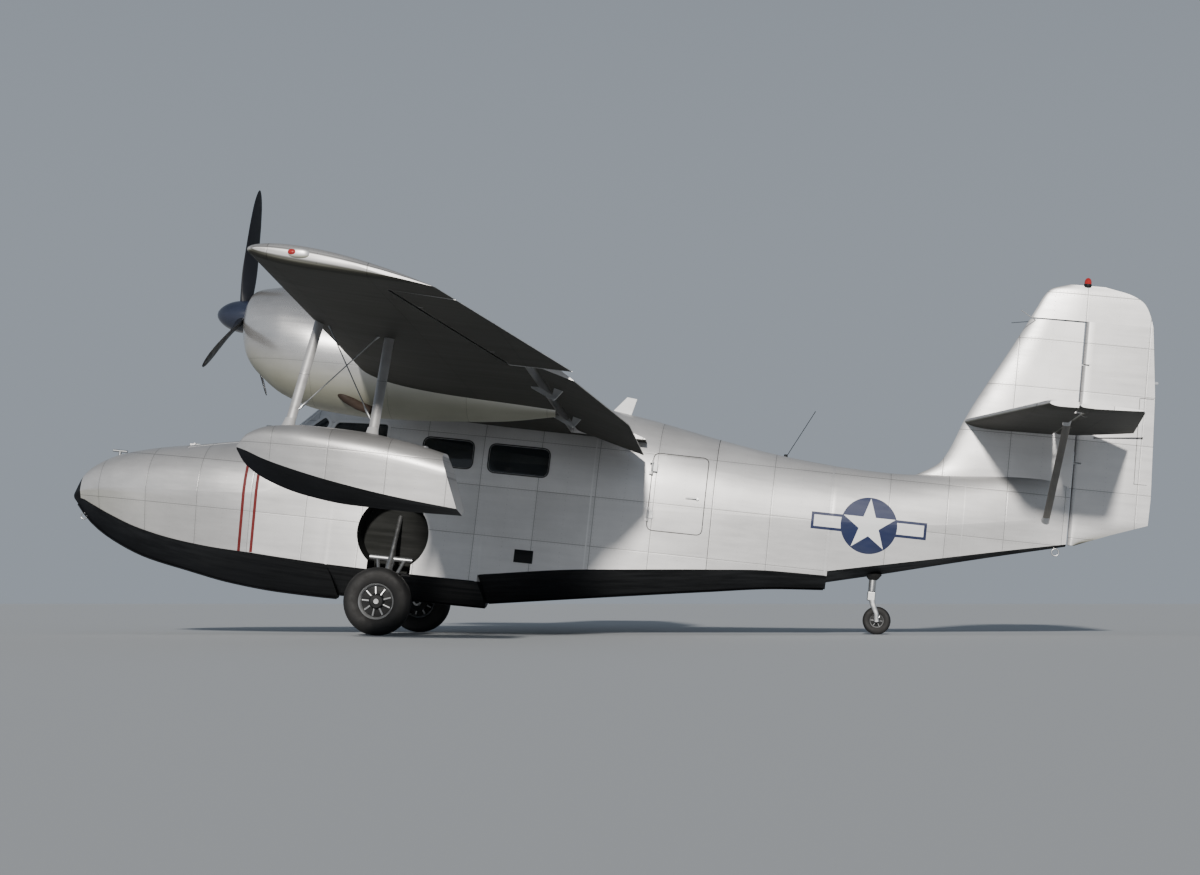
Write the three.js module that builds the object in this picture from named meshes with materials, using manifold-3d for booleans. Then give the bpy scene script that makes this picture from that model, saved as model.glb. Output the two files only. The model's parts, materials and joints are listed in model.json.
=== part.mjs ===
// Twin-engined amphibious flying boat, parked on its wheels.
//
// Lengths are millimetres. The aircraft is drawn in its own airframe frame: X forward, Y to port and Z up,
// with the origin on the keel at the main step and X along the waterline. One group then tips the whole
// aircraft back to the attitude it has on its tail wheel and stands it on Z = 0.

import * as THREE from "three";
import { mergeVertices } from "three/addons/utils/BufferGeometryUtils.js";
import Module from "manifold-3d";

const wasm = await Module();
wasm.setup();

// Driving dimensions

const PARKED_PITCH_DEG = 6.0; // nose up, set by the two wheel heights
const TOUCH = 0.3; // between pieces that meet
const CLEAR = 8; // round a moving piece
const FAR = 9000; // reach of a cutting block

const WALL = 45; // hull skin with its frames and trim
const CEILING_Z = 1600; // under the wing carry-through
const ROOF_SPLIT_Z = 1500; // where the roof panel meets the side panels
const NOSE_BUMPER_X = 3740;
const BOW_BULKHEAD_X = 1990;
const CABIN_REAR_X = -1930;
const STERNPOST_X = -4940;

// Hull sections from the nose to the sternpost. The side runs from the chine up to "side", then turns about
// the corner "shoulder" to the crown; "round" is how much of each leg the turn takes, up to nearly all of it.
// Columns: x, keel z, chine y, chine z, side y, side z, shoulder y, shoulder z, crown z, round
const HULL_STATIONS = [
  [3822, 575, 12, 588, 18, 600, 16, 622, 625, 0.9],
  [3795, 545, 30, 588, 45, 620, 40, 690, 694, 0.95],
  [3740, 478, 60, 583, 100, 650, 95, 795, 800, 0.95],
  [3600, 350, 135, 535, 210, 680, 200, 912, 918, 0.95],
  [3400, 235, 215, 462, 320, 700, 305, 1008, 1014, 0.95],
  [3100, 122, 325, 372, 430, 720, 410, 1090, 1096, 0.95],
  [2700, 43, 425, 300, 515, 740, 495, 1162, 1168, 0.95],
  [2300, -25, 500, 265, 570, 760, 555, 1232, 1240, 0.95],
  [1925, -58, 550, 252, 590, 800, 575, 1290, 1305, 0.9],
  [1820, -62, 560, 246, 592, 850, 505, 1310, 1425, 0.45],
  [1620, -66, 580, 238, 594, 900, 500, 1470, 1648, 0.3],
  [1420, -68, 600, 230, 596, 900, 500, 1690, 1872, 0.35],
  [1340, -67, 606, 228, 596, 900, 510, 1790, 1930, 0.6],
  [1305, -66, 610, 227, 596, 900, 515, 1830, 1945, 0.65],
  [1304, -34, 610, 226, 596, 900, 515, 1831, 1946, 0.65],
  [1000, -26, 635, 221, 600, 900, 555, 1930, 1978, 0.75],
  [400, -14, 655, 214, 610, 900, 585, 1915, 1935, 0.75],
  [-20, -10, 660, 214, 610, 900, 590, 1885, 1900, 0.75],
  [-21, 30, 655, 270, 610, 900, 590, 1885, 1900, 0.75],
  [-800, 156, 605, 393, 585, 930, 570, 1825, 1840, 0.8],
  [-1300, 236, 550, 448, 550, 960, 530, 1755, 1772, 0.85],
  [-1930, 335, 470, 514, 480, 1000, 455, 1640, 1656, 0.9],
  [-2500, 420, 375, 562, 405, 1020, 375, 1555, 1568, 0.95],
  [-2945, 458, 300, 569, 345, 1040, 315, 1515, 1526, 0.95],
  [-2946, 517, 300, 612, 345, 1040, 315, 1515, 1526, 0.95],
  [-3400, 632, 240, 712, 280, 1060, 250, 1502, 1512, 0.95],
  [-3900, 765, 175, 822, 210, 1110, 185, 1530, 1542, 0.95],
  [-4400, 895, 105, 934, 135, 1190, 120, 1580, 1592, 0.95],
  [STERNPOST_X, 1030, 36, 1050, 44, 1280, 42, 1628, 1640, 0.95],
];
const ARCH_STEPS = 5;

// Cabin floor, side view, from the instrument bulkhead aft: it steps up behind the main step
const FLOOR = [
  [1950, 290],
  [-20, 290],
  [-22, 345],
  [-1885, 590],
];
const BELT_Z = 1150; // foot of the cockpit frame

// Glazing outlines, side view
const COCKPIT_WINDOW = [
  [1500, 1170],
  [905, 1170],
  [905, 1474],
  [1352, 1452],
];
const QUARTER_LIGHT = [
  [1765, 1235],
  [1575, 1180],
  [1425, 1440],
  [1470, 1490],
];
const CABIN_WINDOWS = [
  { name: "cabin_window_front", front: 571, rear: 140, foot: 1164, head: 1395 },
  { name: "cabin_window_rear", front: -5, rear: -515, foot: 1155, head: 1390 },
];
const WINDOW_CORNER = 55;
// Windscreen half, front view (y, z)
const WINDSCREEN = [
  [26, 1370],
  [26, 1850],
  [405, 1735],
  [440, 1318],
  [380, 1285],
];
const GLASS_THICK = 7;
const GLASS_SETBACK = 3;

const DOOR = { front: -1400, rear: -1860, sill: 800, head: 1455, gap: 9, flange: 14, flangeThick: 18 };
const DOOR_HINGE = { x: -1396, y: 549, heights: [930, 1330], length: 70, lug: 25, root: 482 };
const HATCH = { front: 2750, rear: 2250, half: 250, gap: 9, thick: 22 };
const HATCH_HINGE = { x: 2754, z: 1168, half: 42, lug: 20, root: 1140, armFoot: 1152, armHead: 1172 };
const LOCKER = { rear: 2040, front: 3150, floor: 330 };
const KNUCKLE_RADIUS = 9;

// Wing sections, port side. Columns: y, nose x, nose z, tail x, tail z, thickness over chord
const WING_STATIONS = [
  [380, 961, 1749, -1320, 1538, 0.15],
  [2200, 855, 1839, -1320, 1667, 0.145],
  [6040, 632, 2027, -504, 1897, 0.11],
  [6105, 600, 2029, -492, 1902, 0.075],
];
const WING_CAMBER = 0.02;
const WING_CHORD_STEPS = [0, 0.015, 0.06, 0.14, 0.26, 0.42, 0.6, 0.78, 1];

const FLAP = { inner: 643, outer: 3587, noseX: -745, hingeX: -800, drop: 70, restDeg: 15 };
const FLAP_KINK_Y = 2200; // where the wing's taper begins
const AILERON = { inner: 3618, outer: 5750, hingeInnerX: -600, hingeOuterX: -180 };
const BRACKET_THICK = 12;
const BRACKET_EYE = 16;

// Nacelle sections. Columns: x, centre z, half width, half height
const NACELLE_Y = 1700;
const NACELLE_STATIONS = [
  [1880, 2095, 185, 205],
  [1845, 2080, 255, 275],
  [1700, 2030, 350, 372],
  [1520, 1985, 415, 440],
  [1230, 1926, 440, 467],
  [940, 1900, 438, 462],
  [520, 1858, 395, 415],
  [100, 1795, 320, 325],
  [-300, 1715, 215, 205],
  [-700, 1640, 60, 55],
];
const NACELLE_SIDES = 16;
const NACELLE_SKIN = 22;
const FIREWALL_X = 960;
const THRUST_Z = 2150;
const PROP_X = 1935;
const PROP_RADIUS = 1048;
const SPINNER = { tipX: 2160, baseX: 1886, radius: 134 };
// Blade angle from straight up towards port, seen in the photograph's own phases
const PROP_PHASES_DEG = { left: -1, right: -18 };
const BLADES = 3;
const BLADE_SIDES = 8;
// Blade sections. Columns: radius, chord, thickness, pitch in degrees
const BLADE_STATIONS = [
  [60, 90, 80, 50],
  [180, 118, 46, 44],
  [420, 158, 24, 32],
  [720, 150, 15, 22],
  [960, 112, 9, 17],
  [PROP_RADIUS, 44, 5, 15],
];
const ENGINE = { front: 1600, half: 278, foot: 1820, head: 2190, noseFront: 1800, noseRadius: 85 };

// Wing floats. Columns: x, keel z, chine y, chine z, deck edge y, deck z
const FLOAT_Y = 4360;
const FLOAT_STATIONS = [
  [1065, 946, 6, 960, 8, 975],
  [1000, 860, 52, 945, 58, 1055],
  [840, 765, 118, 895, 130, 1122],
  [560, 686, 175, 830, 190, 1148],
  [250, 652, 196, 775, 208, 1142],
  [-100, 648, 188, 728, 200, 1100],
  [-520, 656, 150, 690, 165, 1010],
];
const FLOAT_TRANSOM = [
  [-346, 1120],
  [-346, 1025],
  [-502, 640],
  [-900, 600],
  [-900, 1300],
];
const FLOAT_STRUTS = [
  { foot: [735, FLOAT_Y, 1120], head: [668, 4080, 1960] },
  { foot: [165, FLOAT_Y, 1110], head: [183, 4080, 1900] },
];
const STRUT_LONG = 34;
const STRUT_THIN = 17;
const WIRE_RADIUS = 5;

// Fin sections. Columns: z, nose x, half thickness
const FIN_STATIONS = [
  [1490, -3560, 40],
  [1560, -3700, 46],
  [1640, -3815, 50],
  [1760, -3890, 52],
  [2040, -4000, 50],
  [2730, -4360, 40],
  [2962, -4478, 36],
];
const RUDDER_HINGE_X = -4985;
const FIN_REAR_X = STERNPOST_X;
// Rudder sections below the balance horn. Columns: z, tail x, nose radius
const RUDDER_STATIONS = [
  [1046, -5010, 30],
  [1160, -5290, 33],
  [1277, -5610, 36],
  [1515, -5616, 38],
  [2400, -5580, 34],
  [2976, -5520, 30],
];
// Rudder sections from the horn up. Columns: z, nose x, tail x, half thickness
const RUDDER_TOP_STATIONS = [
  [2976, -4484, -5520, 30],
  [3090, -4540, -5482, 27],
  [3176, -4583, -5430, 24],
  [3240, -4640, -5320, 18],
  [3290, -4790, -5090, 8],
];

const TAILPLANE_Z = 2022;
// Tailplane sections. Columns: y, nose x, tail x, half thickness
const TAILPLANE_STATIONS = [
  [20, -4000, -5410, 56],
  [1900, -4420, -5200, 38],
  [2045, -4470, -5165, 24],
];
const ELEVATOR_HINGE_X = -4800;
const ELEVATOR = { inner: 78, outer: 2045, hornInner: 1780, hornNoseX: -4700, tube: 20 };
const ELEVATOR_CUTAWAY = [
  [-4935, 60],
  [-5440, 400],
  [-5440, -20],
  [-4935, -20],
];
const TAIL_STRUT = { foot: [-4745, 62, 1215], head: [-4730, 1080, 2010], long: 60, thin: 22 };

// Main gear, port side, wheels down
const WELL = {
  x: 750,
  z: 545,
  radius: 312,
  inner: 360,
  notch: 585,
  outer: 900,
  wall: 18,
  slotHalf: 190,
  slotFoot: -200,
  cupFoot: 150,
};
const MAIN_WHEEL = { x: 750, y: 920, z: -35, radius: 285, width: 170, rim: 150, bore: 22.4, sides: 24 };
const AXLE_RADIUS = 21.7;
const LEG_RADIUS = 34;
// Tail wheel and its swivelling fork
const TAIL_WHEEL = { x: -3410, z: 237, radius: 120, width: 70, rim: 60, bore: 10.4, sides: 16 };
const SWIVEL_X = -3345;
const SWIVEL_TOP_Z = 480;
// Main leg: trunnion in the well, braces to the knee beside the wheel
const TRUNNION = { y: 560, z: 330, radius: 24, braceHalf: 120 };
const KNEE_INSET = 118;
const DRAG_BRACE = { z: 700, radius: 20, share: 0.45 };
const BRACE_RADIUS = 16;
// Tail fork: crown block under the post, and an arm on each side of the wheel
const FORK = { half: 34, width: 54, depth: 80, armY: 48, armLong: 20, armThin: 6 };
const TAIL_POST = { radius: 32, top: 760 };

// Helpers

const point = (x, y, z) => new THREE.Vector3(x, y, z);

// A manifold-3d solid from any closed three.js geometry, with its faces turned outward.
function solidOf(geometry) {
  const bare = new THREE.BufferGeometry();
  bare.setAttribute("position", geometry.getAttribute("position"));
  if (geometry.index) bare.setIndex(geometry.index);
  const merged = mergeVertices(bare, 1e-3);
  const triVerts = new Uint32Array(merged.index.array);
  const build = () =>
    new wasm.Manifold(
      new wasm.Mesh({ numProp: 3, vertProperties: merged.attributes.position.array, triVerts }),
    );
  const solid = build();
  if (solid.volume() >= 0) return solid;
  for (let i = 0; i < triVerts.length; i += 3) {
    [triVerts[i + 1], triVerts[i + 2]] = [triVerts[i + 2], triVerts[i + 1]];
  }
  return build();
}

function geometryOf(solid) {
  const mesh = solid.getMesh();
  const positions = new Float32Array(mesh.numVert * 3);
  for (let i = 0; i < mesh.numVert; i++) {
    positions.set(mesh.vertProperties.subarray(i * mesh.numProp, i * mesh.numProp + 3), i * 3);
  }
  const geometry = new THREE.BufferGeometry();
  geometry.setAttribute("position", new THREE.BufferAttribute(positions, 3));
  geometry.setIndex(new THREE.BufferAttribute(new Uint32Array(mesh.triVerts), 1));
  geometry.computeVertexNormals();
  return geometry;
}

// A solid through equal rings of points, closed at both ends by a fan about the ring's middle.
function loft(rings) {
  const count = rings[0].length;
  const positions = [];
  const triangles = [];
  for (const ring of rings) ring.forEach((p) => positions.push(p.x, p.y, p.z));
  for (let i = 0; i + 1 < rings.length; i++) {
    for (let j = 0; j < count; j++) {
      const a = i * count + j;
      const b = i * count + ((j + 1) % count);
      triangles.push(a, b, a + count, b, b + count, a + count);
    }
  }
  for (const [start, flip] of [
    [0, true],
    [(rings.length - 1) * count, false],
  ]) {
    const ring = flip ? rings[0] : rings[rings.length - 1];
    const middle = ring.reduce((sum, p) => sum.add(p), point(0, 0, 0)).divideScalar(count);
    const hub = positions.length / 3;
    positions.push(middle.x, middle.y, middle.z);
    for (let j = 0; j < count; j++) {
      const a = start + j;
      const b = start + ((j + 1) % count);
      triangles.push(...(flip ? [a, hub, b] : [a, b, hub]));
    }
  }
  const geometry = new THREE.BufferGeometry();
  geometry.setAttribute("position", new THREE.Float32BufferAttribute(positions, 3));
  geometry.setIndex(triangles);
  return solidOf(geometry);
}

// Moves each point of a flat ring outward (or inward, for a negative distance) along its mean edge normal.
function offsetRing(ring, distance, planeNormal) {
  const middle = ring.reduce((sum, p) => sum.add(p), point(0, 0, 0)).divideScalar(ring.length);
  return ring.map((p, i) => {
    const before = ring[(i + ring.length - 1) % ring.length];
    const after = ring[(i + 1) % ring.length];
    const along = after.clone().sub(before).normalize();
    const out = along.cross(planeNormal).normalize();
    if (out.dot(p.clone().sub(middle)) < 0) out.negate();
    return p.clone().addScaledVector(out, distance);
  });
}

// Extrusion of an outline along one axis. The outline's pairs are (x, z) for "y", (y, z) for "x", (x, y) for "z".
const EXTRUDE_BASES = {
  x: [point(0, 1, 0), point(0, 0, 1), point(1, 0, 0)],
  y: [point(1, 0, 0), point(0, 0, 1), point(0, -1, 0)],
  z: [point(1, 0, 0), point(0, 1, 0), point(0, 0, 1)],
};
function extruded(outline, axis, from, to) {
  const shape = new THREE.Shape(outline.map(([u, v]) => new THREE.Vector2(u, v)));
  const geometry = new THREE.ExtrudeGeometry(shape, { depth: to - from, bevelEnabled: false });
  const basis = EXTRUDE_BASES[axis];
  geometry.applyMatrix4(new THREE.Matrix4().makeBasis(...basis));
  geometry.translate(...basis[2].clone().multiplyScalar(axis === "y" ? -to : from).toArray());
  return solidOf(geometry);
}

function box(x0, x1, y0, y1, z0, z1) {
  const geometry = new THREE.BoxGeometry(x1 - x0, y1 - y0, z1 - z0);
  geometry.translate((x0 + x1) / 2, (y0 + y1) / 2, (z0 + z1) / 2);
  return solidOf(geometry);
}

// Turns a geometry drawn about +Y so that +Y runs from a to b, with the origin at a.
function alongAxis(geometry, a, b) {
  const direction = b.clone().sub(a).normalize();
  const turn = new THREE.Quaternion().setFromUnitVectors(point(0, 1, 0), direction);
  return geometry.applyQuaternion(turn).translate(a.x, a.y, a.z);
}

function rod(a, b, radius, sides = 12) {
  const length = a.distanceTo(b);
  const geometry = new THREE.CylinderGeometry(radius, radius, length, sides);
  geometry.translate(0, length / 2, 0);
  return solidOf(alongAxis(geometry, a, b));
}

// A flattened strut, long across and thin through, with its long side along X.
function strut(a, b, long, thin) {
  const profile = [];
  const sides = 8;
  for (let i = 0; i < sides; i++) {
    const t = (i / sides) * 2 * Math.PI;
    profile.push([Math.cos(t) * long, Math.sin(t) * thin]);
  }
  const span = b.clone().sub(a).normalize();
  const across = point(1, 0, 0).addScaledVector(span, -span.x).normalize();
  const through = span.clone().cross(across);
  const ringAt = (centre) =>
    profile.map(([u, v]) => centre.clone().addScaledVector(across, u).addScaledVector(through, v));
  return loft([ringAt(a), ringAt(b)]);
}

// A turned solid about the line through "centre" along "axis", from (radius, distance) pairs.
function turned(pairs, centre, axis, sides) {
  const profile = pairs.map(([radius, distance]) => new THREE.Vector2(radius, distance));
  const geometry = new THREE.LatheGeometry(profile, sides);
  return solidOf(alongAxis(geometry, centre, centre.clone().add(axis)));
}

function lerp(a, b, t) {
  return a + (b - a) * t;
}

// Reads a table at a value of its first column, rising or falling, straight between its rows.
function rowAt(table, value) {
  const sign = Math.sign(table[table.length - 1][0] - table[0][0]);
  let i = 0;
  while (i < table.length - 2 && (table[i + 1][0] - value) * sign < 0) i++;
  const t = (value - table[i][0]) / (table[i + 1][0] - table[i][0]);
  return table[i].map((entry, column) => lerp(entry, table[i + 1][column], t));
}

function roundedRectangle(left, right, foot, head, radius) {
  const corners = [
    [right - radius, head - radius, 0],
    [left + radius, head - radius, 90],
    [left + radius, foot + radius, 180],
    [right - radius, foot + radius, 270],
  ];
  return corners.flatMap(([u, v, start]) =>
    [0, 45, 90].map((step) => {
      const angle = THREE.MathUtils.degToRad(start + step);
      return [u + radius * Math.cos(angle), v + radius * Math.sin(angle)];
    }),
  );
}

// Hull

// Half section from keel to crown, port side.
function hullHalf([x, keelZ, chineY, chineZ, sideY, sideZ, cornerY, cornerZ, crownZ, round]) {
  const start = [lerp(cornerY, sideY, round), lerp(cornerZ, sideZ, round)];
  const end = [cornerY * (1 - round), lerp(cornerZ, crownZ, round)];
  const half = [
    [0, keelZ],
    [chineY, chineZ],
    [sideY, lerp(chineZ, sideZ, 0.98)],
  ];
  for (let i = 0; i <= ARCH_STEPS; i++) {
    const t = i / ARCH_STEPS;
    const a = (1 - t) * (1 - t);
    const b = 2 * t * (1 - t);
    const c = t * t;
    half.push([a * start[0] + b * cornerY + c * end[0], a * start[1] + b * cornerZ + c * end[1]]);
  }
  half.push([0, crownZ]);
  return half.map(([y, z]) => point(x, y, z));
}

function hullRing(row, offset) {
  const half = hullHalf(row);
  const mirror = half.slice(1, -1).reverse();
  const ring = [...half, ...mirror.map((p) => point(p.x, -p.y, p.z))];
  return offset ? offsetRing(ring, offset, point(1, 0, 0)) : ring;
}

function hullLoft(offset = 0, rows = HULL_STATIONS) {
  return loft(rows.map((row) => hullRing(row, offset)));
}

// Everything under the chine line, raised by a gap.
function belowChine(gap) {
  const line = HULL_STATIONS.map((row) => [row[0], row[3] + gap]);
  const nose = line[0];
  const stern = line[line.length - 1];
  const outline = [[FAR, nose[1]], ...line, [-FAR, stern[1]], [-FAR, -FAR], [FAR, -FAR]];
  return extruded(outline, "y", -FAR, FAR);
}

const slice = (rear, front) => box(rear, front, -FAR, FAR, -FAR, FAR);

const hullSkin = hullLoft();
const topsides = hullSkin.subtract(belowChine(TOUCH));
const planingBottom = hullSkin.intersect(belowChine(0));
const interiorRows = HULL_STATIONS.filter((row) => row[0] <= 3400 && row[0] >= -2500);
const interior = hullLoft(-WALL, interiorRows);

// Panes are cut straight through the skin, and each pane is a thin shell of the same surface.
const mirrorY = (outline) => outline.map(([y, z]) => [-y, z]);
const windscreenOutlines = { left: WINDSCREEN, right: mirrorY(WINDSCREEN) };

// Shrinks an outline towards the inside by moving every edge inward.
function shrunk(outline, distance) {
  const points = outline.map(([u, v]) => new THREE.Vector2(u, v));
  const turn = Math.sign(THREE.ShapeUtils.area(points));
  return points.map((p, i) => {
    const before = points[(i + points.length - 1) % points.length];
    const after = points[(i + 1) % points.length];
    const inward = (from, to) => {
      const edge = to.clone().sub(from).normalize();
      return new THREE.Vector2(-edge.y * turn, edge.x * turn);
    };
    const n0 = inward(before, p);
    const n1 = inward(p, after);
    const scale = distance / (1 + n0.dot(n1));
    return [p.x + (n0.x + n1.x) * scale, p.y + (n0.y + n1.y) * scale];
  });
}

const paneShell = hullLoft(-GLASS_SETBACK).subtract(hullLoft(-GLASS_SETBACK - GLASS_THICK));
const sideRange = { left: [300, 800], right: [-800, -300] };
const windowCut = (outline) => extruded(outline, "y", -FAR, FAR);
const windscreenCut = (outline) => extruded(outline, "x", 1250, 2050);

const cabinWindowOutlines = CABIN_WINDOWS.map((w) =>
  roundedRectangle(w.rear, w.front, w.foot, w.head, WINDOW_CORNER),
);

const cabinCavity = interior.intersect(
  extruded(
    [...FLOOR, [-1885, CEILING_Z], [1180, CEILING_Z], [1250, 1860], [1500, 1960], [1950, 1500]],
    "y",
    -FAR,
    FAR,
  ),
);

const wellCup = (side, grow, inner) =>
  rod(
    point(WELL.x, side * inner, WELL.z),
    point(WELL.x, side * WELL.outer, WELL.z),
    WELL.radius + grow,
    20,
  ).add(
    box(
      WELL.x - WELL.slotHalf - grow,
      WELL.x + WELL.slotHalf + grow,
      Math.min(side * inner, side * WELL.outer),
      Math.max(side * inner, side * WELL.outer),
      grow ? WELL.cupFoot : WELL.slotFoot,
      WELL.z,
    ),
  );

const doorOutline = (gap) => [
  [DOOR.front + gap, DOOR.head + gap],
  [DOOR.rear - gap, DOOR.head + gap],
  [DOOR.rear - gap, DOOR.sill - gap],
  [DOOR.front + gap, DOOR.sill - gap],
];

let cabin = topsides.intersect(slice(CABIN_REAR_X, BOW_BULKHEAD_X - TOUCH)).subtract(cabinCavity);
for (const side of [1, -1]) {
  const cup = wellCup(side, WELL.wall, WELL.inner - WELL.wall).intersect(hullSkin);
  cabin = cabin.add(cup.subtract(belowChine(TOUCH))).subtract(wellCup(side, 0, WELL.inner));
}
for (const outline of [COCKPIT_WINDOW, QUARTER_LIGHT, ...cabinWindowOutlines]) {
  cabin = cabin.subtract(windowCut(outline));
}
for (const outline of Object.values(windscreenOutlines)) {
  cabin = cabin.subtract(windscreenCut(outline));
}
cabin = cabin.subtract(extruded(doorOutline(DOOR.gap), "y", 200, FAR));

// Fixed hinge lugs above and below each knuckle of the door
const doorAxle = (height) => point(DOOR_HINGE.x, DOOR_HINGE.y, height);
const doorLug = (z0, z1) =>
  rod(doorAxle(z0), doorAxle(z1), KNUCKLE_RADIUS, 10).add(
    box(DOOR_HINGE.x, DOOR_HINGE.x + DOOR_HINGE.lug, DOOR_HINGE.root, DOOR_HINGE.y, z0, z1),
  );
for (const z of DOOR_HINGE.heights) {
  const inner = DOOR_HINGE.length / 2 + TOUCH;
  const outer = inner + DOOR_HINGE.lug;
  cabin = cabin.add(doorLug(z + inner, z + outer)).add(doorLug(z - outer, z - inner));
}

const floorLine = [...FLOOR, [-2100, 618]];
const underFloor = (gap) =>
  extruded(
    [[2100, 290 + gap], ...floorLine.map(([x, z]) => [x, z + gap]), [-2100, -FAR], [2100, -FAR]],
    "y",
    -FAR,
    FAR,
  );
const ROOF_LINE = [
  [-2100, ROOF_SPLIT_Z],
  [860, ROOF_SPLIT_Z],
  [860, BELT_Z],
  [1640, BELT_Z],
  [1800, 1205],
  [1925, 1240],
  [2100, 1240],
];
// Everything above the roof's lower edge, moved down and back by a gap.
const roofRegion = (gap) => {
  const edge = ROOF_LINE.map(([x, z], i) => [i === 1 || i === 2 ? x - gap : x, z - gap]);
  return extruded([...edge, [2100, FAR], [-2100, FAR]], "y", -FAR, FAR);
};

const floorPanel = cabin.intersect(underFloor(0));
const roofPanel = cabin.intersect(roofRegion(0));
const sidePanels = cabin.subtract(underFloor(TOUCH)).subtract(roofRegion(TOUCH));
const sideLeft = sidePanels.intersect(box(-FAR, FAR, 0.2, FAR, -FAR, FAR));
const sideRight = sidePanels.intersect(box(-FAR, FAR, -FAR, -0.2, -FAR, FAR));

const hullTail = topsides.intersect(slice(-FAR, CABIN_REAR_X - TOUCH));
const bowCavity = hullLoft(-WALL, HULL_STATIONS.filter((row) => row[0] <= 3400 && row[0] >= 1820))
  .intersect(box(LOCKER.rear, LOCKER.front, -FAR, FAR, LOCKER.floor, FAR));
const hatchBlock = (gap) =>
  box(HATCH.rear - gap, HATCH.front + gap, -HATCH.half - gap, HATCH.half + gap, 900, FAR);
const hatchAxle = (y) => point(HATCH_HINGE.x, y, HATCH_HINGE.z);
const hatchLug = (y0, y1) =>
  rod(hatchAxle(y0), hatchAxle(y1), KNUCKLE_RADIUS, 10).add(
    box(HATCH_HINGE.x, HATCH_HINGE.x + 2 * HATCH_HINGE.lug, y0, y1, HATCH_HINGE.root, HATCH_HINGE.z),
  );
const lugInner = HATCH_HINGE.half + TOUCH;
const lugOuter = lugInner + HATCH_HINGE.lug;
const bow = topsides
  .intersect(slice(BOW_BULKHEAD_X, NOSE_BUMPER_X - TOUCH))
  .subtract(bowCavity)
  .subtract(hatchBlock(HATCH.gap))
  .add(hatchLug(lugInner, lugOuter))
  .add(hatchLug(-lugOuter, -lugInner));
let bottomFore = planingBottom.intersect(slice(-20.2, FAR)).add(hullSkin.intersect(slice(NOSE_BUMPER_X, FAR)));
for (const side of [1, -1]) bottomFore = bottomFore.subtract(wellCup(side, 0, WELL.notch));
const bottomAft = planingBottom.intersect(slice(-FAR, -20.8));

const lid = hullSkin
  .subtract(hullLoft(-HATCH.thick))
  .intersect(hatchBlock(0))
  .add(rod(hatchAxle(-HATCH_HINGE.half), hatchAxle(HATCH_HINGE.half), KNUCKLE_RADIUS, 10))
  .add(
    box(
      HATCH.front - WALL,
      HATCH_HINGE.x - 0.5,
      -HATCH_HINGE.half,
      HATCH_HINGE.half,
      HATCH_HINGE.armFoot,
      HATCH_HINGE.armHead,
    ),
  );

// The door closes on a flange, so its inner part is smaller all round.
let doorLeaf = hullSkin
  .subtract(hullLoft(-DOOR.flangeThick))
  .intersect(extruded(doorOutline(0), "y", 200, FAR))
  .add(hullSkin.subtract(interior).intersect(extruded(doorOutline(-DOOR.flange), "y", 200, FAR)));
for (const z of DOOR_HINGE.heights) {
  const half = DOOR_HINGE.length / 2;
  doorLeaf = doorLeaf
    .add(rod(doorAxle(z - half), doorAxle(z + half), KNUCKLE_RADIUS, 10))
    .add(box(DOOR.front - 40, DOOR_HINGE.x, DOOR_HINGE.root, DOOR_HINGE.y, z - half, z + half));
}

// Wing

function airfoilRing(y, noseX, noseZ, tailX, tailZ, thickness, camber, grow = 0) {
  const chord = Math.hypot(noseX - tailX, noseZ - tailZ);
  const place = (s, height) => {
    const along = [(tailX - noseX) / chord, (tailZ - noseZ) / chord];
    return point(
      noseX + along[0] * s * chord + along[1] * height,
      y,
      noseZ + along[1] * s * chord - along[0] * height,
    );
  };
  const heightAt = (s) =>
    5 *
      thickness *
      chord *
      (0.2969 * Math.sqrt(s) - 0.126 * s - 0.3516 * s ** 2 + 0.2843 * s ** 3 - 0.1015 * s ** 4) +
    grow;
  const rise = (s) => 4 * camber * chord * s * (1 - s);
  const upper = WING_CHORD_STEPS.slice(1).map((s) => place(s, rise(s) + heightAt(s)));
  const lower = WING_CHORD_STEPS.slice(1).map((s) => place(s, rise(s) - heightAt(s)));
  return [...upper.reverse(), place(-grow / chord, 0), ...lower];
}

const wingRing = (row, grow) =>
  airfoilRing(row[0], row[1], row[2], row[3], row[4], row[5], WING_CAMBER, grow);
const wingLoft = (grow = 0) => loft(WING_STATIONS.map((row) => wingRing(row, grow)));

// Height of the wing's upper (1) or lower (-1) surface at a place.
function wingZ(y, x, side) {
  const [, noseX, noseZ, tailX, tailZ, thickness] = rowAt(WING_STATIONS, y);
  const chord = noseX - tailX;
  const s = (noseX - x) / chord;
  const half =
    5 * thickness * chord *
    (0.2969 * Math.sqrt(s) - 0.126 * s - 0.3516 * s ** 2 + 0.2843 * s ** 3 - 0.1015 * s ** 4);
  return lerp(noseZ, tailZ, s) + 4 * WING_CAMBER * chord * s * (1 - s) + side * half;
}

// Ring of a hinged surface in a plane of constant y: a round nose of the given radius, then flat to the tail.
const NOSE_STEPS = 6;
function surfaceRing(y, nose, radius, tail, tailHalf) {
  const ring = [];
  for (let i = 0; i <= NOSE_STEPS; i++) {
    const angle = Math.PI / 2 - (i / NOSE_STEPS) * Math.PI;
    ring.push(point(nose.x + radius * Math.cos(angle), y, nose.z + radius * Math.sin(angle)));
  }
  return [...ring, point(tail.x, y, tail.z - tailHalf), point(tail.x, y, tail.z + tailHalf)];
}

// Nose centre and radius of a trailing surface at a place, fitting inside the wing's own thickness.
function wingNose(y, x) {
  const upper = wingZ(y, x, 1);
  const lower = wingZ(y, x, -1);
  return { x, z: (upper + lower) / 2, radius: (upper - lower) / 2 - 2 };
}

const wingTail = (y) => {
  const row = rowAt(WING_STATIONS, y);
  return { x: row[3], z: row[4] };
};

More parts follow.
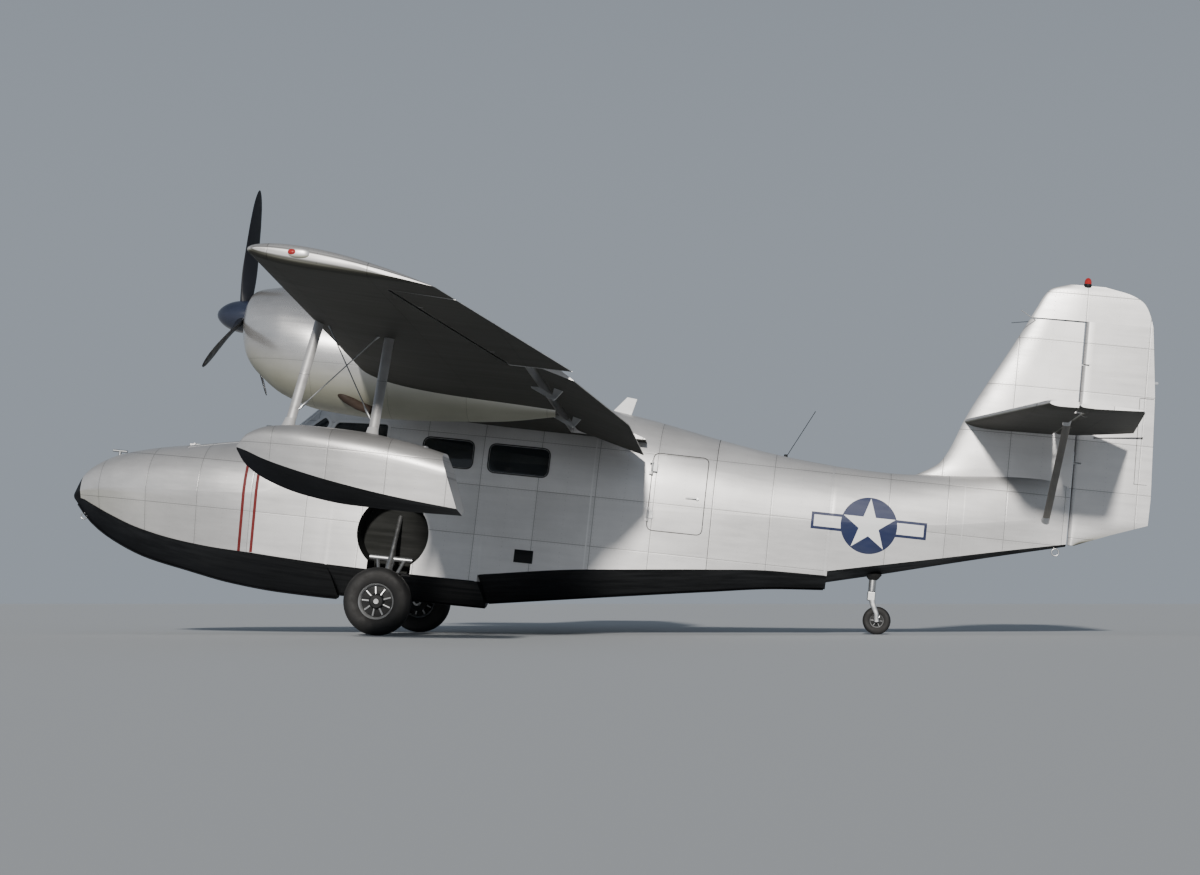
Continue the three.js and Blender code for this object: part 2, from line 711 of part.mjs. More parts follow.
// Trailing piece between two spans, and the cove and open end that its range needs in the wing.
function trailing(stations, noseAt, lipForward) {
  const body = loft(
    stations.map((y) => {
      const nose = noseAt(y);
      return surfaceRing(y, nose, nose.radius, wingTail(y), 5);
    }),
  );
  const first = stations[0];
  const last = stations[stations.length - 1];
  const extended = [first - 14, ...stations.slice(1, -1), last + 14];
  const room = loft(
    extended.map((y) => {
      const nose = noseAt(y);
      const ring = [];
      const reach = nose.radius + CLEAR;
      for (let i = 0; i <= NOSE_STEPS; i++) {
        const angle = Math.PI / 2 - (i / NOSE_STEPS) * Math.PI;
        ring.push(point(nose.x + reach * Math.cos(angle), y, nose.z + reach * Math.sin(angle)));
      }
      ring.push(point(nose.x - 900, y, nose.z - reach - 200));
      ring.push(point(nose.x - 900, y, nose.z + reach + 200));
      return ring;
    }),
  );
  const lips = loft(
    extended.map((y) => {
      const nose = noseAt(y);
      return [
        point(nose.x + lipForward.upper, y, nose.z),
        point(nose.x + lipForward.upper, y, nose.z + 300),
        point(nose.x - 900, y, nose.z + 300),
        point(nose.x - 900, y, nose.z - 300),
        point(nose.x + lipForward.lower, y, nose.z - 300),
        point(nose.x + lipForward.lower, y, nose.z),
      ];
    }),
  );
  return { body, room: room.add(lips) };
}

const aileronHingeX = (y) =>
  lerp(
    AILERON.hingeInnerX,
    AILERON.hingeOuterX,
    (y - AILERON.inner) / (AILERON.outer - AILERON.inner),
  );
const aileronParts = trailing([AILERON.inner, AILERON.outer], (y) => wingNose(y, aileronHingeX(y)), {
  upper: 25,
  lower: 25,
});
const flapParts = trailing([FLAP.inner, FLAP_KINK_Y, FLAP.outer], (y) => wingNose(y, FLAP.noseX), {
  upper: 5,
  lower: 60,
});

// Frame whose +Y lies along a hinge line, with +X as near forward as it can be.
function hingeFrame(a, b) {
  const along = b.clone().sub(a).normalize();
  const forward = point(1, 0, 0).addScaledVector(along, -along.x).normalize();
  const up = forward.clone().cross(along);
  return { along, forward, up };
}

// Plate square to a hinge line, from an outline in (forward, up) about the hinge point.
function plate(frame, centre, outline, from, to) {
  const ringAt = (offset) =>
    outline.map(([u, v]) =>
      centre
        .clone()
        .addScaledVector(frame.forward, u)
        .addScaledVector(frame.up, v)
        .addScaledVector(frame.along, offset),
    );
  return loft([ringAt(from), ringAt(to)]);
}

// Outline of a bracket: a round eye at the hinge that widens towards its root, which runs
// anticlockwise from rootB to rootA as seen from the hinge.
function bracketOutline(eye, rootA, rootB) {
  const start = Math.atan2(rootA[1], rootA[0]) + Math.PI / 2;
  const end = Math.atan2(rootB[1], rootB[0]) + 1.5 * Math.PI;
  const outline = [rootB, rootA];
  for (let i = 0; i <= 6; i++) {
    const angle = lerp(start, end, i / 6);
    outline.push([eye * Math.cos(angle), eye * Math.sin(angle)]);
  }
  return outline;
}

const aileronHinge = {
  a: point(aileronHingeX(AILERON.inner), AILERON.inner, wingNose(AILERON.inner, AILERON.hingeInnerX).z),
  b: point(aileronHingeX(AILERON.outer), AILERON.outer, wingNose(AILERON.outer, AILERON.hingeOuterX).z),
};
const flapHinge = {
  a: point(FLAP.hingeX, FLAP.inner, wingZ(FLAP.inner, FLAP.hingeX, -1) - FLAP.drop),
  b: point(FLAP.hingeX, FLAP.outer, wingZ(FLAP.outer, FLAP.hingeX, -1) - FLAP.drop),
};

let wing = wingLoft().subtract(hullLoft(TOUCH)).subtract(aileronParts.room).subtract(flapParts.room);
let aileron = aileronParts.body;
let flap = flapParts.body;
const aileronFrame = hingeFrame(aileronHinge.a, aileronHinge.b);
for (const share of [0.2, 0.8]) {
  const eye = aileronHinge.a.clone().lerp(aileronHinge.b, share);
  const half = BRACKET_THICK / 2;
  const arm = bracketOutline(BRACKET_EYE, [130, 14], [130, -14]);
  wing = wing.add(plate(aileronFrame, eye, arm, -half, half));
  const slot = [
    [-24, -200],
    [200, -200],
    [200, 200],
    [-24, 200],
  ];
  aileron = aileron.subtract(plate(aileronFrame, eye, slot, -half - TOUCH, half + TOUCH));
}
const flapFrame = hingeFrame(flapHinge.a, flapHinge.b);
for (const share of [0.29, 0.73]) {
  const eye = flapHinge.a.clone().lerp(flapHinge.b, share);
  const thick = BRACKET_THICK;
  const wingArm = bracketOutline(BRACKET_EYE, [200, 110], [170, 60]);
  wing = wing.add(plate(flapFrame, eye, wingArm, TOUCH / 2, thick));
  const flapArm = bracketOutline(BRACKET_EYE, [-60, 110], [30, 120]);
  flap = flap.add(plate(flapFrame, eye, flapArm, -thick, -TOUCH / 2));
}

// The flaps hang part way down, turned about their hinge lines below the wing.
const hang = new THREE.Matrix4()
  .makeTranslation(flapHinge.a)
  .multiply(new THREE.Matrix4().makeRotationAxis(flapFrame.along, -THREE.MathUtils.degToRad(FLAP.restDeg)))
  .multiply(new THREE.Matrix4().makeTranslation(flapHinge.a.clone().negate()));
const hungFlap = solidOf(geometryOf(flap).applyMatrix4(hang));

// Nacelle and engine

function nacelleRing([x, centreZ, half, rise], grow, y) {
  const ring = [];
  for (let i = 0; i < NACELLE_SIDES; i++) {
    const t = (i / NACELLE_SIDES) * 2 * Math.PI;
    ring.push(point(x, y + (half + grow) * Math.cos(t), centreZ + (rise + grow) * Math.sin(t)));
  }
  return ring;
}

const nacelleOuter = loft(NACELLE_STATIONS.map((row) => nacelleRing(row, 0, NACELLE_Y)));
const nacelleRows = [[1900, ...NACELLE_STATIONS[0].slice(1)], ...NACELLE_STATIONS.slice(0, 6)];
const nacelleInner = loft(nacelleRows.map((row) => nacelleRing(row, -NACELLE_SKIN, NACELLE_Y)));
const nacelle = nacelleOuter
  .subtract(nacelleInner.intersect(slice(FIREWALL_X, FAR)))
  .subtract(wingLoft(TOUCH * 1.5));

const engine = box(
  FIREWALL_X + TOUCH,
  ENGINE.front,
  NACELLE_Y - ENGINE.half,
  NACELLE_Y + ENGINE.half,
  ENGINE.foot,
  ENGINE.head,
).subtract(wingLoft(CLEAR)).add(
  rod(
    point(ENGINE.front - 40, NACELLE_Y, THRUST_Z),
    point(ENGINE.noseFront, NACELLE_Y, THRUST_Z),
    ENGINE.noseRadius,
    16,
  ),
);

// Propeller about the origin, turning about X
function bladeSolid(phaseDeg) {
  const phase = THREE.MathUtils.degToRad(phaseDeg);
  const outward = point(0, Math.sin(phase), Math.cos(phase));
  const tangent = point(0, Math.cos(phase), -Math.sin(phase));
  return loft(
    BLADE_STATIONS.map(([radius, chord, thickness, pitchDeg]) => {
      const pitch = THREE.MathUtils.degToRad(pitchDeg);
      const along = tangent
        .clone()
        .multiplyScalar(Math.cos(pitch))
        .addScaledVector(point(1, 0, 0), Math.sin(pitch));
      const through = outward.clone().cross(along);
      const ring = [];
      for (let i = 0; i < BLADE_SIDES; i++) {
        const t = (i / BLADE_SIDES) * 2 * Math.PI;
        ring.push(
          outward
            .clone()
            .multiplyScalar(radius)
            .addScaledVector(along, (Math.cos(t) * chord) / 2)
            .addScaledVector(through, (Math.sin(t) * thickness) / 2),
        );
      }
      return ring;
    }),
  );
}

function propellerSolid(phaseDeg) {
  const tip = SPINNER.tipX - PROP_X;
  const base = SPINNER.baseX - PROP_X;
  const shaftEnd = ENGINE.noseFront + TOUCH - PROP_X;
  const r = SPINNER.radius;
  const profile = [
    [0, shaftEnd],
    [48, shaftEnd],
    [48, base],
    [r, base],
    [r * 0.98, lerp(base, tip, 0.25)],
    [r * 0.86, lerp(base, tip, 0.5)],
    [r * 0.6, lerp(base, tip, 0.76)],
    [r * 0.3, lerp(base, tip, 0.93)],
    [0, tip],
  ];
  let solid = turned(profile, point(0, 0, 0), point(1, 0, 0), 18);
  for (let i = 0; i < BLADES; i++) {
    solid = solid.add(bladeSolid(phaseDeg + (360 / BLADES) * i));
  }
  return solid;
}

// Wing float, with its struts and crossed stays

function floatRing([x, keelZ, chineY, chineZ, deckY, deckZ]) {
  const half = [
    [0, keelZ],
    [chineY, chineZ],
    [deckY, lerp(chineZ, deckZ, 0.75)],
    [deckY * 0.8, lerp(chineZ, deckZ, 0.96)],
    [0, deckZ],
  ];
  const port = half.map(([y, z]) => point(x, FLOAT_Y + y, z));
  const mirror = half.slice(1, -1).reverse();
  return [...port, ...mirror.map(([y, z]) => point(x, FLOAT_Y - y, z))];
}
const wingFloat = loft(FLOAT_STATIONS.map(floatRing)).subtract(
  extruded(FLOAT_TRANSOM, "y", FLOAT_Y - 500, FLOAT_Y + 500),
);
const strutSolids = FLOAT_STRUTS.map(({ foot, head }) => [point(...foot), point(...head)]);
let floatStruts = strutSolids
  .map(([foot, head]) => strut(foot, head, STRUT_LONG, STRUT_THIN))
  .reduce((sum, solid) => sum.add(solid));
const [[frontFoot, frontHead], [rearFoot, rearHead]] = strutSolids;
floatStruts = floatStruts
  .add(rod(frontFoot.clone().lerp(frontHead, 0.1), rearHead, WIRE_RADIUS, 6))
  .add(rod(rearFoot.clone().lerp(rearHead, 0.1), frontHead, WIRE_RADIUS, 6))
  .subtract(wingLoft(TOUCH))
  .subtract(
    loft(
      FLOAT_STATIONS.map((row) => offsetRing(floatRing(row), TOUCH * 1.5, point(1, 0, 0))),
    ),
  );

// Tail surfaces

// Symmetrical section with a round nose and a blunt rear end, in the plane of x and one other direction.
const FOIL_STEPS = [0, 0.04, 0.15, 0.35, 0.6, 1];
function foilRing(noseX, rearX, half, rearHalf, place) {
  const width = (s) => (s < 0.35 ? half * Math.sqrt(1 - ((0.35 - s) / 0.35) ** 2) : lerp(half, rearHalf, (s - 0.35) / 0.65));
  const upper = FOIL_STEPS.slice(1).map((s) => place(lerp(noseX, rearX, s), width(s)));
  const lower = FOIL_STEPS.slice(1).map((s) => place(lerp(noseX, rearX, s), -width(s)));
  return [...upper.reverse(), place(noseX, 0), ...lower];
}

const finLoft = (grow = 0) =>
  loft(
    FIN_STATIONS.map(([z, noseX, half]) =>
      foilRing(noseX + grow, FIN_REAR_X, half + grow, half * 0.82 + grow, (x, w) => point(x, w, z)),
    ),
  );

const tailplaneFull = (grow = 0) =>
  loft(
    TAILPLANE_STATIONS.map(([y, noseX, tailX, half]) => {
      const rear = ELEVATOR_HINGE_X + 60;
      return foilRing(noseX + grow, rear, half + grow, half * 0.86 + grow, (x, w) =>
        point(x, y, TAILPLANE_Z + w),
      );
    }),
  );
const elevatorNose = (y) => ({
  x: ELEVATOR_HINGE_X,
  z: TAILPLANE_Z,
  radius: rowAt(TAILPLANE_STATIONS, y)[3] * 0.8,
});
const elevatorTail = (y) => ({ x: rowAt(TAILPLANE_STATIONS, y)[2], z: TAILPLANE_Z });

let elevator = loft(
  [ELEVATOR.inner, 1900, ELEVATOR.outer].map((y) => {
    const nose = elevatorNose(y);
    return surfaceRing(y, nose, nose.radius, elevatorTail(y), 4);
  }),
).subtract(extruded(ELEVATOR_CUTAWAY, "z", 1800, 2300));
const horn = loft(
  [ELEVATOR.hornInner, 1900, ELEVATOR.outer].map((y) => {
    const half = rowAt(TAILPLANE_STATIONS, y)[3];
    return foilRing(ELEVATOR.hornNoseX, ELEVATOR_HINGE_X - 20, half * 0.7, half * 0.78, (x, w) =>
      point(x, y, TAILPLANE_Z + w),
    );
  }),
);
elevator = elevator.add(horn);
const elevatorRoom = loft(
  [-100, 1900, 2300].map((y) => {
    const nose = elevatorNose(y);
    return surfaceRing(y, nose, nose.radius + CLEAR, { x: -5700, z: TAILPLANE_Z }, 400);
  }),
).add(box(-5700, ELEVATOR_HINGE_X + 22, -100, 2300, 1700, 2400));
let tailplane = tailplaneFull()
  .subtract(elevatorRoom)
  .subtract(
    box(-5000, ELEVATOR.hornNoseX + 14, ELEVATOR.hornInner - 10, 2300, 1700, 2400),
  )
  .subtract(finLoft(TOUCH * 1.5));
const elevatorHinge = {
  a: point(ELEVATOR_HINGE_X, ELEVATOR.inner, TAILPLANE_Z),
  b: point(ELEVATOR_HINGE_X, ELEVATOR.outer, TAILPLANE_Z),
};
const elevatorFrame = hingeFrame(elevatorHinge.a, elevatorHinge.b);
for (const share of [0.3, 0.75]) {
  const eye = elevatorHinge.a.clone().lerp(elevatorHinge.b, share);
  const half = BRACKET_THICK / 2;
  const arm = bracketOutline(BRACKET_EYE * 0.9, [110, 12], [110, -12]);
  tailplane = tailplane.add(plate(elevatorFrame, eye, arm, -half, half));
  const slot = [
    [-22, -200],
    [200, -200],
    [200, 200],
    [-22, 200],
  ];
  elevator = elevator.subtract(plate(elevatorFrame, eye, slot, -half - TOUCH, half + TOUCH));
}

// One tube through the fin joins the two halves.
const mirroredY = (solid) => {
  const geometry = geometryOf(solid);
  return solidOf(geometry.scale(1, -1, 1));
};
const torqueTube = (radius, half) =>
  rod(point(ELEVATOR_HINGE_X, -half, TAILPLANE_Z), point(ELEVATOR_HINGE_X, half, TAILPLANE_Z), radius, 12);
const elevators = elevator
  .add(mirroredY(elevator))
  .add(torqueTube(ELEVATOR.tube, ELEVATOR.inner + 10));

const surfaceRingZ = (z, noseX, radius, tailX, tailHalf) =>
  surfaceRing(0, { x: noseX, z: 0 }, radius, { x: tailX, z: 0 }, tailHalf).map((p) =>
    point(p.x, -p.z, z),
  );
let rudder = loft(
  RUDDER_STATIONS.map(([z, tailX, radius]) => surfaceRingZ(z, RUDDER_HINGE_X, radius, tailX, 4)),
).add(
  loft(
    RUDDER_TOP_STATIONS.map(([z, noseX, tailX, half]) =>
      foilRing(noseX, tailX, half, 4, (x, w) => point(x, w, z)),
    ),
  ),
);
let fin = finLoft().subtract(hullLoft(TOUCH)).subtract(torqueTube(ELEVATOR.tube + 6, 200));
for (const z of [1750, 2600]) {
  const half = BRACKET_THICK / 2;
  const eye = point(RUDDER_HINGE_X, 0, z);
  const frame = { along: point(0, 0, 1), forward: point(1, 0, 0), up: point(0, 1, 0) };
  const arm = bracketOutline(BRACKET_EYE * 0.85, [80, 11], [80, -11]);
  fin = fin.add(plate(frame, eye, arm, -half, half));
  const slot = [
    [-21, -200],
    [200, -200],
    [200, 200],
    [-21, 200],
  ];
  rudder = rudder.subtract(plate(frame, eye, slot, -half - TOUCH, half + TOUCH));
}
fin = fin.subtract(box(-5200, -4400, -300, 300, 2966, 3200));

const tailStrut = strut(
  point(...TAIL_STRUT.foot),
  point(...TAIL_STRUT.head),
  TAIL_STRUT.long / 2,
  TAIL_STRUT.thin / 2,
)
  .subtract(hullLoft(TOUCH))
  .subtract(tailplaneFull(TOUCH * 1.5));

// Undercarriage

// Tyre and hub are turned about Y, centred on the origin.
function tyreSolid(spec) {
  const w = spec.width / 2;
  const r = spec.radius;
  const profile = [
    [spec.rim, -w * 0.8],
    [r * 0.78, -w],
    [r * 0.93, -w * 0.82],
    [r, -w * 0.35],
    [r, w * 0.35],
    [r * 0.93, w * 0.82],
    [r * 0.78, w],
    [spec.rim, w * 0.8],
    [spec.rim, -w * 0.8],
  ];
  return turned(profile, point(0, 0, 0), point(0, 1, 0), spec.sides);
}

function hubSolid(spec) {
  const w = spec.width / 2;
  const r = spec.rim - TOUCH;
  const profile = [
    [spec.bore, -w * 0.7],
    [r * 0.45, -w * 0.7],
    [r * 0.6, -w * 0.35],
    [r * 0.88, -w * 0.35],
    [r, -w * 0.8],
    [r, w * 0.8],
    [r * 0.88, w * 0.35],
    [r * 0.6, w * 0.35],
    [r * 0.45, w * 0.7],
    [spec.bore, w * 0.7],
    [spec.bore, -w * 0.7],
  ];
  return turned(profile, point(0, 0, 0), point(0, 1, 0), spec.sides);
}

const mainTyre = tyreSolid(MAIN_WHEEL);
const mainHub = hubSolid(MAIN_WHEEL);
const tailTyre = tyreSolid(TAIL_WHEEL);
const tailHub = hubSolid(TAIL_WHEEL);

const axleEnd = MAIN_WHEEL.y + MAIN_WHEEL.width * 0.36;
const trunnionAt = (x) => point(x, TRUNNION.y, TRUNNION.z);
const legTop = trunnionAt(MAIN_WHEEL.x);
const knee = point(MAIN_WHEEL.x, MAIN_WHEEL.y - KNEE_INSET, MAIN_WHEEL.z);
const trunnionEnd = WELL.slotHalf - TOUCH;
const gearLeg = rod(legTop, knee, LEG_RADIUS, 10)
  .add(rod(knee.clone().setY(knee.y - 30), point(knee.x, axleEnd, knee.z), AXLE_RADIUS, 12))
  .add(rod(trunnionAt(WELL.x + TRUNNION.braceHalf), knee, BRACE_RADIUS, 6))
  .add(rod(trunnionAt(WELL.x - TRUNNION.braceHalf), knee, BRACE_RADIUS, 6))
  .add(
    rod(
      point(WELL.x, WELL.inner, DRAG_BRACE.z),
      knee.clone().lerp(legTop, DRAG_BRACE.share),
      DRAG_BRACE.radius,
      8,
    ),
  )
  .add(rod(trunnionAt(WELL.x - trunnionEnd), trunnionAt(WELL.x + trunnionEnd), TRUNNION.radius, 8))
  .subtract(box(-FAR, FAR, -FAR, WELL.inner + TOUCH, -FAR, FAR));

// Tail leg, fixed in the hull, and the fork that swivels under it
const tailLeg = rod(
  point(SWIVEL_X, 0, SWIVEL_TOP_Z),
  point(SWIVEL_X, 0, TAIL_POST.top),
  TAIL_POST.radius,
  14,
).subtract(hullLoft(TOUCH));
const forkArm = (side) =>
  strut(
    point(SWIVEL_X - 5, side * FORK.armY, SWIVEL_TOP_Z - FORK.depth + 18),
    point(TAIL_WHEEL.x, side * FORK.armY, TAIL_WHEEL.z),
    FORK.armLong,
    FORK.armThin,
  );
const forkAxleEnd = FORK.armY + 4;
const tailFork = box(
  SWIVEL_X - FORK.half,
  SWIVEL_X + FORK.half,
  -FORK.width,
  FORK.width,
  SWIVEL_TOP_Z - FORK.depth,
  SWIVEL_TOP_Z - TOUCH,
)
  .add(forkArm(1))
  .add(forkArm(-1))
  .add(
    rod(
      point(TAIL_WHEEL.x, -forkAxleEnd, TAIL_WHEEL.z),
      point(TAIL_WHEEL.x, forkAxleEnd, TAIL_WHEEL.z),
      TAIL_WHEEL.bore - 2 * TOUCH,
      12,
    ),
  );

// Cabin fittings

const floorZ = (x) => rowAt(FLOOR, x)[1] + TOUCH;
const SEAT_SIDE = [
  [1180, floorZ(1180)],
  [760, floorZ(760)],
  [760, 560],
  [640, 1130],
  [700, 1175],
  [790, 1140],
  [860, 690],
  [1230, 710],
  [1230, 610],
  [1180, 590],
];
const pilotSeat = extruded(SEAT_SIDE, "y", 45, 330);
const BENCH_SIDE = [
  [-60, floorZ(-60)],
  [-420, floorZ(-420)],
  [-520, 860],
  [-600, 1130],
  [-540, 1160],
  [-450, 1130],
  [-400, 770],
  [20, 760],
  [20, 660],
  [-60, 640],
];
const bench = extruded(BENCH_SIDE, "y", -500, 500);
const panel = extruded(
  [
    [FLOOR[0][0] - TOUCH, 880],
    [1800, 920],
    [1760, 1130],
    [1820, 1165],
    [FLOOR[0][0] - TOUCH, 1180],
  ],
  "y",
  -430,
  430,
).intersect(hullLoft(-WALL - 2 * TOUCH, interiorRows));

const beacon = turned(
  [
    [0, 0],
    [32, 0],
    [34, 18],
    [26, 52],
    [12, 66],
    [0, 70],
  ],
  point(-4940, 0, RUDDER_TOP_STATIONS[4][0] + TOUCH),
  point(0, 0, 1),
  14,
);

// Finishes

const finish = (color, roughness, metalness, extra = {}) =>
  new THREE.MeshStandardMaterial({ color, roughness, metalness, ...extra });
const silver = finish(0xb9bcbd, 0.42, 0.75);
const black = finish(0x101114, 0.3, 0.1);
const darkMetal = finish(0x23262e, 0.3, 0.6);
const steel = finish(0xa8abad, 0.35, 0.85);
const rubber = finish(0x17171a, 0.85, 0);
const glass = finish(0x2a3138, 0.08, 0, { transparent: true, opacity: 0.4 });
const leather = finish(0x3b352f, 0.7, 0);
const trim = finish(0x6f7275, 0.7, 0.1);
const red = finish(0xa31a1c, 0.25, 0);

// Assembly

const aircraft = new THREE.Group();

function add(name, solid, material, parent = aircraft) {
  const mesh = new THREE.Mesh(geometryOf(solid), material);
  mesh.name = name;
  parent.add(mesh);
  return mesh;
}

// The same piece on both sides of the aircraft, the second one mirrored across the centre plane.
function addPair(name, solid, material) {
  add(name + "_left", solid, material);
  add(name + "_right", solid, material).scale.y = -1;
}

add("bow", bow, silver);
add("bow_hatch", lid, silver);
add("hull_bottom_fore", bottomFore, black);
add("hull_bottom_aft", bottomAft, black);
add("cabin_floor", floorPanel, trim);
add("cabin_side_left", sideLeft, silver);
add("cabin_side_right", sideRight, silver);
add("cabin_roof", roofPanel, silver);
add("cabin_door", doorLeaf, silver);
add("hull_tail", hullTail, silver);

for (const [side, outline] of Object.entries(windscreenOutlines)) {
  const pane = paneShell.intersect(windscreenCut(shrunk(outline, TOUCH)));
  add("windscreen_" + side, pane, glass);
}
for (const [side, [from, to]] of Object.entries(sideRange)) {
  const paneOf = (outline) =>
    paneShell.intersect(extruded(shrunk(outline, TOUCH), "y", from, to));
  add("cockpit_window_" + side, paneOf(COCKPIT_WINDOW), glass);
  add("quarter_light_" + side, paneOf(QUARTER_LIGHT), glass);
  CABIN_WINDOWS.forEach((w, i) => add(w.name + "_" + side, paneOf(cabinWindowOutlines[i]), glass));
}

addPair("wing", wing, silver);
addPair("aileron", aileron, silver);
addPair("flap", hungFlap, silver);
addPair("nacelle", nacelle, silver);
addPair("engine", engine, steel);
for (const side of ["left", "right"]) {
  const propeller = add("propeller_" + side, propellerSolid(PROP_PHASES_DEG[side]), darkMetal);
  propeller.position.set(PROP_X, side === "left" ? NACELLE_Y : -NACELLE_Y, THRUST_Z);
}
addPair("wing_float", wingFloat, silver);
addPair("float_struts", floatStruts, steel);

add("fin", fin, silver);
add("rudder", rudder, silver);
addPair("tailplane", tailplane, silver);
add("elevators", elevators, silver);
addPair("tail_strut", tailStrut, darkMetal);
add("beacon", beacon, red);

addPair("gear_leg", gearLeg, steel);
for (const side of ["left", "right"]) {
  const y = side === "left" ? MAIN_WHEEL.y : -MAIN_WHEEL.y;
  add("tyre_" + side, mainTyre, rubber).position.set(MAIN_WHEEL.x, y, MAIN_WHEEL.z);
  add("hub_" + side, mainHub, darkMetal).position.set(MAIN_WHEEL.x, y, MAIN_WHEEL.z);
}
add("tail_leg", tailLeg, steel);
add("tail_fork", tailFork, steel);
add("tail_tyre", tailTyre, rubber).position.set(TAIL_WHEEL.x, 0, TAIL_WHEEL.z);
add("tail_hub", tailHub, darkMetal).position.set(TAIL_WHEEL.x, 0, TAIL_WHEEL.z);

addPair("pilot_seat", pilotSeat, leather);
add("rear_bench", bench, leather);
add("instrument_panel", panel, black);

// Park it: tipped nose up, centred on its own footprint, wheels on the ground
aircraft.rotation.y = -THREE.MathUtils.degToRad(PARKED_PITCH_DEG);
const flyingBoat = new THREE.Group();
flyingBoat.add(aircraft);
const bounds = new THREE.Box3().setFromObject(flyingBoat, true);
aircraft.position.set(
  -(bounds.min.x + bounds.max.x) / 2,
  -(bounds.min.y + bounds.max.y) / 2,
  -bounds.min.z,
);

export default flyingBoat;
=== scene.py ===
"""Twin-engined amphibious flying boat parked on its wheels: its visible pieces, finishes and studio.

Lengths are metres. Everything is drawn in the airframe's own frame: X forward, Y to port, Z up, with the
origin on the keel at the main step. Airframe.place tips it into the frame that it stands in.
"""

import json
import logging
import math
from dataclasses import dataclass, field
from enum import Enum

import bpy
import numpy as np
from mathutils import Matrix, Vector

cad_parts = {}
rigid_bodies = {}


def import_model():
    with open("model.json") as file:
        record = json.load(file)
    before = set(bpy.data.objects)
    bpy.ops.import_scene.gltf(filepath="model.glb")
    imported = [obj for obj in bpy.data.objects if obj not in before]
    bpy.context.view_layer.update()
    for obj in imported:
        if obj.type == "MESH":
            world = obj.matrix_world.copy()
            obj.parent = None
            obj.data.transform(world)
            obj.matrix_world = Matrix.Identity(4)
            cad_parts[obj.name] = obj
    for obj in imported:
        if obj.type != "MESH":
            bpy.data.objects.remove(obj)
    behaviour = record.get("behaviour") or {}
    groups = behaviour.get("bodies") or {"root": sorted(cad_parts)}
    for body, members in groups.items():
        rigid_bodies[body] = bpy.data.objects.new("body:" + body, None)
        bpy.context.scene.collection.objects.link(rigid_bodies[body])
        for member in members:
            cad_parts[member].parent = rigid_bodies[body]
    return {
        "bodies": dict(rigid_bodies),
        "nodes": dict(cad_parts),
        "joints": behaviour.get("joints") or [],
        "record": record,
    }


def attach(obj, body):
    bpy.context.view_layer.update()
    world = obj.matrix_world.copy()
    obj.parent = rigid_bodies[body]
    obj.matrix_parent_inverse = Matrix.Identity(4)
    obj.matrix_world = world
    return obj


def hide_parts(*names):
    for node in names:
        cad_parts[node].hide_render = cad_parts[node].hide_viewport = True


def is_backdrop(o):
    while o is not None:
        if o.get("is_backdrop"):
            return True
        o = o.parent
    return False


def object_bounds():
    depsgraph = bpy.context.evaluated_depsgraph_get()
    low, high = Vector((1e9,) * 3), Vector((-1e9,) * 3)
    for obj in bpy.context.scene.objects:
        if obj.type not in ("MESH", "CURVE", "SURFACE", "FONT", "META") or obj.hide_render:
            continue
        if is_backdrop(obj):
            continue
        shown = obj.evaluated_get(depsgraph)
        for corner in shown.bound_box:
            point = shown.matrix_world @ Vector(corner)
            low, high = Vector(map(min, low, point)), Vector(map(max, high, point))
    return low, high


log = logging.getLogger("flying_boat")

Array = np.ndarray
Pair = tuple[float, float]
Triple = tuple[float, float, float]
Box = tuple[float, float, float, float]
Socket = bpy.types.NodeSocket


class Side(Enum):
    """Port or starboard: the names' ending and the sign of Y."""

    LEFT = ("left", 1)
    RIGHT = ("right", -1)

    @property
    def tag(self) -> str:
        """Ending of the names of this side's pieces."""
        return self.value[0]

    @property
    def sign(self) -> int:
        """Sign of Y on this side."""
        return self.value[1]


@dataclass(frozen=True)
class Airframe:
    """The airframe's frame and how it stands: tipped nose up by its gear, moved over its footprint."""

    pitch: float = math.radians(6.0)
    stand: Triple = (1.029939, 0.0, 0.240083)

    def place(self, points: Array) -> Array:
        """Airframe points in the frame that the object stands in.

        Args:
            points: any array whose last axis is x, y, z.

        Returns:
            The points turned by the pitch about Y and moved by the stand.
        """
        c, s = math.cos(self.pitch), math.sin(self.pitch)
        turn = np.array([[c, 0, -s], [0, 1, 0], [s, 0, c]])
        return np.asarray(points, float) @ turn.T + np.array(self.stand)

    def mapping(self) -> tuple[Triple, Triple]:
        """Rotation and location of a mapping that brings object coordinates back to the airframe's."""
        c, s = math.cos(self.pitch), math.sin(self.pitch)
        x, _, z = self.stand
        return (0.0, self.pitch, 0.0), (-(c * x + s * z), 0.0, s * x - c * z)


AIRFRAME = Airframe()


# Reading tables


def straight_rows(table: Array, at: Array) -> Array:
    """Rows of a table at values of its first column, straight between its rows."""
    table = table[np.argsort(table[:, 0])]
    columns = [np.interp(at, table[:, 0], table[:, j]) for j in range(1, table.shape[1])]
    return np.column_stack([at, *columns])


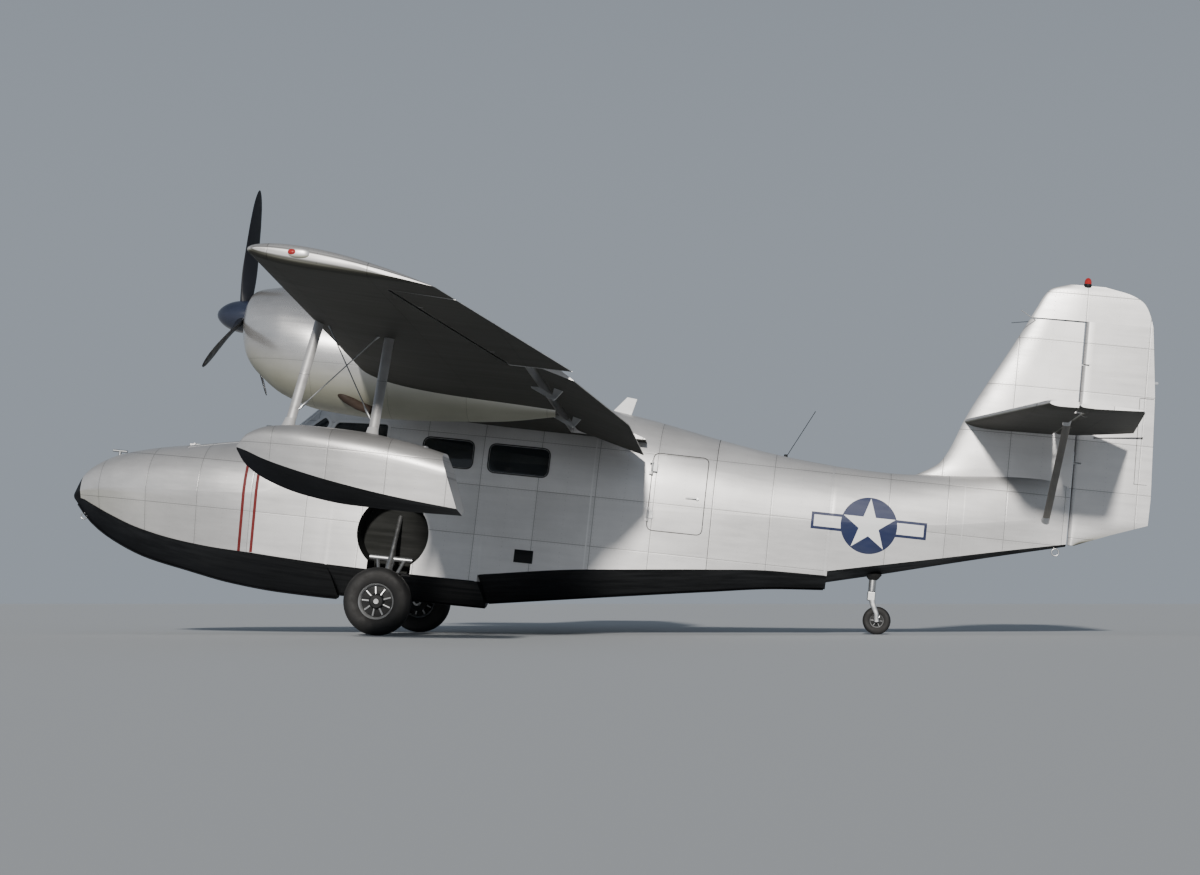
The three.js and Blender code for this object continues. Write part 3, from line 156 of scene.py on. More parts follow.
def smooth_rows(table: Array, at: Array) -> Array:
    """Rows of a table at values of its first column, by cubic pieces that never overshoot.

    Each inner slope is the weighted harmonic mean of the slopes on both sides, or zero where they
    differ in sign, so a rising column keeps rising.

    Args:
        table: rows with the reading value first.
        at: values to read at.

    Returns:
        One row for each value, with the value first.
    """
    table = table[np.argsort(table[:, 0])]
    x, y = table[:, 0], table[:, 1:]
    step = np.diff(x)[:, None]
    slope = np.diff(y, axis=0) / step
    before, after = slope[:-1], slope[1:]
    w1, w2 = 2 * step[1:] + step[:-1], step[1:] + 2 * step[:-1]
    same = before * after > 0
    safe_before, safe_after = np.where(same, before, 1.0), np.where(same, after, 1.0)
    inner = np.where(same, (w1 + w2) / (w1 / safe_before + w2 / safe_after), 0.0)
    tangent = np.vstack([slope[:1], inner, slope[-1:]])
    i = np.clip(np.searchsorted(x, at, side="right") - 1, 0, len(x) - 2)
    h = step[i]
    t = (np.asarray(at)[:, None] - x[i][:, None]) / h
    value = (
        (2 * t**3 - 3 * t**2 + 1) * y[i]
        + (t**3 - 2 * t**2 + t) * h * tangent[i]
        + (3 * t**2 - 2 * t**3) * y[i + 1]
        + (t**3 - t**2) * h * tangent[i + 1]
    )
    return np.column_stack([at, value])


def table(*rows: list[float]) -> Array:
    """A dataclass field that holds a table."""
    return field(default_factory=lambda: np.array(rows))


def spaced(lo: float, hi: float, spacing: float) -> Array:
    """Evenly spaced values from lo to hi, both included."""
    return np.linspace(lo, hi, max(2, int(round(abs(hi - lo) / spacing)) + 1))


def tipped(lo: float, hi: float, spacing: float, reach: float, count: int) -> Array:
    """Evenly spaced values from lo to hi, then on by a reach, closing up towards its end as a sine does."""
    turn = np.linspace(0, np.pi / 2, count)[1:]
    return np.concatenate([spaced(lo, hi, spacing), hi + reach * np.sin(turn)])


def angles(sides: int) -> Array:
    """Angles evenly round a circle."""
    return np.arange(sides) / sides * 2 * np.pi


def mirrored_half(half: Array) -> Array:
    """Half sections, from keel to crown, carried on down the other side."""
    return np.concatenate([half, half[:, -2:0:-1] * np.array([-1, 1])], axis=1)


def at_stations(x: Array, flat: Array) -> Array:
    """Flat sections set at their places along X."""
    return np.concatenate([np.broadcast_to(x[:, :, None], (*flat.shape[:2], 1)), flat], axis=-1)


# Forms


@dataclass
class Form:
    """Points with their faces. Each group of faces goes with the number of the finish it takes."""

    points: Array = field(default_factory=lambda: np.zeros((0, 3)))
    faces: list[tuple[Array, int]] = field(default_factory=list)

    def __add__(self, other: "Form") -> "Form":
        """Both forms as one, still separate bodies."""
        shift = len(self.points)
        moved = [(faces + shift, mark) for faces, mark in other.faces]
        return Form(np.vstack([self.points, other.points]), self.faces + moved)

    def flipped(self) -> "Form":
        """The same form with every face turned round."""
        return Form(self.points, [(faces[:, ::-1], mark) for faces, mark in self.faces])

    def mirrored(self) -> "Form":
        """The form on the other side of the centre plane."""
        return Form(self.points * np.array([1, -1, 1]), self.faces).flipped()

    def on(self, side: Side) -> "Form":
        """The port form on the side asked for."""
        return self if side is Side.LEFT else self.mirrored()

    def moved(self, offset: Triple) -> "Form":
        """The form moved by an offset."""
        return Form(self.points + np.array(offset), self.faces)

    def marked(self, mark: int) -> "Form":
        """The form with one finish all over."""
        return Form(self.points, [(faces, mark) for faces, _ in self.faces])

    def turned(self, centre: Triple, axis: Triple, angle: float) -> "Form":
        """The form turned by an angle about a line."""
        a = np.array(axis, float) / np.linalg.norm(axis)
        p = self.points - np.array(centre)
        c, s = math.cos(angle), math.sin(angle)
        turned = p * c + np.cross(a, p) * s + np.outer(p @ a, a) * (1 - c)
        return Form(turned + np.array(centre), self.faces)

    def outward(self) -> "Form":
        """The form with its faces outward, from the sign of the volume that they enclose."""
        total = 0.0
        middle = self.points.mean(axis=0)
        for faces, _ in self.faces:
            corner = self.points[faces] - middle
            for k in range(1, faces.shape[1] - 1):
                cross = np.cross(corner[:, k], corner[:, k + 1])
                total += float((corner[:, 0] * cross).sum())
        return self if total >= 0 else self.flipped()


def ring_quads(count: int, sides: int, looped: bool = False) -> Array:
    """Quads between each ring of points and the next, by ring and side."""
    column = np.arange(sides)
    after = (column + 1) % sides
    row = np.arange(count if looped else count - 1)[:, None]
    below = (row + 1) % count
    corners = [row * sides + column, row * sides + after, below * sides + after, below * sides + column]
    return np.stack(corners, axis=-1)


def loft(
    rings: Array,
    marks: Array | int = 0,
    hubs: tuple[Triple | None, Triple | None] = (None, None),
    looped: bool = False,
) -> Form:
    """A closed skin through equal rings of points.

    Args:
        rings: array of ring, point, coordinate.
        marks: finish of the faces after each point of a ring, or one for all.
        hubs: points at which the first and last ring close; None closes that end flat.
        looped: joins the last ring to the first instead of closing the ends.

    Returns:
        The form, faces outward.
    """
    count, sides = rings.shape[:2]
    points = rings.reshape(-1, 3)
    column = np.arange(sides)
    quads = ring_quads(count, sides, looped)
    kinds = np.broadcast_to(np.asarray(marks), (sides,))
    faces = [(quads[:, kinds == kind].reshape(-1, 4), int(kind)) for kind in np.unique(kinds)]
    end_mark = int(kinds[0])
    if not looped:
        for hub, start, turn in ((hubs[0], 0, -1), (hubs[1], (count - 1) * sides, 1)):
            ring = start + column
            if hub is None:
                faces.append((ring[None, ::turn], end_mark))
                continue
            points = np.vstack([points, np.array(hub)[None]])
            fan = np.stack([ring, np.roll(ring, -1), np.full(sides, len(points) - 1)], axis=-1)
            faces.append((fan[:, ::turn], end_mark))
    return Form(points, faces).outward()


def sheet(outer: Array, inner: Array, mark: int = 0) -> Form:
    """A thick sheet between two grids of the same size."""
    rings = np.concatenate([outer, inner[:, ::-1]], axis=1)
    count, k = outer.shape[:2]
    j = np.arange(k - 1)
    ladder = np.stack([j, j + 1, 2 * k - 2 - j, 2 * k - 1 - j], axis=-1)
    groups = [ring_quads(count, 2 * k).reshape(-1, 4), ladder[:, ::-1], ladder + (count - 1) * 2 * k]
    return Form(rings.reshape(-1, 3), [(faces, mark) for faces in groups]).outward()


def frame_of(direction: Array, hint: Triple = (1.0, 0.0, 0.0)) -> tuple[Array, Array]:
    """Two unit directions square to each row of directions, the first as near the hint as it can be."""
    direction = direction / np.linalg.norm(direction, axis=-1, keepdims=True)
    guide = np.broadcast_to(np.array(hint, float), direction.shape)
    along = (guide * direction).sum(-1, keepdims=True)
    across = guide - along * direction
    weak = np.linalg.norm(across, axis=-1, keepdims=True) < 1e-3
    spare = np.cross(direction, np.array([0.0, 0.62, 0.78]))
    across = np.where(weak, spare, across)
    across = across / np.linalg.norm(across, axis=-1, keepdims=True)
    return across, np.cross(direction, across)


def tube(
    path: Array,
    radius: float | Array,
    sides: int = 16,
    thin: float | Array | None = None,
    hint: Triple = (1.0, 0.0, 0.0),
    mark: int = 0,
) -> Form:
    """A round or oval bar along a path.

    Args:
        path: points along its middle.
        radius: half size along the hint's direction, one or one for each point.
        sides: points round it.
        thin: half size across it; the same as the radius if None.
        hint: direction that the first half size lies near.
        mark: its finish.

    Returns:
        The closed bar.
    """
    path = np.asarray(path, float)
    across, through = frame_of(np.gradient(path, axis=0), hint)
    wide = np.broadcast_to(np.asarray(radius, float), (len(path),))
    narrow = wide if thin is None else np.broadcast_to(np.asarray(thin, float), (len(path),))
    t = angles(sides)
    rings = (
        path[:, None]
        + across[:, None] * (wide[:, None] * np.cos(t))[..., None]
        + through[:, None] * (narrow[:, None] * np.sin(t))[..., None]
    )
    return loft(rings, mark)


def rod(a: Triple, b: Triple, radius: float, sides: int = 20, chamfer: float = 0.0, mark: int = 0) -> Form:
    """A straight round bar, with its ends chamfered if asked."""
    start, end = np.array(a, float), np.array(b, float)
    length = float(np.linalg.norm(end - start))
    if not chamfer:
        return tube(np.stack([start, end]), radius, sides, mark=mark)
    stops = np.array([0, chamfer, length - chamfer, length]) / length
    path = start + (end - start) * stops[:, None]
    return tube(path, np.array([radius - chamfer, radius, radius, radius - chamfer]), sides, mark=mark)


def rods(*bars: tuple) -> Form:
    """Straight round bars as one form, each given by the arguments of a rod."""
    return sum((rod(*bar) for bar in bars), Form())


def revolve(
    profile: Array,
    centre: Triple,
    axis: Triple,
    sides: int = 48,
    looped: bool = False,
) -> Form:
    """A turned body about the line through a centre.

    Args:
        profile: rows of radius and distance along the axis.
        centre: where the distance is zero.
        axis: direction of the line.
        sides: points round it.
        looped: the profile is a closed loop clear of the axis.

    Returns:
        The closed body; a first or last radius of zero makes a pole.
    """
    profile = np.asarray(profile, float)
    line = np.array(axis, float) / np.linalg.norm(axis)
    across, through = frame_of(line[None], (0.0, 0.0, 1.0))
    hubs: list[Triple | None] = [None, None]
    body = profile
    for end, cut in ((0, slice(1, None)), (-1, slice(None, -1))):
        if profile[end][0] == 0:
            hubs[end] = tuple(np.array(centre) + line * profile[end][1])
            body = body[cut]
    t = angles(sides)
    circle = across * np.cos(t)[:, None] + through * np.sin(t)[:, None]
    rings = np.array(centre) + line * body[:, 1][:, None, None] + circle[None] * body[:, 0][:, None, None]
    return loft(rings, 0, (hubs[0], hubs[1]), looped)


AXES = {"x": (1, 2, 0), "y": (0, 2, 1), "z": (0, 1, 2)}


def prism(outline: Array, axis: str, lo: float, hi: float, mark: int = 0) -> Form:
    """An outline run straight along one axis; its pairs are the other two coordinates in order."""
    outline = np.asarray(outline, float)
    u, v, w = AXES[axis]
    rings = np.zeros((2, len(outline), 3))
    rings[:, :, u], rings[:, :, v] = outline[:, 0], outline[:, 1]
    rings[0, :, w], rings[1, :, w] = lo, hi
    return loft(rings, mark)


def block(lo: Triple, hi: Triple, mark: int = 0) -> Form:
    """A rectangular block between two corners."""
    outline = np.array([[lo[0], lo[1]], [hi[0], lo[1]], [hi[0], hi[1]], [lo[0], hi[1]]])
    return prism(outline, "z", lo[2], hi[2], mark)


def rounded(outline: Array, radius: float) -> Array:
    """An outline with every corner rounded by a quadratic curve between its tangent points."""
    outline = np.asarray(outline, float)
    before, after = np.roll(outline, 1, axis=0), np.roll(outline, -1, axis=0)
    to_before, to_after = before - outline, after - outline
    reach_before = np.minimum(radius / np.linalg.norm(to_before, axis=1), 0.48)[:, None]
    reach_after = np.minimum(radius / np.linalg.norm(to_after, axis=1), 0.48)[:, None]
    start, end = outline + to_before * reach_before, outline + to_after * reach_after
    t = np.linspace(0, 1, 7)[None, :, None]
    curve = (1 - t) ** 2 * start[:, None] + 2 * t * (1 - t) * outline[:, None] + t**2 * end[:, None]
    return curve.reshape(-1, 2)


def grown(outline: Array, distance: float) -> Array:
    """An outline with every edge moved outward by a distance, or inward by a negative one."""
    outline = np.asarray(outline, float)
    x, y = outline.T
    area = float((x * np.roll(y, -1) - np.roll(x, -1) * y).sum())
    edge = np.roll(outline, -1, axis=0) - outline
    edge = edge / np.linalg.norm(edge, axis=1, keepdims=True)
    out = np.column_stack([edge[:, 1], -edge[:, 0]]) * np.sign(area)
    n0, n1 = np.roll(out, 1, axis=0), out
    scale = distance / (1 + (n0 * n1).sum(axis=1, keepdims=True))
    return outline + (n0 + n1) * scale


def rectangle(centre: Pair, width: float, height: float) -> Array:
    """Corners of an upright rectangle."""
    half = np.array([[-1, -1], [1, -1], [1, 1], [-1, 1]]) * np.array([width, height]) / 2
    return half + np.array(centre)


def circle(centre: Pair, radius: float, sides: int = 64) -> Array:
    """Points round a circle."""
    t = angles(sides)
    return np.column_stack([centre[0] + radius * np.cos(t), centre[1] + radius * np.sin(t)])


def cushion_form(centre: Triple, size: Triple, power: float = 0.32, tilt: float = 0.0) -> Form:
    """A stuffed block: a sphere whose coordinates are raised to a small power, which squares it off."""
    rows, sides = 28, 44
    lat = np.linspace(-np.pi / 2, np.pi / 2, rows + 2)[1:-1]
    lon = angles(sides)

    def bent(value: Array) -> Array:
        """A cosine or sine raised to the power, keeping its sign."""
        return np.sign(value) * np.abs(value) ** power

    ring_x = bent(np.cos(lat))[:, None] * bent(np.cos(lon))
    ring_y = bent(np.cos(lat))[:, None] * bent(np.sin(lon))
    ring_z = np.broadcast_to(bent(np.sin(lat))[:, None], ring_x.shape)
    rings = np.stack([ring_x * size[0], ring_y * size[1], ring_z * size[2]], axis=-1) / 2
    half = size[2] / 2
    form = loft(rings, 0, ((0, 0, -half), (0, 0, half)))
    return form.turned((0, 0, 0), (0, 1, 0), tilt).moved(centre)


# Finishes


class Nodes:
    """Short calls for building a node tree."""

    def __init__(self, tree: bpy.types.NodeTree) -> None:
        self.tree = tree

    def add(self, kind: str, settings: dict | None = None, **inputs: object) -> bpy.types.Node:
        """A shader node with its settings, and its inputs set to values or linked to sockets."""
        node = self.tree.nodes.new("ShaderNode" + kind)
        for name, value in (settings or {}).items():
            setattr(node, name, value)
        for name, value in inputs.items():
            self.feed(node.inputs[name], value)
        return node

    def feed(self, socket: Socket, value: object) -> None:
        """Sets a socket to a value, or links it if the value is a socket."""
        if isinstance(value, bpy.types.NodeSocket):
            self.tree.links.new(value, socket)
        else:
            socket.default_value = value

    def math(self, operation: str, *values: object) -> Socket:
        """Result of a math node, carried on from left to right over more than two values."""
        total = values[0]
        for value in values[1:] or (0.0,):
            node = self.add("Math", {"operation": operation})
            self.feed(node.inputs[0], total)
            self.feed(node.inputs[1], value)
            total = node.outputs[0]
        return total

    def plus(self, *values: object) -> Socket:
        """Sum of values."""
        return self.math("ADD", *values)

    def minus(self, a: object, b: object) -> Socket:
        """Difference of two values."""
        return self.math("SUBTRACT", a, b)

    def times(self, *values: object) -> Socket:
        """Product of values."""
        return self.math("MULTIPLY", *values)

    def sway(self, value: object, amount: float) -> Socket:
        """A value's distance from a half, times an amount."""
        return self.times(self.minus(value, 0.5), amount)

    def fade(self, mask: object, amount: float) -> Socket:
        """One, less an amount where the mask is full."""
        return self.minus(1.0, self.times(mask, amount))

    def ramp(self, value: object, lo: float, hi: float, a: float = 0.0, b: float = 1.0) -> Socket:
        """A value carried smoothly from the range lo to hi into the range a to b."""
        node = self.add("MapRange", {"interpolation_type": "SMOOTHSTEP"})
        for socket, entry in zip(node.inputs, (value, lo, hi, a, b)):
            self.feed(socket, entry)
        return node.outputs[0]

    def noise(self, coords: object, scale: float, detail: float = 4.0, rough: float = 0.5) -> Socket:
        """Noise between 0 and 1 at places."""
        return self.add("TexNoise", Vector=coords, Scale=scale, Detail=detail, Roughness=rough).outputs["Fac"]

    def mix(self, factor: object, a: Triple, b: Triple) -> Socket:
        """Two colours mixed."""
        node = self.add("Mix", {"data_type": "RGBA"})
        self.feed(node.inputs[0], factor)
        self.feed(node.inputs[6], (*a, 1))
        self.feed(node.inputs[7], (*b, 1))
        return node.outputs[2]

    def parts(self, vector: object) -> tuple[Socket, Socket, Socket]:
        """The three parts of a vector."""
        return tuple(self.add("SeparateXYZ", Vector=vector).outputs)

    def bump(self, shader: bpy.types.Node, height: object, strength: float, depth: float) -> None:
        """Turns a height into bumps on the shader's normal."""
        node = self.add("Bump", Strength=strength, Distance=depth, Height=height)
        self.feed(shader.inputs["Normal"], node.outputs[0])

    def airframe(self, scale: Triple = (1.0, 1.0, 1.0)) -> Socket:
        """Object coordinates brought back to the airframe's frame, then stretched."""
        turn, move = AIRFRAME.mapping()
        coords = self.add("TexCoord").outputs["Object"]
        back = self.add("Mapping", Vector=coords, Rotation=turn, Location=move).outputs[0]
        if scale == (1.0, 1.0, 1.0):
            return back
        return self.add("Mapping", Vector=back, Scale=scale).outputs[0]


def scaled(colour: Triple, factor: float) -> Triple:
    """A colour times a factor, each channel at most one."""
    return tuple(min(1.0, channel * factor) for channel in colour)


class Groups:
    """Node groups that several finishes share."""

    made: dict[str, bpy.types.NodeTree] = {}
    seam_edges: Pair = (0.001, 0.0045)
    rivet_edges: Pair = (0.0015, 0.0042)
    rivet_inset: float = 0.014
    rivet_step: float = 0.03
    stringer_step: float = 0.04

    @classmethod
    def start(cls, name: str, inputs: dict[str, float], outputs: list[str]) -> tuple[Nodes, object, object]:
        """A new group with float inputs and outputs, and its two ends."""
        tree = bpy.data.node_groups.new(name, "ShaderNodeTree")
        for label, default in inputs.items():
            socket = tree.interface.new_socket(label, in_out="INPUT", socket_type="NodeSocketFloat")
            socket.default_value = default
        for label in outputs:
            tree.interface.new_socket(label, in_out="OUTPUT", socket_type="NodeSocketFloat")
        cls.made[name] = tree
        return Nodes(tree), tree.nodes.new("NodeGroupInput"), tree.nodes.new("NodeGroupOutput")

    @classmethod
    def patina(cls) -> bpy.types.NodeTree:
        """Broad clouding, streaks along the flow and fine grain, each between 0 and 1."""
        if "Patina" not in cls.made:
            nodes, _, sink = cls.start("Patina", {}, ["Cloud", "Streak", "Grain"])
            place = nodes.airframe()
            nodes.feed(sink.inputs[0], nodes.noise(place, 1.7, 5.0, 0.62))
            nodes.feed(sink.inputs[1], nodes.noise(nodes.airframe((0.5, 5.0, 7.0)), 2.2, 4.0, 0.6))
            nodes.feed(sink.inputs[2], nodes.noise(place, 90.0, 3.0, 0.6))
        return cls.made["Patina"]

    @classmethod
    def sheets(cls) -> bpy.types.NodeTree:
        """Sheets of skin: seams between them, rivets along the seams and a tone for each sheet.

        The inputs are the pitches of the frames along X and of the lengthwise seams, how much the
        lengthwise seams follow Z instead of Y, and a shift of both grids.
        """
        if "Sheets" in cls.made:
            return cls.made["Sheets"]
        inputs = {
            "Frame Pitch": 0.5, "Strake Pitch": 0.4, "Upright": 1.0, "Shift X": 0.0, "Shift Across": 0.0
        }
        nodes, source, sink = cls.start("Sheets", inputs, ["Seam", "Rivet", "Tone"])
        pitch, strake, upright, shift_x, shift_across = source.outputs[:5]
        x, y, z = nodes.parts(nodes.airframe())
        x = nodes.plus(x, shift_x)
        across = nodes.plus(nodes.times(z, upright), nodes.times(y, nodes.minus(1.0, upright)), shift_across)

        def seam(value: object, step: object) -> tuple[Socket, Socket]:
            """Distance to the nearest seam of a grid, and the number of the cell."""
            cell = nodes.math("DIVIDE", value, step)
            near = nodes.math("ABSOLUTE", nodes.minus(nodes.math("FRACT", cell), 0.5))
            return nodes.times(nodes.minus(0.5, near), step), nodes.math("FLOOR", cell)

        def dots(gap: object, run: object, inset: float, step: float) -> Socket:
            """Round heads in a row beside a seam."""
            off, place = nodes.minus(gap, inset), seam(run, step)[0]
            reach = nodes.math("SQRT", nodes.plus(nodes.times(off, off), nodes.times(place, place)))
            return nodes.ramp(reach, *cls.rivet_edges, 1.0, 0.0)

        along_gap, column = seam(x, pitch)
        across_gap, row = seam(across, strake)
        half_gap, _ = seam(x, nodes.times(pitch, 0.5))
        lines = [nodes.ramp(gap, *cls.seam_edges, 1.0, 0.0) for gap in (along_gap, across_gap)]
        heads = [
            dots(along_gap, across, cls.rivet_inset, cls.rivet_step),
            dots(across_gap, x, cls.rivet_inset, cls.rivet_step),
            dots(half_gap, across, 0.0, cls.stringer_step),
        ]
        number = nodes.add("CombineXYZ", X=column, Y=row, Z=2.5).outputs[0]
        tone = nodes.add("TexWhiteNoise", {"noise_dimensions": "3D"}, Vector=number)
        for socket, value in zip(
            sink.inputs, (nodes.math("MAXIMUM", *lines), nodes.math("MAXIMUM", *heads), tone.outputs[0])
        ):
            nodes.feed(socket, value)
        return cls.made["Sheets"]


class Finish:
    """A finish makes one material, once, under its own name."""

    name: str
    slot: str

    def material(self) -> bpy.types.Material:
        """The material, made at the first call."""
        found = bpy.data.materials.get(self.name)
        if found:
            return found
        made = bpy.data.materials.new(self.name)
        made.use_nodes = True
        self.dress(Nodes(made.node_tree), made.node_tree.nodes["Principled BSDF"])
        return made

    def dress(self, nodes: Nodes, shader: bpy.types.Node) -> None:
        """Sets the shader's inputs."""
        raise NotImplementedError


@dataclass(frozen=True)
class BareMetal(Finish):
    """Silver skin in riveted sheets, clouded by weather, with painted shade: darker facing up, much darker
    and warmer facing down.
    """

    name: str
    slot: str = "hull_metal"
    tone: float = 0.56
    # under and over: colour factors of the painted shade on skin facing down and on skin facing up
    under: float = 0.5
    over: float = 0.7
    rough: float = 0.4
    metallic: float = 0.55
    pitch: Pair = (0.52, 0.36)
    upright: float = 1.0
    shift: Pair = (0.0, 0.0)
    seams: float = 1.0
    dents: float = 1.2
    # normal heights where the painted shade fades in, facing down and facing up; facing down the skin is also
    # rougher and less metallic
    downward: Pair = (-0.75, -0.1)
    upward: Pair = (0.15, 0.8)

    def dress(self, nodes: Nodes, shader: bpy.types.Node) -> None:
        """Colour from sheet tones, weather and painted shade by facing, bump from seams, rivets and shallow
        dents.
        """
        cloud, streak, grain = nodes.add("Group", {"node_tree": Groups.patina()}).outputs[:3]
        sheets = nodes.add("Group", {"node_tree": Groups.sheets()})
        for socket, value in zip(sheets.inputs, (*self.pitch, self.upright, *self.shift)):
            socket.default_value = value
        seam, rivet, tone = sheets.outputs[:3]
        facing = nodes.parts(nodes.add("TexCoord").outputs["Normal"])[2]
        sheet_tone = nodes.sway(tone, 0.075 * self.seams)
        weather = nodes.plus(nodes.sway(cloud, 0.3), nodes.sway(streak, 0.14), sheet_tone)
        # painted shade: the colour level is cut on skin facing down and on skin facing up
        level = nodes.times(
            nodes.plus(self.tone, weather),
            nodes.ramp(facing, *self.downward, self.under, 1.0),
            nodes.ramp(facing, *self.upward, 1.0, self.over),
            nodes.fade(seam, 0.5 * self.seams),
            nodes.fade(rivet, 0.28 * self.seams),
        )
        # painted shade: blue is cut further facing down, so the shaded underside reads warm
        under_shade_blue = nodes.times(level, nodes.ramp(facing, *self.downward, 0.8, 1.0))
        colour = nodes.add("CombineColor", Red=level, Green=nodes.times(level, 0.995), Blue=under_shade_blue)
        nodes.feed(shader.inputs["Base Color"], colour.outputs[0])
        metallic = nodes.ramp(facing, *self.downward, 0.25 * self.metallic, self.metallic)
        nodes.feed(shader.inputs["Metallic"], metallic)
        shader.inputs["Specular IOR Level"].default_value = 0.35
        rough = nodes.ramp(facing, *self.downward, self.rough + 0.3, self.rough)
        rough = nodes.plus(rough, nodes.sway(streak, 0.2), nodes.times(grain, 0.05))
        nodes.feed(shader.inputs["Roughness"], rough)
        relief = nodes.times(nodes.minus(nodes.times(rivet, 0.5), seam), self.seams)
        dent = nodes.times(nodes.noise(nodes.airframe(), 4.5, 1.0), self.dents)
        nodes.bump(shader, nodes.plus(relief, dent), 0.35, 0.002)


@dataclass(frozen=True)
class Paint(Finish):
    """Gloss or matt paint or plastic with faint clouding, worn dull in patches, and fine orange peel."""

    name: str
    slot: str
    colour: Triple
    rough: float = 0.3
    coat: float = 0.0
    metallic: float = 0.0
    vary: float = 0.25
    peel: float = 0.15
    scale: float = 60.0
    shine: float = 0.5

    def dress(self, nodes: Nodes, shader: bpy.types.Node) -> None:
        """Colour and roughness that change with the patina, and a fine bump."""
        cloud, streak, _ = nodes.add("Group", {"node_tree": Groups.patina()}).outputs[:3]
        low, high = scaled(self.colour, 1 - self.vary), scaled(self.colour, 1 + self.vary)
        nodes.feed(shader.inputs["Base Color"], nodes.mix(nodes.ramp(cloud, 0.3, 0.7), low, high))
        rough = nodes.ramp(streak, 0.3, 0.75, self.rough * 0.8, min(1.0, self.rough * 1.35))
        nodes.feed(shader.inputs["Roughness"], rough)
        shader.inputs["Metallic"].default_value = self.metallic
        shader.inputs["Coat Weight"].default_value = self.coat
        shader.inputs["Coat Roughness"].default_value = 0.08
        shader.inputs["Specular IOR Level"].default_value = self.shine
        nodes.bump(shader, nodes.noise(nodes.airframe(), self.scale, 3.0), self.peel, 0.001)


@dataclass(frozen=True)
class Glass(Finish):
    """Tinted glazing, smooth with faint smears."""

    name: str
    slot: str
    tint: Triple = (0.012, 0.015, 0.018)
    alpha: float = 0.72

    def dress(self, nodes: Nodes, shader: bpy.types.Node) -> None:
        """Dark, partly clear and glossy, with roughness from smears."""
        smear = nodes.noise(nodes.airframe((1.0, 1.0, 2.5)), 5.0, 4.0)
        nodes.feed(shader.inputs["Base Color"], nodes.mix(smear, self.tint, scaled(self.tint, 1.8)))
        nodes.feed(shader.inputs["Roughness"], nodes.ramp(smear, 0.45, 0.8, 0.03, 0.1))
        nodes.feed(shader.inputs["Alpha"], nodes.ramp(smear, 0.2, 0.9, self.alpha - 0.04, self.alpha + 0.08))
        shader.inputs["IOR"].default_value = 1.5
        shader.inputs["Coat Weight"].default_value = 0.5


@dataclass(frozen=True)
class Leather(Finish):
    """Seat leather with a cell grain and creases."""

    name: str
    slot: str
    colour: Triple = (0.05, 0.042, 0.034)

    def dress(self, nodes: Nodes, shader: bpy.types.Node) -> None:
        """Grain from cells, colour lighter on the worn high spots."""
        place = nodes.airframe()
        cells = nodes.add("TexVoronoi", {"feature": "DISTANCE_TO_EDGE"}, Vector=place, Scale=260.0)
        crease = nodes.noise(place, 9.0, 6.0, 0.65)
        worn = nodes.mix(nodes.ramp(crease, 0.35, 0.75), self.colour, scaled(self.colour, 2.1))
        nodes.feed(shader.inputs["Base Color"], worn)
        nodes.feed(shader.inputs["Roughness"], nodes.ramp(crease, 0.2, 0.8, 0.42, 0.68))
        height = nodes.plus(nodes.ramp(cells.outputs[0], 0.0, 0.25), nodes.times(crease, 1.5))
        nodes.bump(shader, height, 0.4, 0.0015)


@dataclass(frozen=True)
class Rubber(Finish):
    """Tyre rubber, dusty in its hollows."""

    name: str
    slot: str = "tyre"
    clean: Triple = (0.005, 0.005, 0.0055)
    dusty: Triple = (0.014, 0.0135, 0.013)

    def dress(self, nodes: Nodes, shader: bpy.types.Node) -> None:
        """Near black with grey dust and a pebbled bump."""
        place = nodes.airframe()
        dust = nodes.noise(place, 14.0, 6.0, 0.7)
        nodes.feed(shader.inputs["Base Color"], nodes.mix(nodes.ramp(dust, 0.4, 0.8), self.clean, self.dusty))
        nodes.feed(shader.inputs["Roughness"], nodes.ramp(dust, 0.3, 0.8, 0.62, 0.86))
        nodes.bump(shader, nodes.noise(place, 240.0, 3.0), 0.3, 0.001)


HULL_SHEETS = {"pitch": (0.495, 0.42), "shift": (-0.05, 0.23)}
HULL_METAL = BareMetal("hull_skin_metal", tone=0.63, metallic=0.42, rough=0.36, **HULL_SHEETS)
# shaded copy of the hull metal: its lower tone is painted shade on the bow; it is also shinier
SHADED_BOW_METAL = BareMetal("shaded_bow_metal", tone=0.59, metallic=0.55, rough=0.32, **HULL_SHEETS)
# under: how dark the painted shade makes each metal's down-facing skin
WING_METAL = BareMetal("wing_metal", tone=0.55, under=0.055, upright=0.0, pitch=(0.6, 0.62), shift=(0.1, 0.1))
TAIL_METAL = BareMetal(
    "tail_metal", tone=0.64, under=0.055, metallic=0.42, rough=0.36, pitch=(0.55, 0.42), shift=(0.0, 0.15)
)
COWL_METAL = BareMetal(
    "cowl_metal", tone=0.68, rough=0.24, metallic=0.8, under=0.4, pitch=(0.62, 0.6), seams=0.5, dents=0.5
)
FLOAT_METAL = BareMetal("float_metal", tone=0.5, rough=0.36, under=0.3, pitch=(0.4, 0.5), seams=0.7)
FRAME_METAL = BareMetal("frame_metal", tone=0.72, rough=0.35, seams=0.0)
BOTTOM_BLACK = Paint("bottom_black", "bottom_paint", (0.004, 0.0045, 0.006), 0.45, vary=0.4, shine=0.16)
TRIM_GREY = Paint("cabin_trim", "cabin_trim", (0.1, 0.105, 0.11), 0.75)
WELL_PAINT = Paint("well_paint", "dark_metal", (0.014, 0.015, 0.014), 0.75, shine=0.2)
ENGINE_GREY = Paint("engine_grey", "engine", (0.09, 0.09, 0.095), 0.5, metallic=0.6)
BLADE_BLACK = Paint("blade_black", "propeller", (0.009, 0.010, 0.014), 0.4, vary=0.3, shine=0.3)
SPINNER_NAVY = Paint("spinner_navy", "propeller", (0.018, 0.023, 0.042), 0.2, coat=0.6)
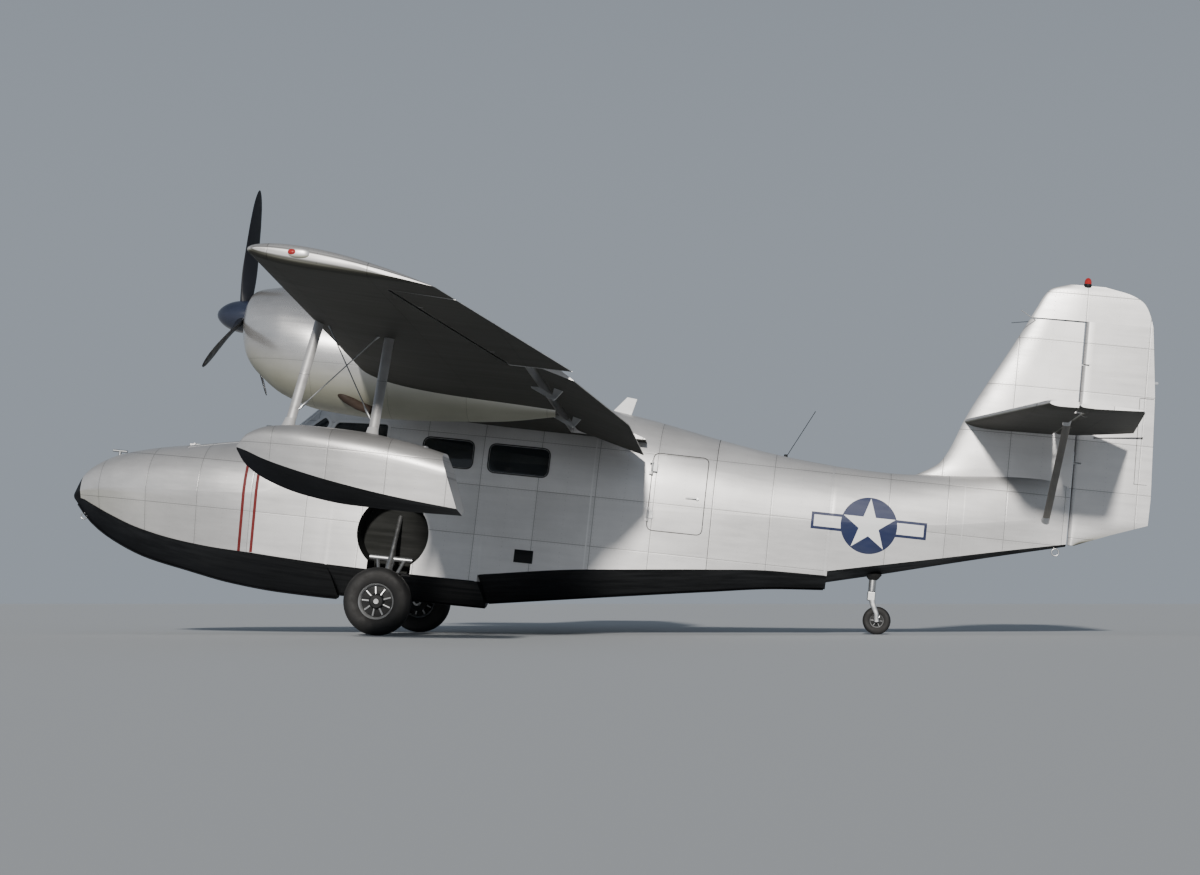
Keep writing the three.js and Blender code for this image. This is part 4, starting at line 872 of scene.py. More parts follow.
STEEL = Paint("satin_steel", "steel", (0.42, 0.43, 0.44), 0.32, metallic=0.9, vary=0.12)
CHROME = Paint("oleo_chrome", "steel", (0.72, 0.73, 0.74), 0.1, metallic=1.0, vary=0.04, peel=0.03)
DARK_METAL = Paint("dark_coat", "dark_metal", (0.009, 0.01, 0.011), 0.6, shine=0.25)
STRUT_GREY = Paint("strut_grey", "dark_metal", (0.13, 0.125, 0.115), 0.45, metallic=0.3)
RED_PAINT = Paint("red_paint", "hull_metal", (0.115, 0.011, 0.011), 0.5, vary=0.25, shine=0.25)
BLUE_PAINT = Paint("blue_paint", "hull_metal", (0.007, 0.015, 0.06), 0.4, vary=0.2)
WHITE_PAINT = Paint("white_paint", "hull_metal", (0.72, 0.73, 0.74), 0.4, vary=0.06)
PANEL_BLACK = Paint("panel_black", "panel_black", (0.02, 0.02, 0.021), 0.7, scale=220.0, peel=0.5)
GLASS = Glass("tinted_glass", "glass")
RED_GLASS = Glass("red_glass", "red_lens", (0.28, 0.012, 0.01), 0.92)
GREEN_GLASS = Glass("green_glass", "red_lens", (0.02, 0.3, 0.1), 0.85)
CLEAR_GLASS = Glass("clear_lens", "glass", (0.4, 0.42, 0.45), 0.6)
LEATHER = Leather("worn_leather", "seat_leather")
RUBBER = Rubber("tyre_rubber")
EXHAUST_RUST = Paint("exhaust_rust", "dark_metal", (0.035, 0.024, 0.018), 0.7, vary=0.4, shine=0.2)
HUB_SILVER = Paint("hub_silver", "dark_metal", (0.5, 0.51, 0.52), 0.35, metallic=0.7, vary=0.1)


# Making pieces

MOST_FINISHES = 4


class Carve(Enum):
    """What a cut does to the solid that it meets."""

    LESS = "DIFFERENCE"
    PLUS = "UNION"
    WITHIN = "INTERSECT"


Shape = Form | bpy.types.Object
Cut = tuple[Shape, Carve]


class Workshop:
    """Turns forms into named pieces that ride on their bodies."""

    made: int = 0

    @staticmethod
    def mesh(name: str, form: Form) -> bpy.types.Mesh:
        """A mesh of a form, placed where the object stands."""
        mesh = bpy.data.meshes.new(name)
        mesh.vertices.add(len(form.points))
        mesh.vertices.foreach_set("co", AIRFRAME.place(form.points).astype(np.float32).ravel())
        corners = np.concatenate([faces.ravel() for faces, _ in form.faces])
        sizes = np.concatenate([np.full(len(faces), faces.shape[1]) for faces, _ in form.faces])
        marks = np.concatenate([np.full(len(faces), mark) for faces, mark in form.faces])
        mesh.loops.add(len(corners))
        mesh.loops.foreach_set("vertex_index", corners.astype(np.int32))
        mesh.polygons.add(len(sizes))
        mesh.polygons.foreach_set("loop_start", (np.cumsum(sizes) - sizes).astype(np.int32))
        mesh.polygons.foreach_set("material_index", marks.astype(np.int32))
        mesh.update(calc_edges=True)
        mesh.validate()
        for _ in range(MOST_FINISHES):
            mesh.materials.append(None)
        return mesh

    @classmethod
    def solid(cls, name: str, form: Form, cuts: list[Cut] | None = None) -> bpy.types.Object:
        """An object of a form, cut and joined as asked; spare objects among the cuts are used up."""
        obj = bpy.data.objects.new(name, cls.mesh(name, form))
        bpy.context.scene.collection.objects.link(obj)
        spares = []
        for i, (shape, operation) in enumerate(cuts or []):
            spare = shape if isinstance(shape, bpy.types.Object) else cls.solid(f"{name}_cut{i}", shape)
            spares.append(spare)
            step = obj.modifiers.new(f"step{i}", "BOOLEAN")
            step.operation, step.object, step.solver = operation.value, spare, "MANIFOLD"
        if spares:
            evaluated = obj.evaluated_get(bpy.context.evaluated_depsgraph_get())
            carved = bpy.data.meshes.new_from_object(evaluated)
            obj.modifiers.clear()
            old, obj.data = obj.data, carved
            bpy.data.meshes.remove(old)
            for spare in spares:
                left = spare.data
                bpy.data.objects.remove(spare)
                bpy.data.meshes.remove(left)
        if not len(obj.data.polygons):
            raise ValueError(f"{name} came out empty")
        return obj

    @classmethod
    def piece(
        cls,
        name: str,
        shape: Shape,
        body: str,
        finishes: list[Finish],
        replaces: tuple[str, ...] = (),
        bevel: float = 0.0,
        crease: float = 32.0,
    ) -> bpy.types.Object:
        """A finished piece.

        Args:
            name: its name.
            shape: its form, or the object already carved from one.
            body: body that it rides on.
            finishes: one for each number that its faces carry.
            replaces: nodes that it stands for.
            bevel: width of a bevel on its sharp edges.
            crease: angle in degrees above which an edge is sharp.

        Returns:
            The object.
        """
        obj = shape if isinstance(shape, bpy.types.Object) else cls.solid(name, shape)
        obj.name = obj.data.name = name
        for i in reversed(range(len(obj.data.materials))):
            if i < len(finishes):
                obj.data.materials[i] = finishes[i].material()
            else:
                obj.data.materials.pop(index=i)
        obj.data.shade_smooth()
        obj.data.set_sharp_from_angle(angle=math.radians(crease))
        if bevel:
            edge = obj.modifiers.new("edge", "BEVEL")
            edge.width, edge.segments, edge.limit_method = bevel, 2, "ANGLE"
            edge.angle_limit = math.radians(50)
            edge.harden_normals = True
        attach(obj, body)
        if replaces:
            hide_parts(*replaces)
        cls.made += 1
        log.info("%s: %d faces on %s", name, len(obj.data.polygons), body)
        return obj

    @classmethod
    def fixed(
        cls, name: str, shape: Shape, finishes: list[Finish], replaces: tuple[str, ...] = (), **looks: float
    ) -> bpy.types.Object:
        """A finished piece that rides on the airframe."""
        return cls.piece(name, shape, "airframe", finishes, replaces, **looks)


# Hull

# numbers of the finishes on the hull's faces; number 1 is spare
METAL, TRIM, WELL = 0, 2, 3


@dataclass
class HullShape:
    """The hull's skin from stations, with its three steps, read at any place."""

    # x, keel z, chine y, chine z, side y, side z, shoulder y, shoulder z, crown z, round
    stations: Array = table(
        [3.822, 0.575, 0.012, 0.588, 0.018, 0.600, 0.016, 0.622, 0.625, 0.9],
        [3.795, 0.545, 0.030, 0.588, 0.045, 0.620, 0.040, 0.690, 0.694, 0.95],
        [3.740, 0.478, 0.060, 0.583, 0.100, 0.650, 0.095, 0.795, 0.800, 0.95],
        [3.600, 0.350, 0.135, 0.535, 0.210, 0.680, 0.200, 0.912, 0.918, 0.95],
        [3.400, 0.235, 0.215, 0.462, 0.320, 0.700, 0.305, 1.008, 1.014, 0.95],
        [3.100, 0.122, 0.325, 0.372, 0.430, 0.720, 0.410, 1.090, 1.096, 0.95],
        [2.700, 0.043, 0.425, 0.300, 0.515, 0.740, 0.495, 1.162, 1.168, 0.95],
        [2.300, -0.025, 0.500, 0.265, 0.570, 0.760, 0.555, 1.232, 1.240, 0.95],
        [1.925, -0.058, 0.550, 0.252, 0.590, 0.800, 0.575, 1.290, 1.305, 0.9],
        [1.820, -0.062, 0.560, 0.246, 0.592, 0.840, 0.545, 1.325, 1.425, 0.65],
        [1.620, -0.066, 0.580, 0.238, 0.594, 0.890, 0.510, 1.480, 1.648, 0.4],
        [1.420, -0.068, 0.600, 0.230, 0.596, 0.900, 0.500, 1.690, 1.872, 0.35],
        [1.340, -0.067, 0.606, 0.228, 0.596, 0.900, 0.510, 1.790, 1.930, 0.6],
        [1.305, -0.066, 0.610, 0.227, 0.596, 0.900, 0.515, 1.830, 1.945, 0.65],
        [1.304, -0.034, 0.610, 0.226, 0.596, 0.900, 0.515, 1.831, 1.946, 0.65],
        [1.000, -0.026, 0.635, 0.221, 0.600, 0.900, 0.555, 1.930, 1.978, 0.75],
        [0.400, -0.014, 0.655, 0.214, 0.610, 0.900, 0.585, 1.915, 1.935, 0.75],
        [-0.020, -0.010, 0.660, 0.214, 0.610, 0.900, 0.590, 1.885, 1.900, 0.75],
        [-0.021, 0.030, 0.655, 0.270, 0.610, 0.900, 0.590, 1.885, 1.900, 0.75],
        [-0.800, 0.156, 0.605, 0.393, 0.585, 0.930, 0.570, 1.825, 1.840, 0.8],
        [-1.300, 0.236, 0.550, 0.448, 0.550, 0.960, 0.530, 1.755, 1.772, 0.85],
        [-1.930, 0.335, 0.470, 0.514, 0.480, 1.000, 0.455, 1.640, 1.656, 0.9],
        [-2.500, 0.420, 0.375, 0.562, 0.405, 1.020, 0.375, 1.555, 1.568, 0.95],
        [-2.945, 0.458, 0.300, 0.569, 0.345, 1.040, 0.315, 1.515, 1.526, 0.95],
        [-2.946, 0.517, 0.300, 0.612, 0.345, 1.040, 0.315, 1.515, 1.526, 0.95],
        [-3.400, 0.632, 0.240, 0.712, 0.280, 1.060, 0.250, 1.502, 1.512, 0.95],
        [-3.900, 0.765, 0.175, 0.822, 0.210, 1.110, 0.185, 1.530, 1.542, 0.95],
        [-4.400, 0.895, 0.105, 0.934, 0.135, 1.190, 0.120, 1.580, 1.592, 0.95],
        [-4.940, 1.030, 0.036, 1.050, 0.044, 1.280, 0.042, 1.628, 1.640, 0.95],
    )
    spacing: float = 0.024
    flare: float = 0.05
    bottom_steps: int = 8
    side_steps: int = 7
    wall_steps: int = 8
    arch_steps: int = 14
    crown_steps: int = 6

    @property
    def chine(self) -> int:
        """Number of the ring point at the port chine."""
        return self.bottom_steps

    @property
    def crown(self) -> int:
        """Number of the ring point on the crown."""
        return self.bottom_steps + self.side_steps + self.wall_steps + self.arch_steps + self.crown_steps

    def rows(self, rear: float, front: float) -> Array:
        """Station rows from rear to front, read piece by piece between the steps."""
        table = self.stations[np.argsort(self.stations[:, 0])]
        jumps = np.nonzero(np.diff(table[:, 0]) < 0.002)[0] + 1
        parts = []
        for part in np.split(table, jumps):
            lo, hi = max(rear, part[0, 0]), min(front, part[-1, 0])
            if hi - lo > 1e-6:
                parts.append(smooth_rows(part, spaced(lo, hi, self.spacing)))
        return np.vstack(parts)

    def rings(self, rows: Array, offset: float = 0.0) -> Array:
        """Full sections from the keel over port, crown and starboard.

        The bottom runs straight from keel to chine with a slight hollow. The side is straight up to the
        start of the shoulder, a quadratic curve carries it round the shoulder, and the roof is straight
        to the crown.

        Args:
            rows: station rows.
            offset: distance outward, in the plane of each section.

        Returns:
            Array of section, point, coordinate.
        """
        x, keel, chine_y, chine_z, side_y, side_z, corner_y, corner_z, crown_z, turn = rows.T[:, :, None]
        keel_point = np.stack([0 * keel, keel], -1)
        chine = np.stack([chine_y, chine_z], -1)
        side = np.stack([side_y, chine_z + (side_z - chine_z) * 0.98], -1)
        corner = np.stack([corner_y, corner_z], -1)
        start = np.stack([corner_y + (side_y - corner_y) * turn, corner_z + (side_z - corner_z) * turn], -1)
        end = np.stack([corner_y * (1 - turn), corner_z + (crown_z - corner_z) * turn], -1)
        crown = np.stack([0 * keel, crown_z], -1)

        def run(a: Array, b: Array, steps: int) -> Array:
            """Points from a up to, but not at, b."""
            t = (np.arange(steps) / steps)[None, :, None]
            return a * (1 - t) + b * t

        bottom = run(keel_point, chine, self.bottom_steps)
        t = np.arange(self.bottom_steps) / self.bottom_steps
        bottom[:, :, 1] += self.flare * np.sin(np.pi * t) * (chine_z - keel)
        s = (np.arange(self.arch_steps) / self.arch_steps)[None, :, None]
        arch = (1 - s) ** 2 * start + 2 * s * (1 - s) * corner + s**2 * end
        half = np.concatenate(
            [
                bottom,
                run(chine, side, self.side_steps),
                run(side, start, self.wall_steps),
                arch,
                run(end, crown, self.crown_steps),
                crown,
            ],
            axis=1,
        )
        flat = mirrored_half(half)
        if offset:
            along = np.roll(flat, -1, axis=1) - np.roll(flat, 1, axis=1)
            along /= np.linalg.norm(along, axis=-1, keepdims=True)
            flat = flat + np.stack([along[..., 1], -along[..., 0]], -1) * offset
        return at_stations(x, flat)

    def body(self, rear: float, front: float, offset: float = 0.0, mark: int = METAL) -> Form:
        """The whole hull between two places, as one closed form."""
        return loft(self.rings(self.rows(rear, front), offset), mark)

    def topsides(self, rear: float, front: float) -> Form:
        """The hull above the chines."""
        rings = self.rings(self.rows(rear, front))
        k = rings.shape[1]
        return loft(rings[:, self.chine : k - self.chine + 1], METAL)

    def bottom(self, rear: float, front: float) -> Form:
        """The hull under the chines."""
        rings = self.rings(self.rows(rear, front))
        order = np.r_[-self.chine : self.chine + 1]
        return loft(rings[:, order], METAL)

    def patch(
        self, rear: float, front: float, first: int, last: int, lo: float, hi: float, mark: int = 0
    ) -> Form:
        """A sheet of the skin between two places and two ring points, from lo to hi outside it."""
        rows = self.rows(rear, front)
        pick = np.arange(first, last + 1)
        return sheet(self.rings(rows, hi)[:, pick], self.rings(rows, lo)[:, pick], mark)

    def side_point(self, x: float, z: float) -> tuple[Array, Array]:
        """Place on the port side at x and z, and the outward direction there."""
        ring = self.rings(self.rows(x - 0.001, x + 0.001))[0, self.chine : self.crown + 1]
        out = self.rings(self.rows(x - 0.001, x + 0.001), 0.01)[0, self.chine : self.crown + 1] - ring
        i = int(np.argmin(np.abs(ring[:, 2] - z)))
        y = float(np.interp(z, ring[:, 2], ring[:, 1]))
        return np.array([x, y, z]), out[i] / np.linalg.norm(out[i])

    def top_z(self, x: float) -> float:
        """Height of the crown at x."""
        return float(self.rows(x - 0.001, x + 0.001)[0, 8])


@dataclass
class Hull:
    """Bow, cabin shell, planing bottom and tail, with their openings, leaves and glass."""

    shape: HullShape = field(default_factory=HullShape)
    tip: float = 3.822
    nose: float = 3.740
    bulkhead: float = 1.990
    cabin_rear: float = -1.930
    stern: float = -4.940
    step: Pair = (-0.021, -0.020)
    wall: float = 0.045
    well: Triple = (0.750, 0.0, 0.545)
    well_radius: float = 0.312
    well_inner: float = 0.360
    well_slot: float = 0.190
    glass: Pair = (-0.010, -0.003)
    band: Pair = (0.024, 0.004)
    pane_gap: float = 0.0003
    windscreen: Array = table(
        [0.026, 1.370], [0.026, 1.850], [0.405, 1.735], [0.440, 1.318], [0.380, 1.285]
    )
    cockpit: Array = table(
        [1.500, 1.170], [0.905, 1.170], [0.905, 1.474], [1.352, 1.452]
    )
    quarter: Array = table(
        [1.765, 1.235], [1.575, 1.180], [1.425, 1.440], [1.470, 1.490]
    )
    # middle, width and height
    front_window: tuple[Pair, float, float] = ((0.3555, 1.2795), 0.431, 0.231)
    rear_window: tuple[Pair, float, float] = ((-0.260, 1.2725), 0.510, 0.235)
    # rear, front, foot and head
    door: Box = (-1.860, -1.400, 0.800, 1.455)
    door_gap: float = 0.007
    # inner face, outer face and inset of the door's skin and of its tray
    door_layers: tuple[Triple, Triple] = ((-0.018, 0.0, 0.0), (-0.045, -0.01, 0.014))
    door_hinge: Pair = (-1.396, 0.549)
    door_knuckles: Pair = (0.930, 1.330)
    door_latch: Pair = (-1.80, 1.10)
    knuckle: float = 0.009
    # rear, front and half width
    hatch: Triple = (2.250, 2.750, 0.250)
    hatch_gap: float = 0.008
    locker: Pair = (2.040, 3.150)
    locker_floor: float = 0.33
    hatch_hinge: Pair = (2.754, 1.168)
    # x and half width
    strap_places: tuple[Pair, ...] = ((1.985, 0.006), (-0.905, 0.006), (-2.925, 0.008), (-4.05, 0.005))
    blister_place: Pair = (1.12, 1.72)
    blister_size: Triple = (0.46, 0.09, 0.15)
    roof_vent: tuple[Pair, float, float] = ((1.19, 1.625), 0.10, 0.05)
    rail_runs: tuple[Pair, ...] = ((-2.93, -0.04), (0.0, 1.29), (1.32, 3.70))
    keel_runs: tuple[Pair, ...] = ((-2.93, -0.04), (-0.01, 1.29), (1.32, 3.78))
    inside: Pair = (-1.885, 1.945)
    cockpit_room: Array = table([1.18, 1.3], [1.945, 1.3], [1.945, 1.51], [1.5, 1.96], [1.25, 1.86])
    floor: Array = table(
        [1.945, 0.290], [-0.020, 0.290], [-0.022, 0.345], [-1.885, 0.590]
    )

    def windows(self) -> dict[str, Array]:
        """Outlines of the side windows in x and z."""
        return {
            "cockpit_window": rounded(self.cockpit, 0.03),
            "quarter_light": rounded(self.quarter, 0.03),
            "cabin_window_front": rounded(rectangle(*self.front_window), 0.06),
            "cabin_window_rear": rounded(rectangle(*self.rear_window), 0.06),
        }

    def build(self) -> None:
        """Makes every piece of the hull."""
        self.bottoms()
        self.bow()
        self.cabin()
        tail = self.shape.topsides(self.stern, self.cabin_rear)
        Workshop.fixed("hull_tail_skin", tail, [HULL_METAL], ("hull_tail",))
        self.rails()
        self.straps()
        self.blister()
        self.door_leaf()
        self.hatch_lid()
        self.glazing()

    def well_form(self, side: Side, grow: float, inner: float) -> tuple[Form, Form]:
        """Round recess for the wheel and the slot below it, for one side."""
        x, _, z = self.well
        round_part = rod((x, inner, z), (x, 0.9, z), self.well_radius + grow, 72, mark=WELL)
        foot = 0.15 if grow else -0.2
        slot = block((x - self.well_slot - grow, inner, foot), (x + self.well_slot + grow, 0.9, z), WELL)
        return round_part.on(side), slot.on(side)

    def bottoms(self) -> None:
        """Black planing bottoms and the bumper on the stem."""
        cuts: list[Cut] = []
        for side in Side:
            cuts += [(form.marked(METAL), Carve.LESS) for form in self.well_form(side, 0.0, 0.585)]
        behind, before = self.step
        fore = Workshop.solid("fore", self.shape.bottom(before, self.nose), cuts)
        Workshop.fixed("planing_bottom_fore", fore, [BOTTOM_BLACK])
        bumper = self.shape.body(self.nose, self.tip)
        Workshop.fixed("nose_bumper", bumper, [BOTTOM_BLACK], ("hull_bottom_fore",))
        aft = self.shape.bottom(self.stern, behind)
        Workshop.fixed("planing_bottom_aft", aft, [BOTTOM_BLACK], ("hull_bottom_aft",))

    def bow(self) -> None:
        """Bow topsides with the locker under the hatch."""
        rear, front, half = self.hatch
        room = block((1.9, -1, self.locker_floor), (3.3, 1, 2), TRIM)
        hollow = self.shape.body(*self.locker, -self.wall, TRIM)
        locker = Workshop.solid("locker", hollow, [(room, Carve.WITHIN)])
        gap = self.hatch_gap
        opening = block((rear - gap, -half - gap, 0.9), (front + gap, half + gap, 2), TRIM)
        skin = self.shape.topsides(self.bulkhead, self.nose)
        shell = Workshop.solid("bow", skin, [(locker, Carve.LESS), (opening, Carve.LESS)])
        Workshop.fixed("bow_skin", shell, [SHADED_BOW_METAL, SHADED_BOW_METAL, TRIM_GREY], ("bow",))

    def cavity(self) -> bpy.types.Object:
        """The room inside the cabin, from the floor to the ceiling and up into the cockpit's roof."""
        rear, front = self.inside
        room = self.shape.body(rear, front, -self.wall, TRIM)
        low = np.vstack([self.floor, [[rear, 1.6], [front, 1.6]]])
        raised = prism(self.cockpit_room, "y", -1.9, 1.9, TRIM)
        limit = Workshop.solid("limit", prism(low, "y", -2, 2, TRIM), [(raised, Carve.PLUS)])
        return Workshop.solid("cavity", room, [(limit, Carve.WITHIN)])

    def cabin(self) -> None:
        """Cabin shell with its floor, wheel wells, window openings and door opening."""
        shell = self.shape.topsides(self.cabin_rear, self.bulkhead)
        cuts: list[Cut] = [(self.cavity(), Carve.LESS)]
        for side in Side:
            for part, form in enumerate(self.well_form(side, 0.018, self.well_inner - 0.018)):
                skin = self.shape.body(0.2, 1.3, -0.006, WELL)
                cuts.append((Workshop.solid(f"cup{part}", form, [(skin, Carve.WITHIN)]), Carve.PLUS))
            cuts += [(form, Carve.LESS) for form in self.well_form(side, 0.0, self.well_inner)]
            screen = self.windscreen if side is Side.LEFT else self.windscreen * np.array([-1, 1])
            cuts.append((prism(rounded(screen, 0.03), "x", 1.25, 2.05, TRIM), Carve.LESS))
        for outline in self.windows().values():
            cuts.append((prism(outline, "y", -2, 2, TRIM), Carve.LESS))
        cuts.append((prism(grown(self.door_outline(), self.door_gap), "y", 0.2, 2, TRIM), Carve.LESS))
        obj = Workshop.solid("cabin", shell, cuts)
        replaced = ("cabin_side_left", "cabin_side_right", "cabin_roof", "cabin_floor")
        Workshop.fixed("cabin_skin", obj, [HULL_METAL, HULL_METAL, TRIM_GREY, WELL_PAINT], replaced)

    def door_outline(self) -> Array:
        """Corners of the door in x and z."""
        rear, front, foot, head = self.door
        return rounded(np.array([[rear, foot], [front, foot], [front, head], [rear, head]]), 0.05)

    def door_leaf(self) -> None:
        """Cabin door: a skin, an inner tray that stays clear of the flange, hinges and a latch."""
        shape = self.shape
        layers: list[Cut] = []
        for mark, (lo, hi, inset) in enumerate(self.door_layers):
            layer = shape.patch(-1.95, -1.3, shape.chine, shape.crown - 2, lo, hi, mark)
            cut = prism(grown(self.door_outline(), -inset), "y", 0.2, 2, mark)
            layers.append((Workshop.solid(f"layer_{mark}", layer, [(cut, Carve.WITHIN)]), Carve.PLUS))
        bridge = block((-1.66, 0.485, 1.05), (-1.6, 0.49, 1.1))
        leaf = Workshop.solid("door_whole", bridge, layers)
        Workshop.piece("door_leaf", leaf, "cabin_door", [HULL_METAL, TRIM_GREY], ("cabin_door",))
        fittings = Form()
        x, y = self.door_hinge
        for z in self.door_knuckles:
            fittings += rod((x, y, z - 0.035), (x, y, z + 0.035), self.knuckle)
            fittings += block((-1.44, 0.49, z - 0.033), (x, y, z + 0.033))
            lugs = Form()
            for lo, hi in ((0.0353, 0.0603), (-0.0603, -0.0353)):
                lugs += rod((x, y, z + lo), (x, y, z + hi), self.knuckle)
                lugs += block((x, 0.482, z + lo + 0.001), (-1.371, y, z + hi - 0.001))
            Workshop.fixed(f"door_lugs_{int(z * 1000)}", lugs, [FRAME_METAL], bevel=0.001)
        place, out = shape.side_point(*self.door_latch)
        handle = place + out * 0.018
        grip = np.array([handle, handle + [0.05, 0, 0], handle + [0.1, 0, -0.004]])
        fittings += rod(place - out * 0.01, place + out * 0.02, 0.012)
        fittings += tube(grip, 0.006, 12, hint=(0, 0, 1))
        Workshop.piece("door_fittings", fittings, "cabin_door", [STEEL], bevel=0.001)

    def hatch_lid(self) -> None:
        """Bow hatch lid with its hinge knuckle and turn button."""
        shape = self.shape
        rear, front, half = self.hatch
        skin = shape.patch(rear - 0.08, front + 0.08, shape.crown - 24, shape.crown + 24, -0.022, 0.0)
        lid = Workshop.solid("lid", skin, [(block((rear, -half, 0.9), (front, half, 2)), Carve.WITHIN)])
        Workshop.piece("hatch_lid", lid, "bow_hatch", [SHADED_BOW_METAL], ("bow_hatch",))
        x, z = self.hatch_hinge
        button = rear + 0.06
        knuckle = rod((x, -0.042, z), (x, 0.042, z), self.knuckle)
        knuckle += block((front - 0.045, -0.04, 1.152), (x, 0.04, 1.171))
        knuckle += rod((button, 0, 1.18), (button, 0, shape.top_z(button) + 0.006), 0.02, 28)
        Workshop.piece("hatch_fittings", knuckle, "bow_hatch", [STEEL], bevel=0.001)
        lugs = Form()
        for lo, hi in ((0.0423, 0.0623), (-0.0623, -0.0423)):
            lugs += rod((x, lo, z), (x, hi, z), self.knuckle)
            lugs += block((x, lo + 0.001, 1.14), (x + 0.04, hi - 0.001, z))
        Workshop.fixed("hatch_lugs", lugs, [FRAME_METAL], bevel=0.001)

    @staticmethod
    def glaze(name: str, side: Side, pane: Form, frame: Form, blanks: list[Form], rim: Finish) -> None:
        """A pane and its frame.

        Args:
            name: the window's name.
            side: side that it is on.
            pane: sheet of skin that the pane comes from.
            frame: sheet of skin that the frame comes from.
            blanks: prisms round the pane, round the frame and through the frame.
            rim: the frame's finish.
        """
        inside, around, hole = (blank.on(side) for blank in blanks)
        obj = Workshop.solid("pane", pane.on(side), [(inside, Carve.WITHIN)])
        Workshop.fixed(f"{name}_pane_{side.tag}", obj, [GLASS], (f"{name}_{side.tag}",))
        ring = Workshop.solid("ring", frame.on(side), [(around, Carve.WITHIN), (hole, Carve.LESS)])
        Workshop.fixed(f"{name}_frame_{side.tag}", ring, [rim])

    def glazing(self) -> None:
        """Panes in every opening, with light frames draped on the skin round them."""
        shape = self.shape
        first, last = shape.chine + 2, shape.crown
        proud = (-0.002, self.band[1])
        for side in Side:
            for name, outline in self.windows().items():
                cabin = name.startswith("cabin")
                rear, front = outline[:, 0].min() - 0.06, outline[:, 0].max() + 0.06
                sheets = [shape.patch(rear, front, first, last - 4, *faces) for faces in (self.glass, proud)]
                blanks = [
                    prism(grown(outline, -self.pane_gap), "y", 0.25, 0.9),
                    prism(grown(outline, self.band[0] * (0.5 if cabin else 1.0)), "y", 0.25, 0.9),
                    prism(grown(outline, 0.002), "y", 0.2, 0.95),
                ]
                self.glaze(name, side, *sheets, blanks, RUBBER if cabin else FRAME_METAL)
            outline = rounded(self.windscreen, 0.03)
            pane = shape.patch(1.26, 1.86, first + 6, last, *self.glass)
            frame = shape.patch(1.27, 1.88, first + 6, last, *proud)
            blanks = [
                prism(grown(outline, -self.pane_gap), "x", 1.24, 1.9),
                prism(grown(outline, 0.02), "x", 1.24, 1.9),
                prism(grown(outline, 0.001), "x", 1.2, 1.95),
            ]
            self.glaze("windscreen", side, pane, frame, blanks, FRAME_METAL)

    def straps(self) -> None:
        """Butt straps over the frames where the skins meet."""
        shape = self.shape
        last = 2 * shape.crown - shape.chine
        lines = Form()
        for x, wide in self.strap_places:
            lines += shape.patch(x - wide, x + wide, shape.chine, last, -0.004, 0.0005)
        Workshop.fixed("butt_straps", lines, [FRAME_METAL])
        joint = shape.patch(-1.932, -1.928, shape.chine, last, -0.004, 0.0008)
        Workshop.fixed("rear_frame_joint", joint, [DARK_METAL])

    def blister(self) -> None:
        """Teardrop fairing on each shoulder of the cabin roof, and a near-black sheet beside it that paints
        the shade inside a vent's opening.
        """
        shape = self.shape
        for side in Side:
            x, z = self.blister_place
            place, _ = shape.side_point(x, z)
            bulge = cushion_form((x, place[1] - 0.01, z + 0.025), self.blister_size, 1.0).on(side)
            Workshop.fixed(f"roof_blister_{side.tag}", bulge, [FRAME_METAL])
            # painted shade: a near-black sheet on the skin stands for the vent's dark opening
            skin = shape.patch(0.9, 1.3, shape.chine + 2, shape.crown - 2, -0.004, 0.0015)
            cut = prism(rounded(rectangle(*self.roof_vent), 0.02), "y", 0.1, 1.0)
            vent = Workshop.solid("vent", skin.on(side), [(cut.on(side), Carve.WITHIN)])
            Workshop.fixed(f"roof_vent_{side.tag}", vent, [DARK_METAL])

    def rails(self) -> None:
        """Rubbing rails along the chines and a strip along the keel."""
        shape = self.shape
        for side in Side:
            for i, run in enumerate(self.rail_runs):
                path = shape.rings(shape.rows(*run))[:, shape.chine][::3] + np.array([0, 0.001, -0.002])
                rail = tube(path, 0.005, 10, 0.008, hint=(0, 0, 1)).on(side)
                Workshop.fixed(f"chine_rail_{i}_{side.tag}", rail, [BOTTOM_BLACK])
        for i, run in enumerate(self.keel_runs):
            path = shape.rings(shape.rows(*run))[:, 0][::3] + np.array([0, 0, -0.002])
            strip = tube(path, 0.012, 10, 0.007, hint=(0, 1, 0))
            Workshop.fixed(f"keel_strip_{i}", strip, [BOTTOM_BLACK])


# Wing


@dataclass
class Hinged:
    """Where a trailing surface lies: its ends, hinge line along X and the lips of its cove."""

    inner: float
    outer: float
    inner_x: float
    outer_x: float
    lip_upper: float
    lip_lower: float

    def nose_x(self, y: Array) -> Array:
        """X of the nose centre at y."""
        share = (np.asarray(y) - self.inner) / (self.outer - self.inner)
        return self.inner_x + (self.outer_x - self.inner_x) * share


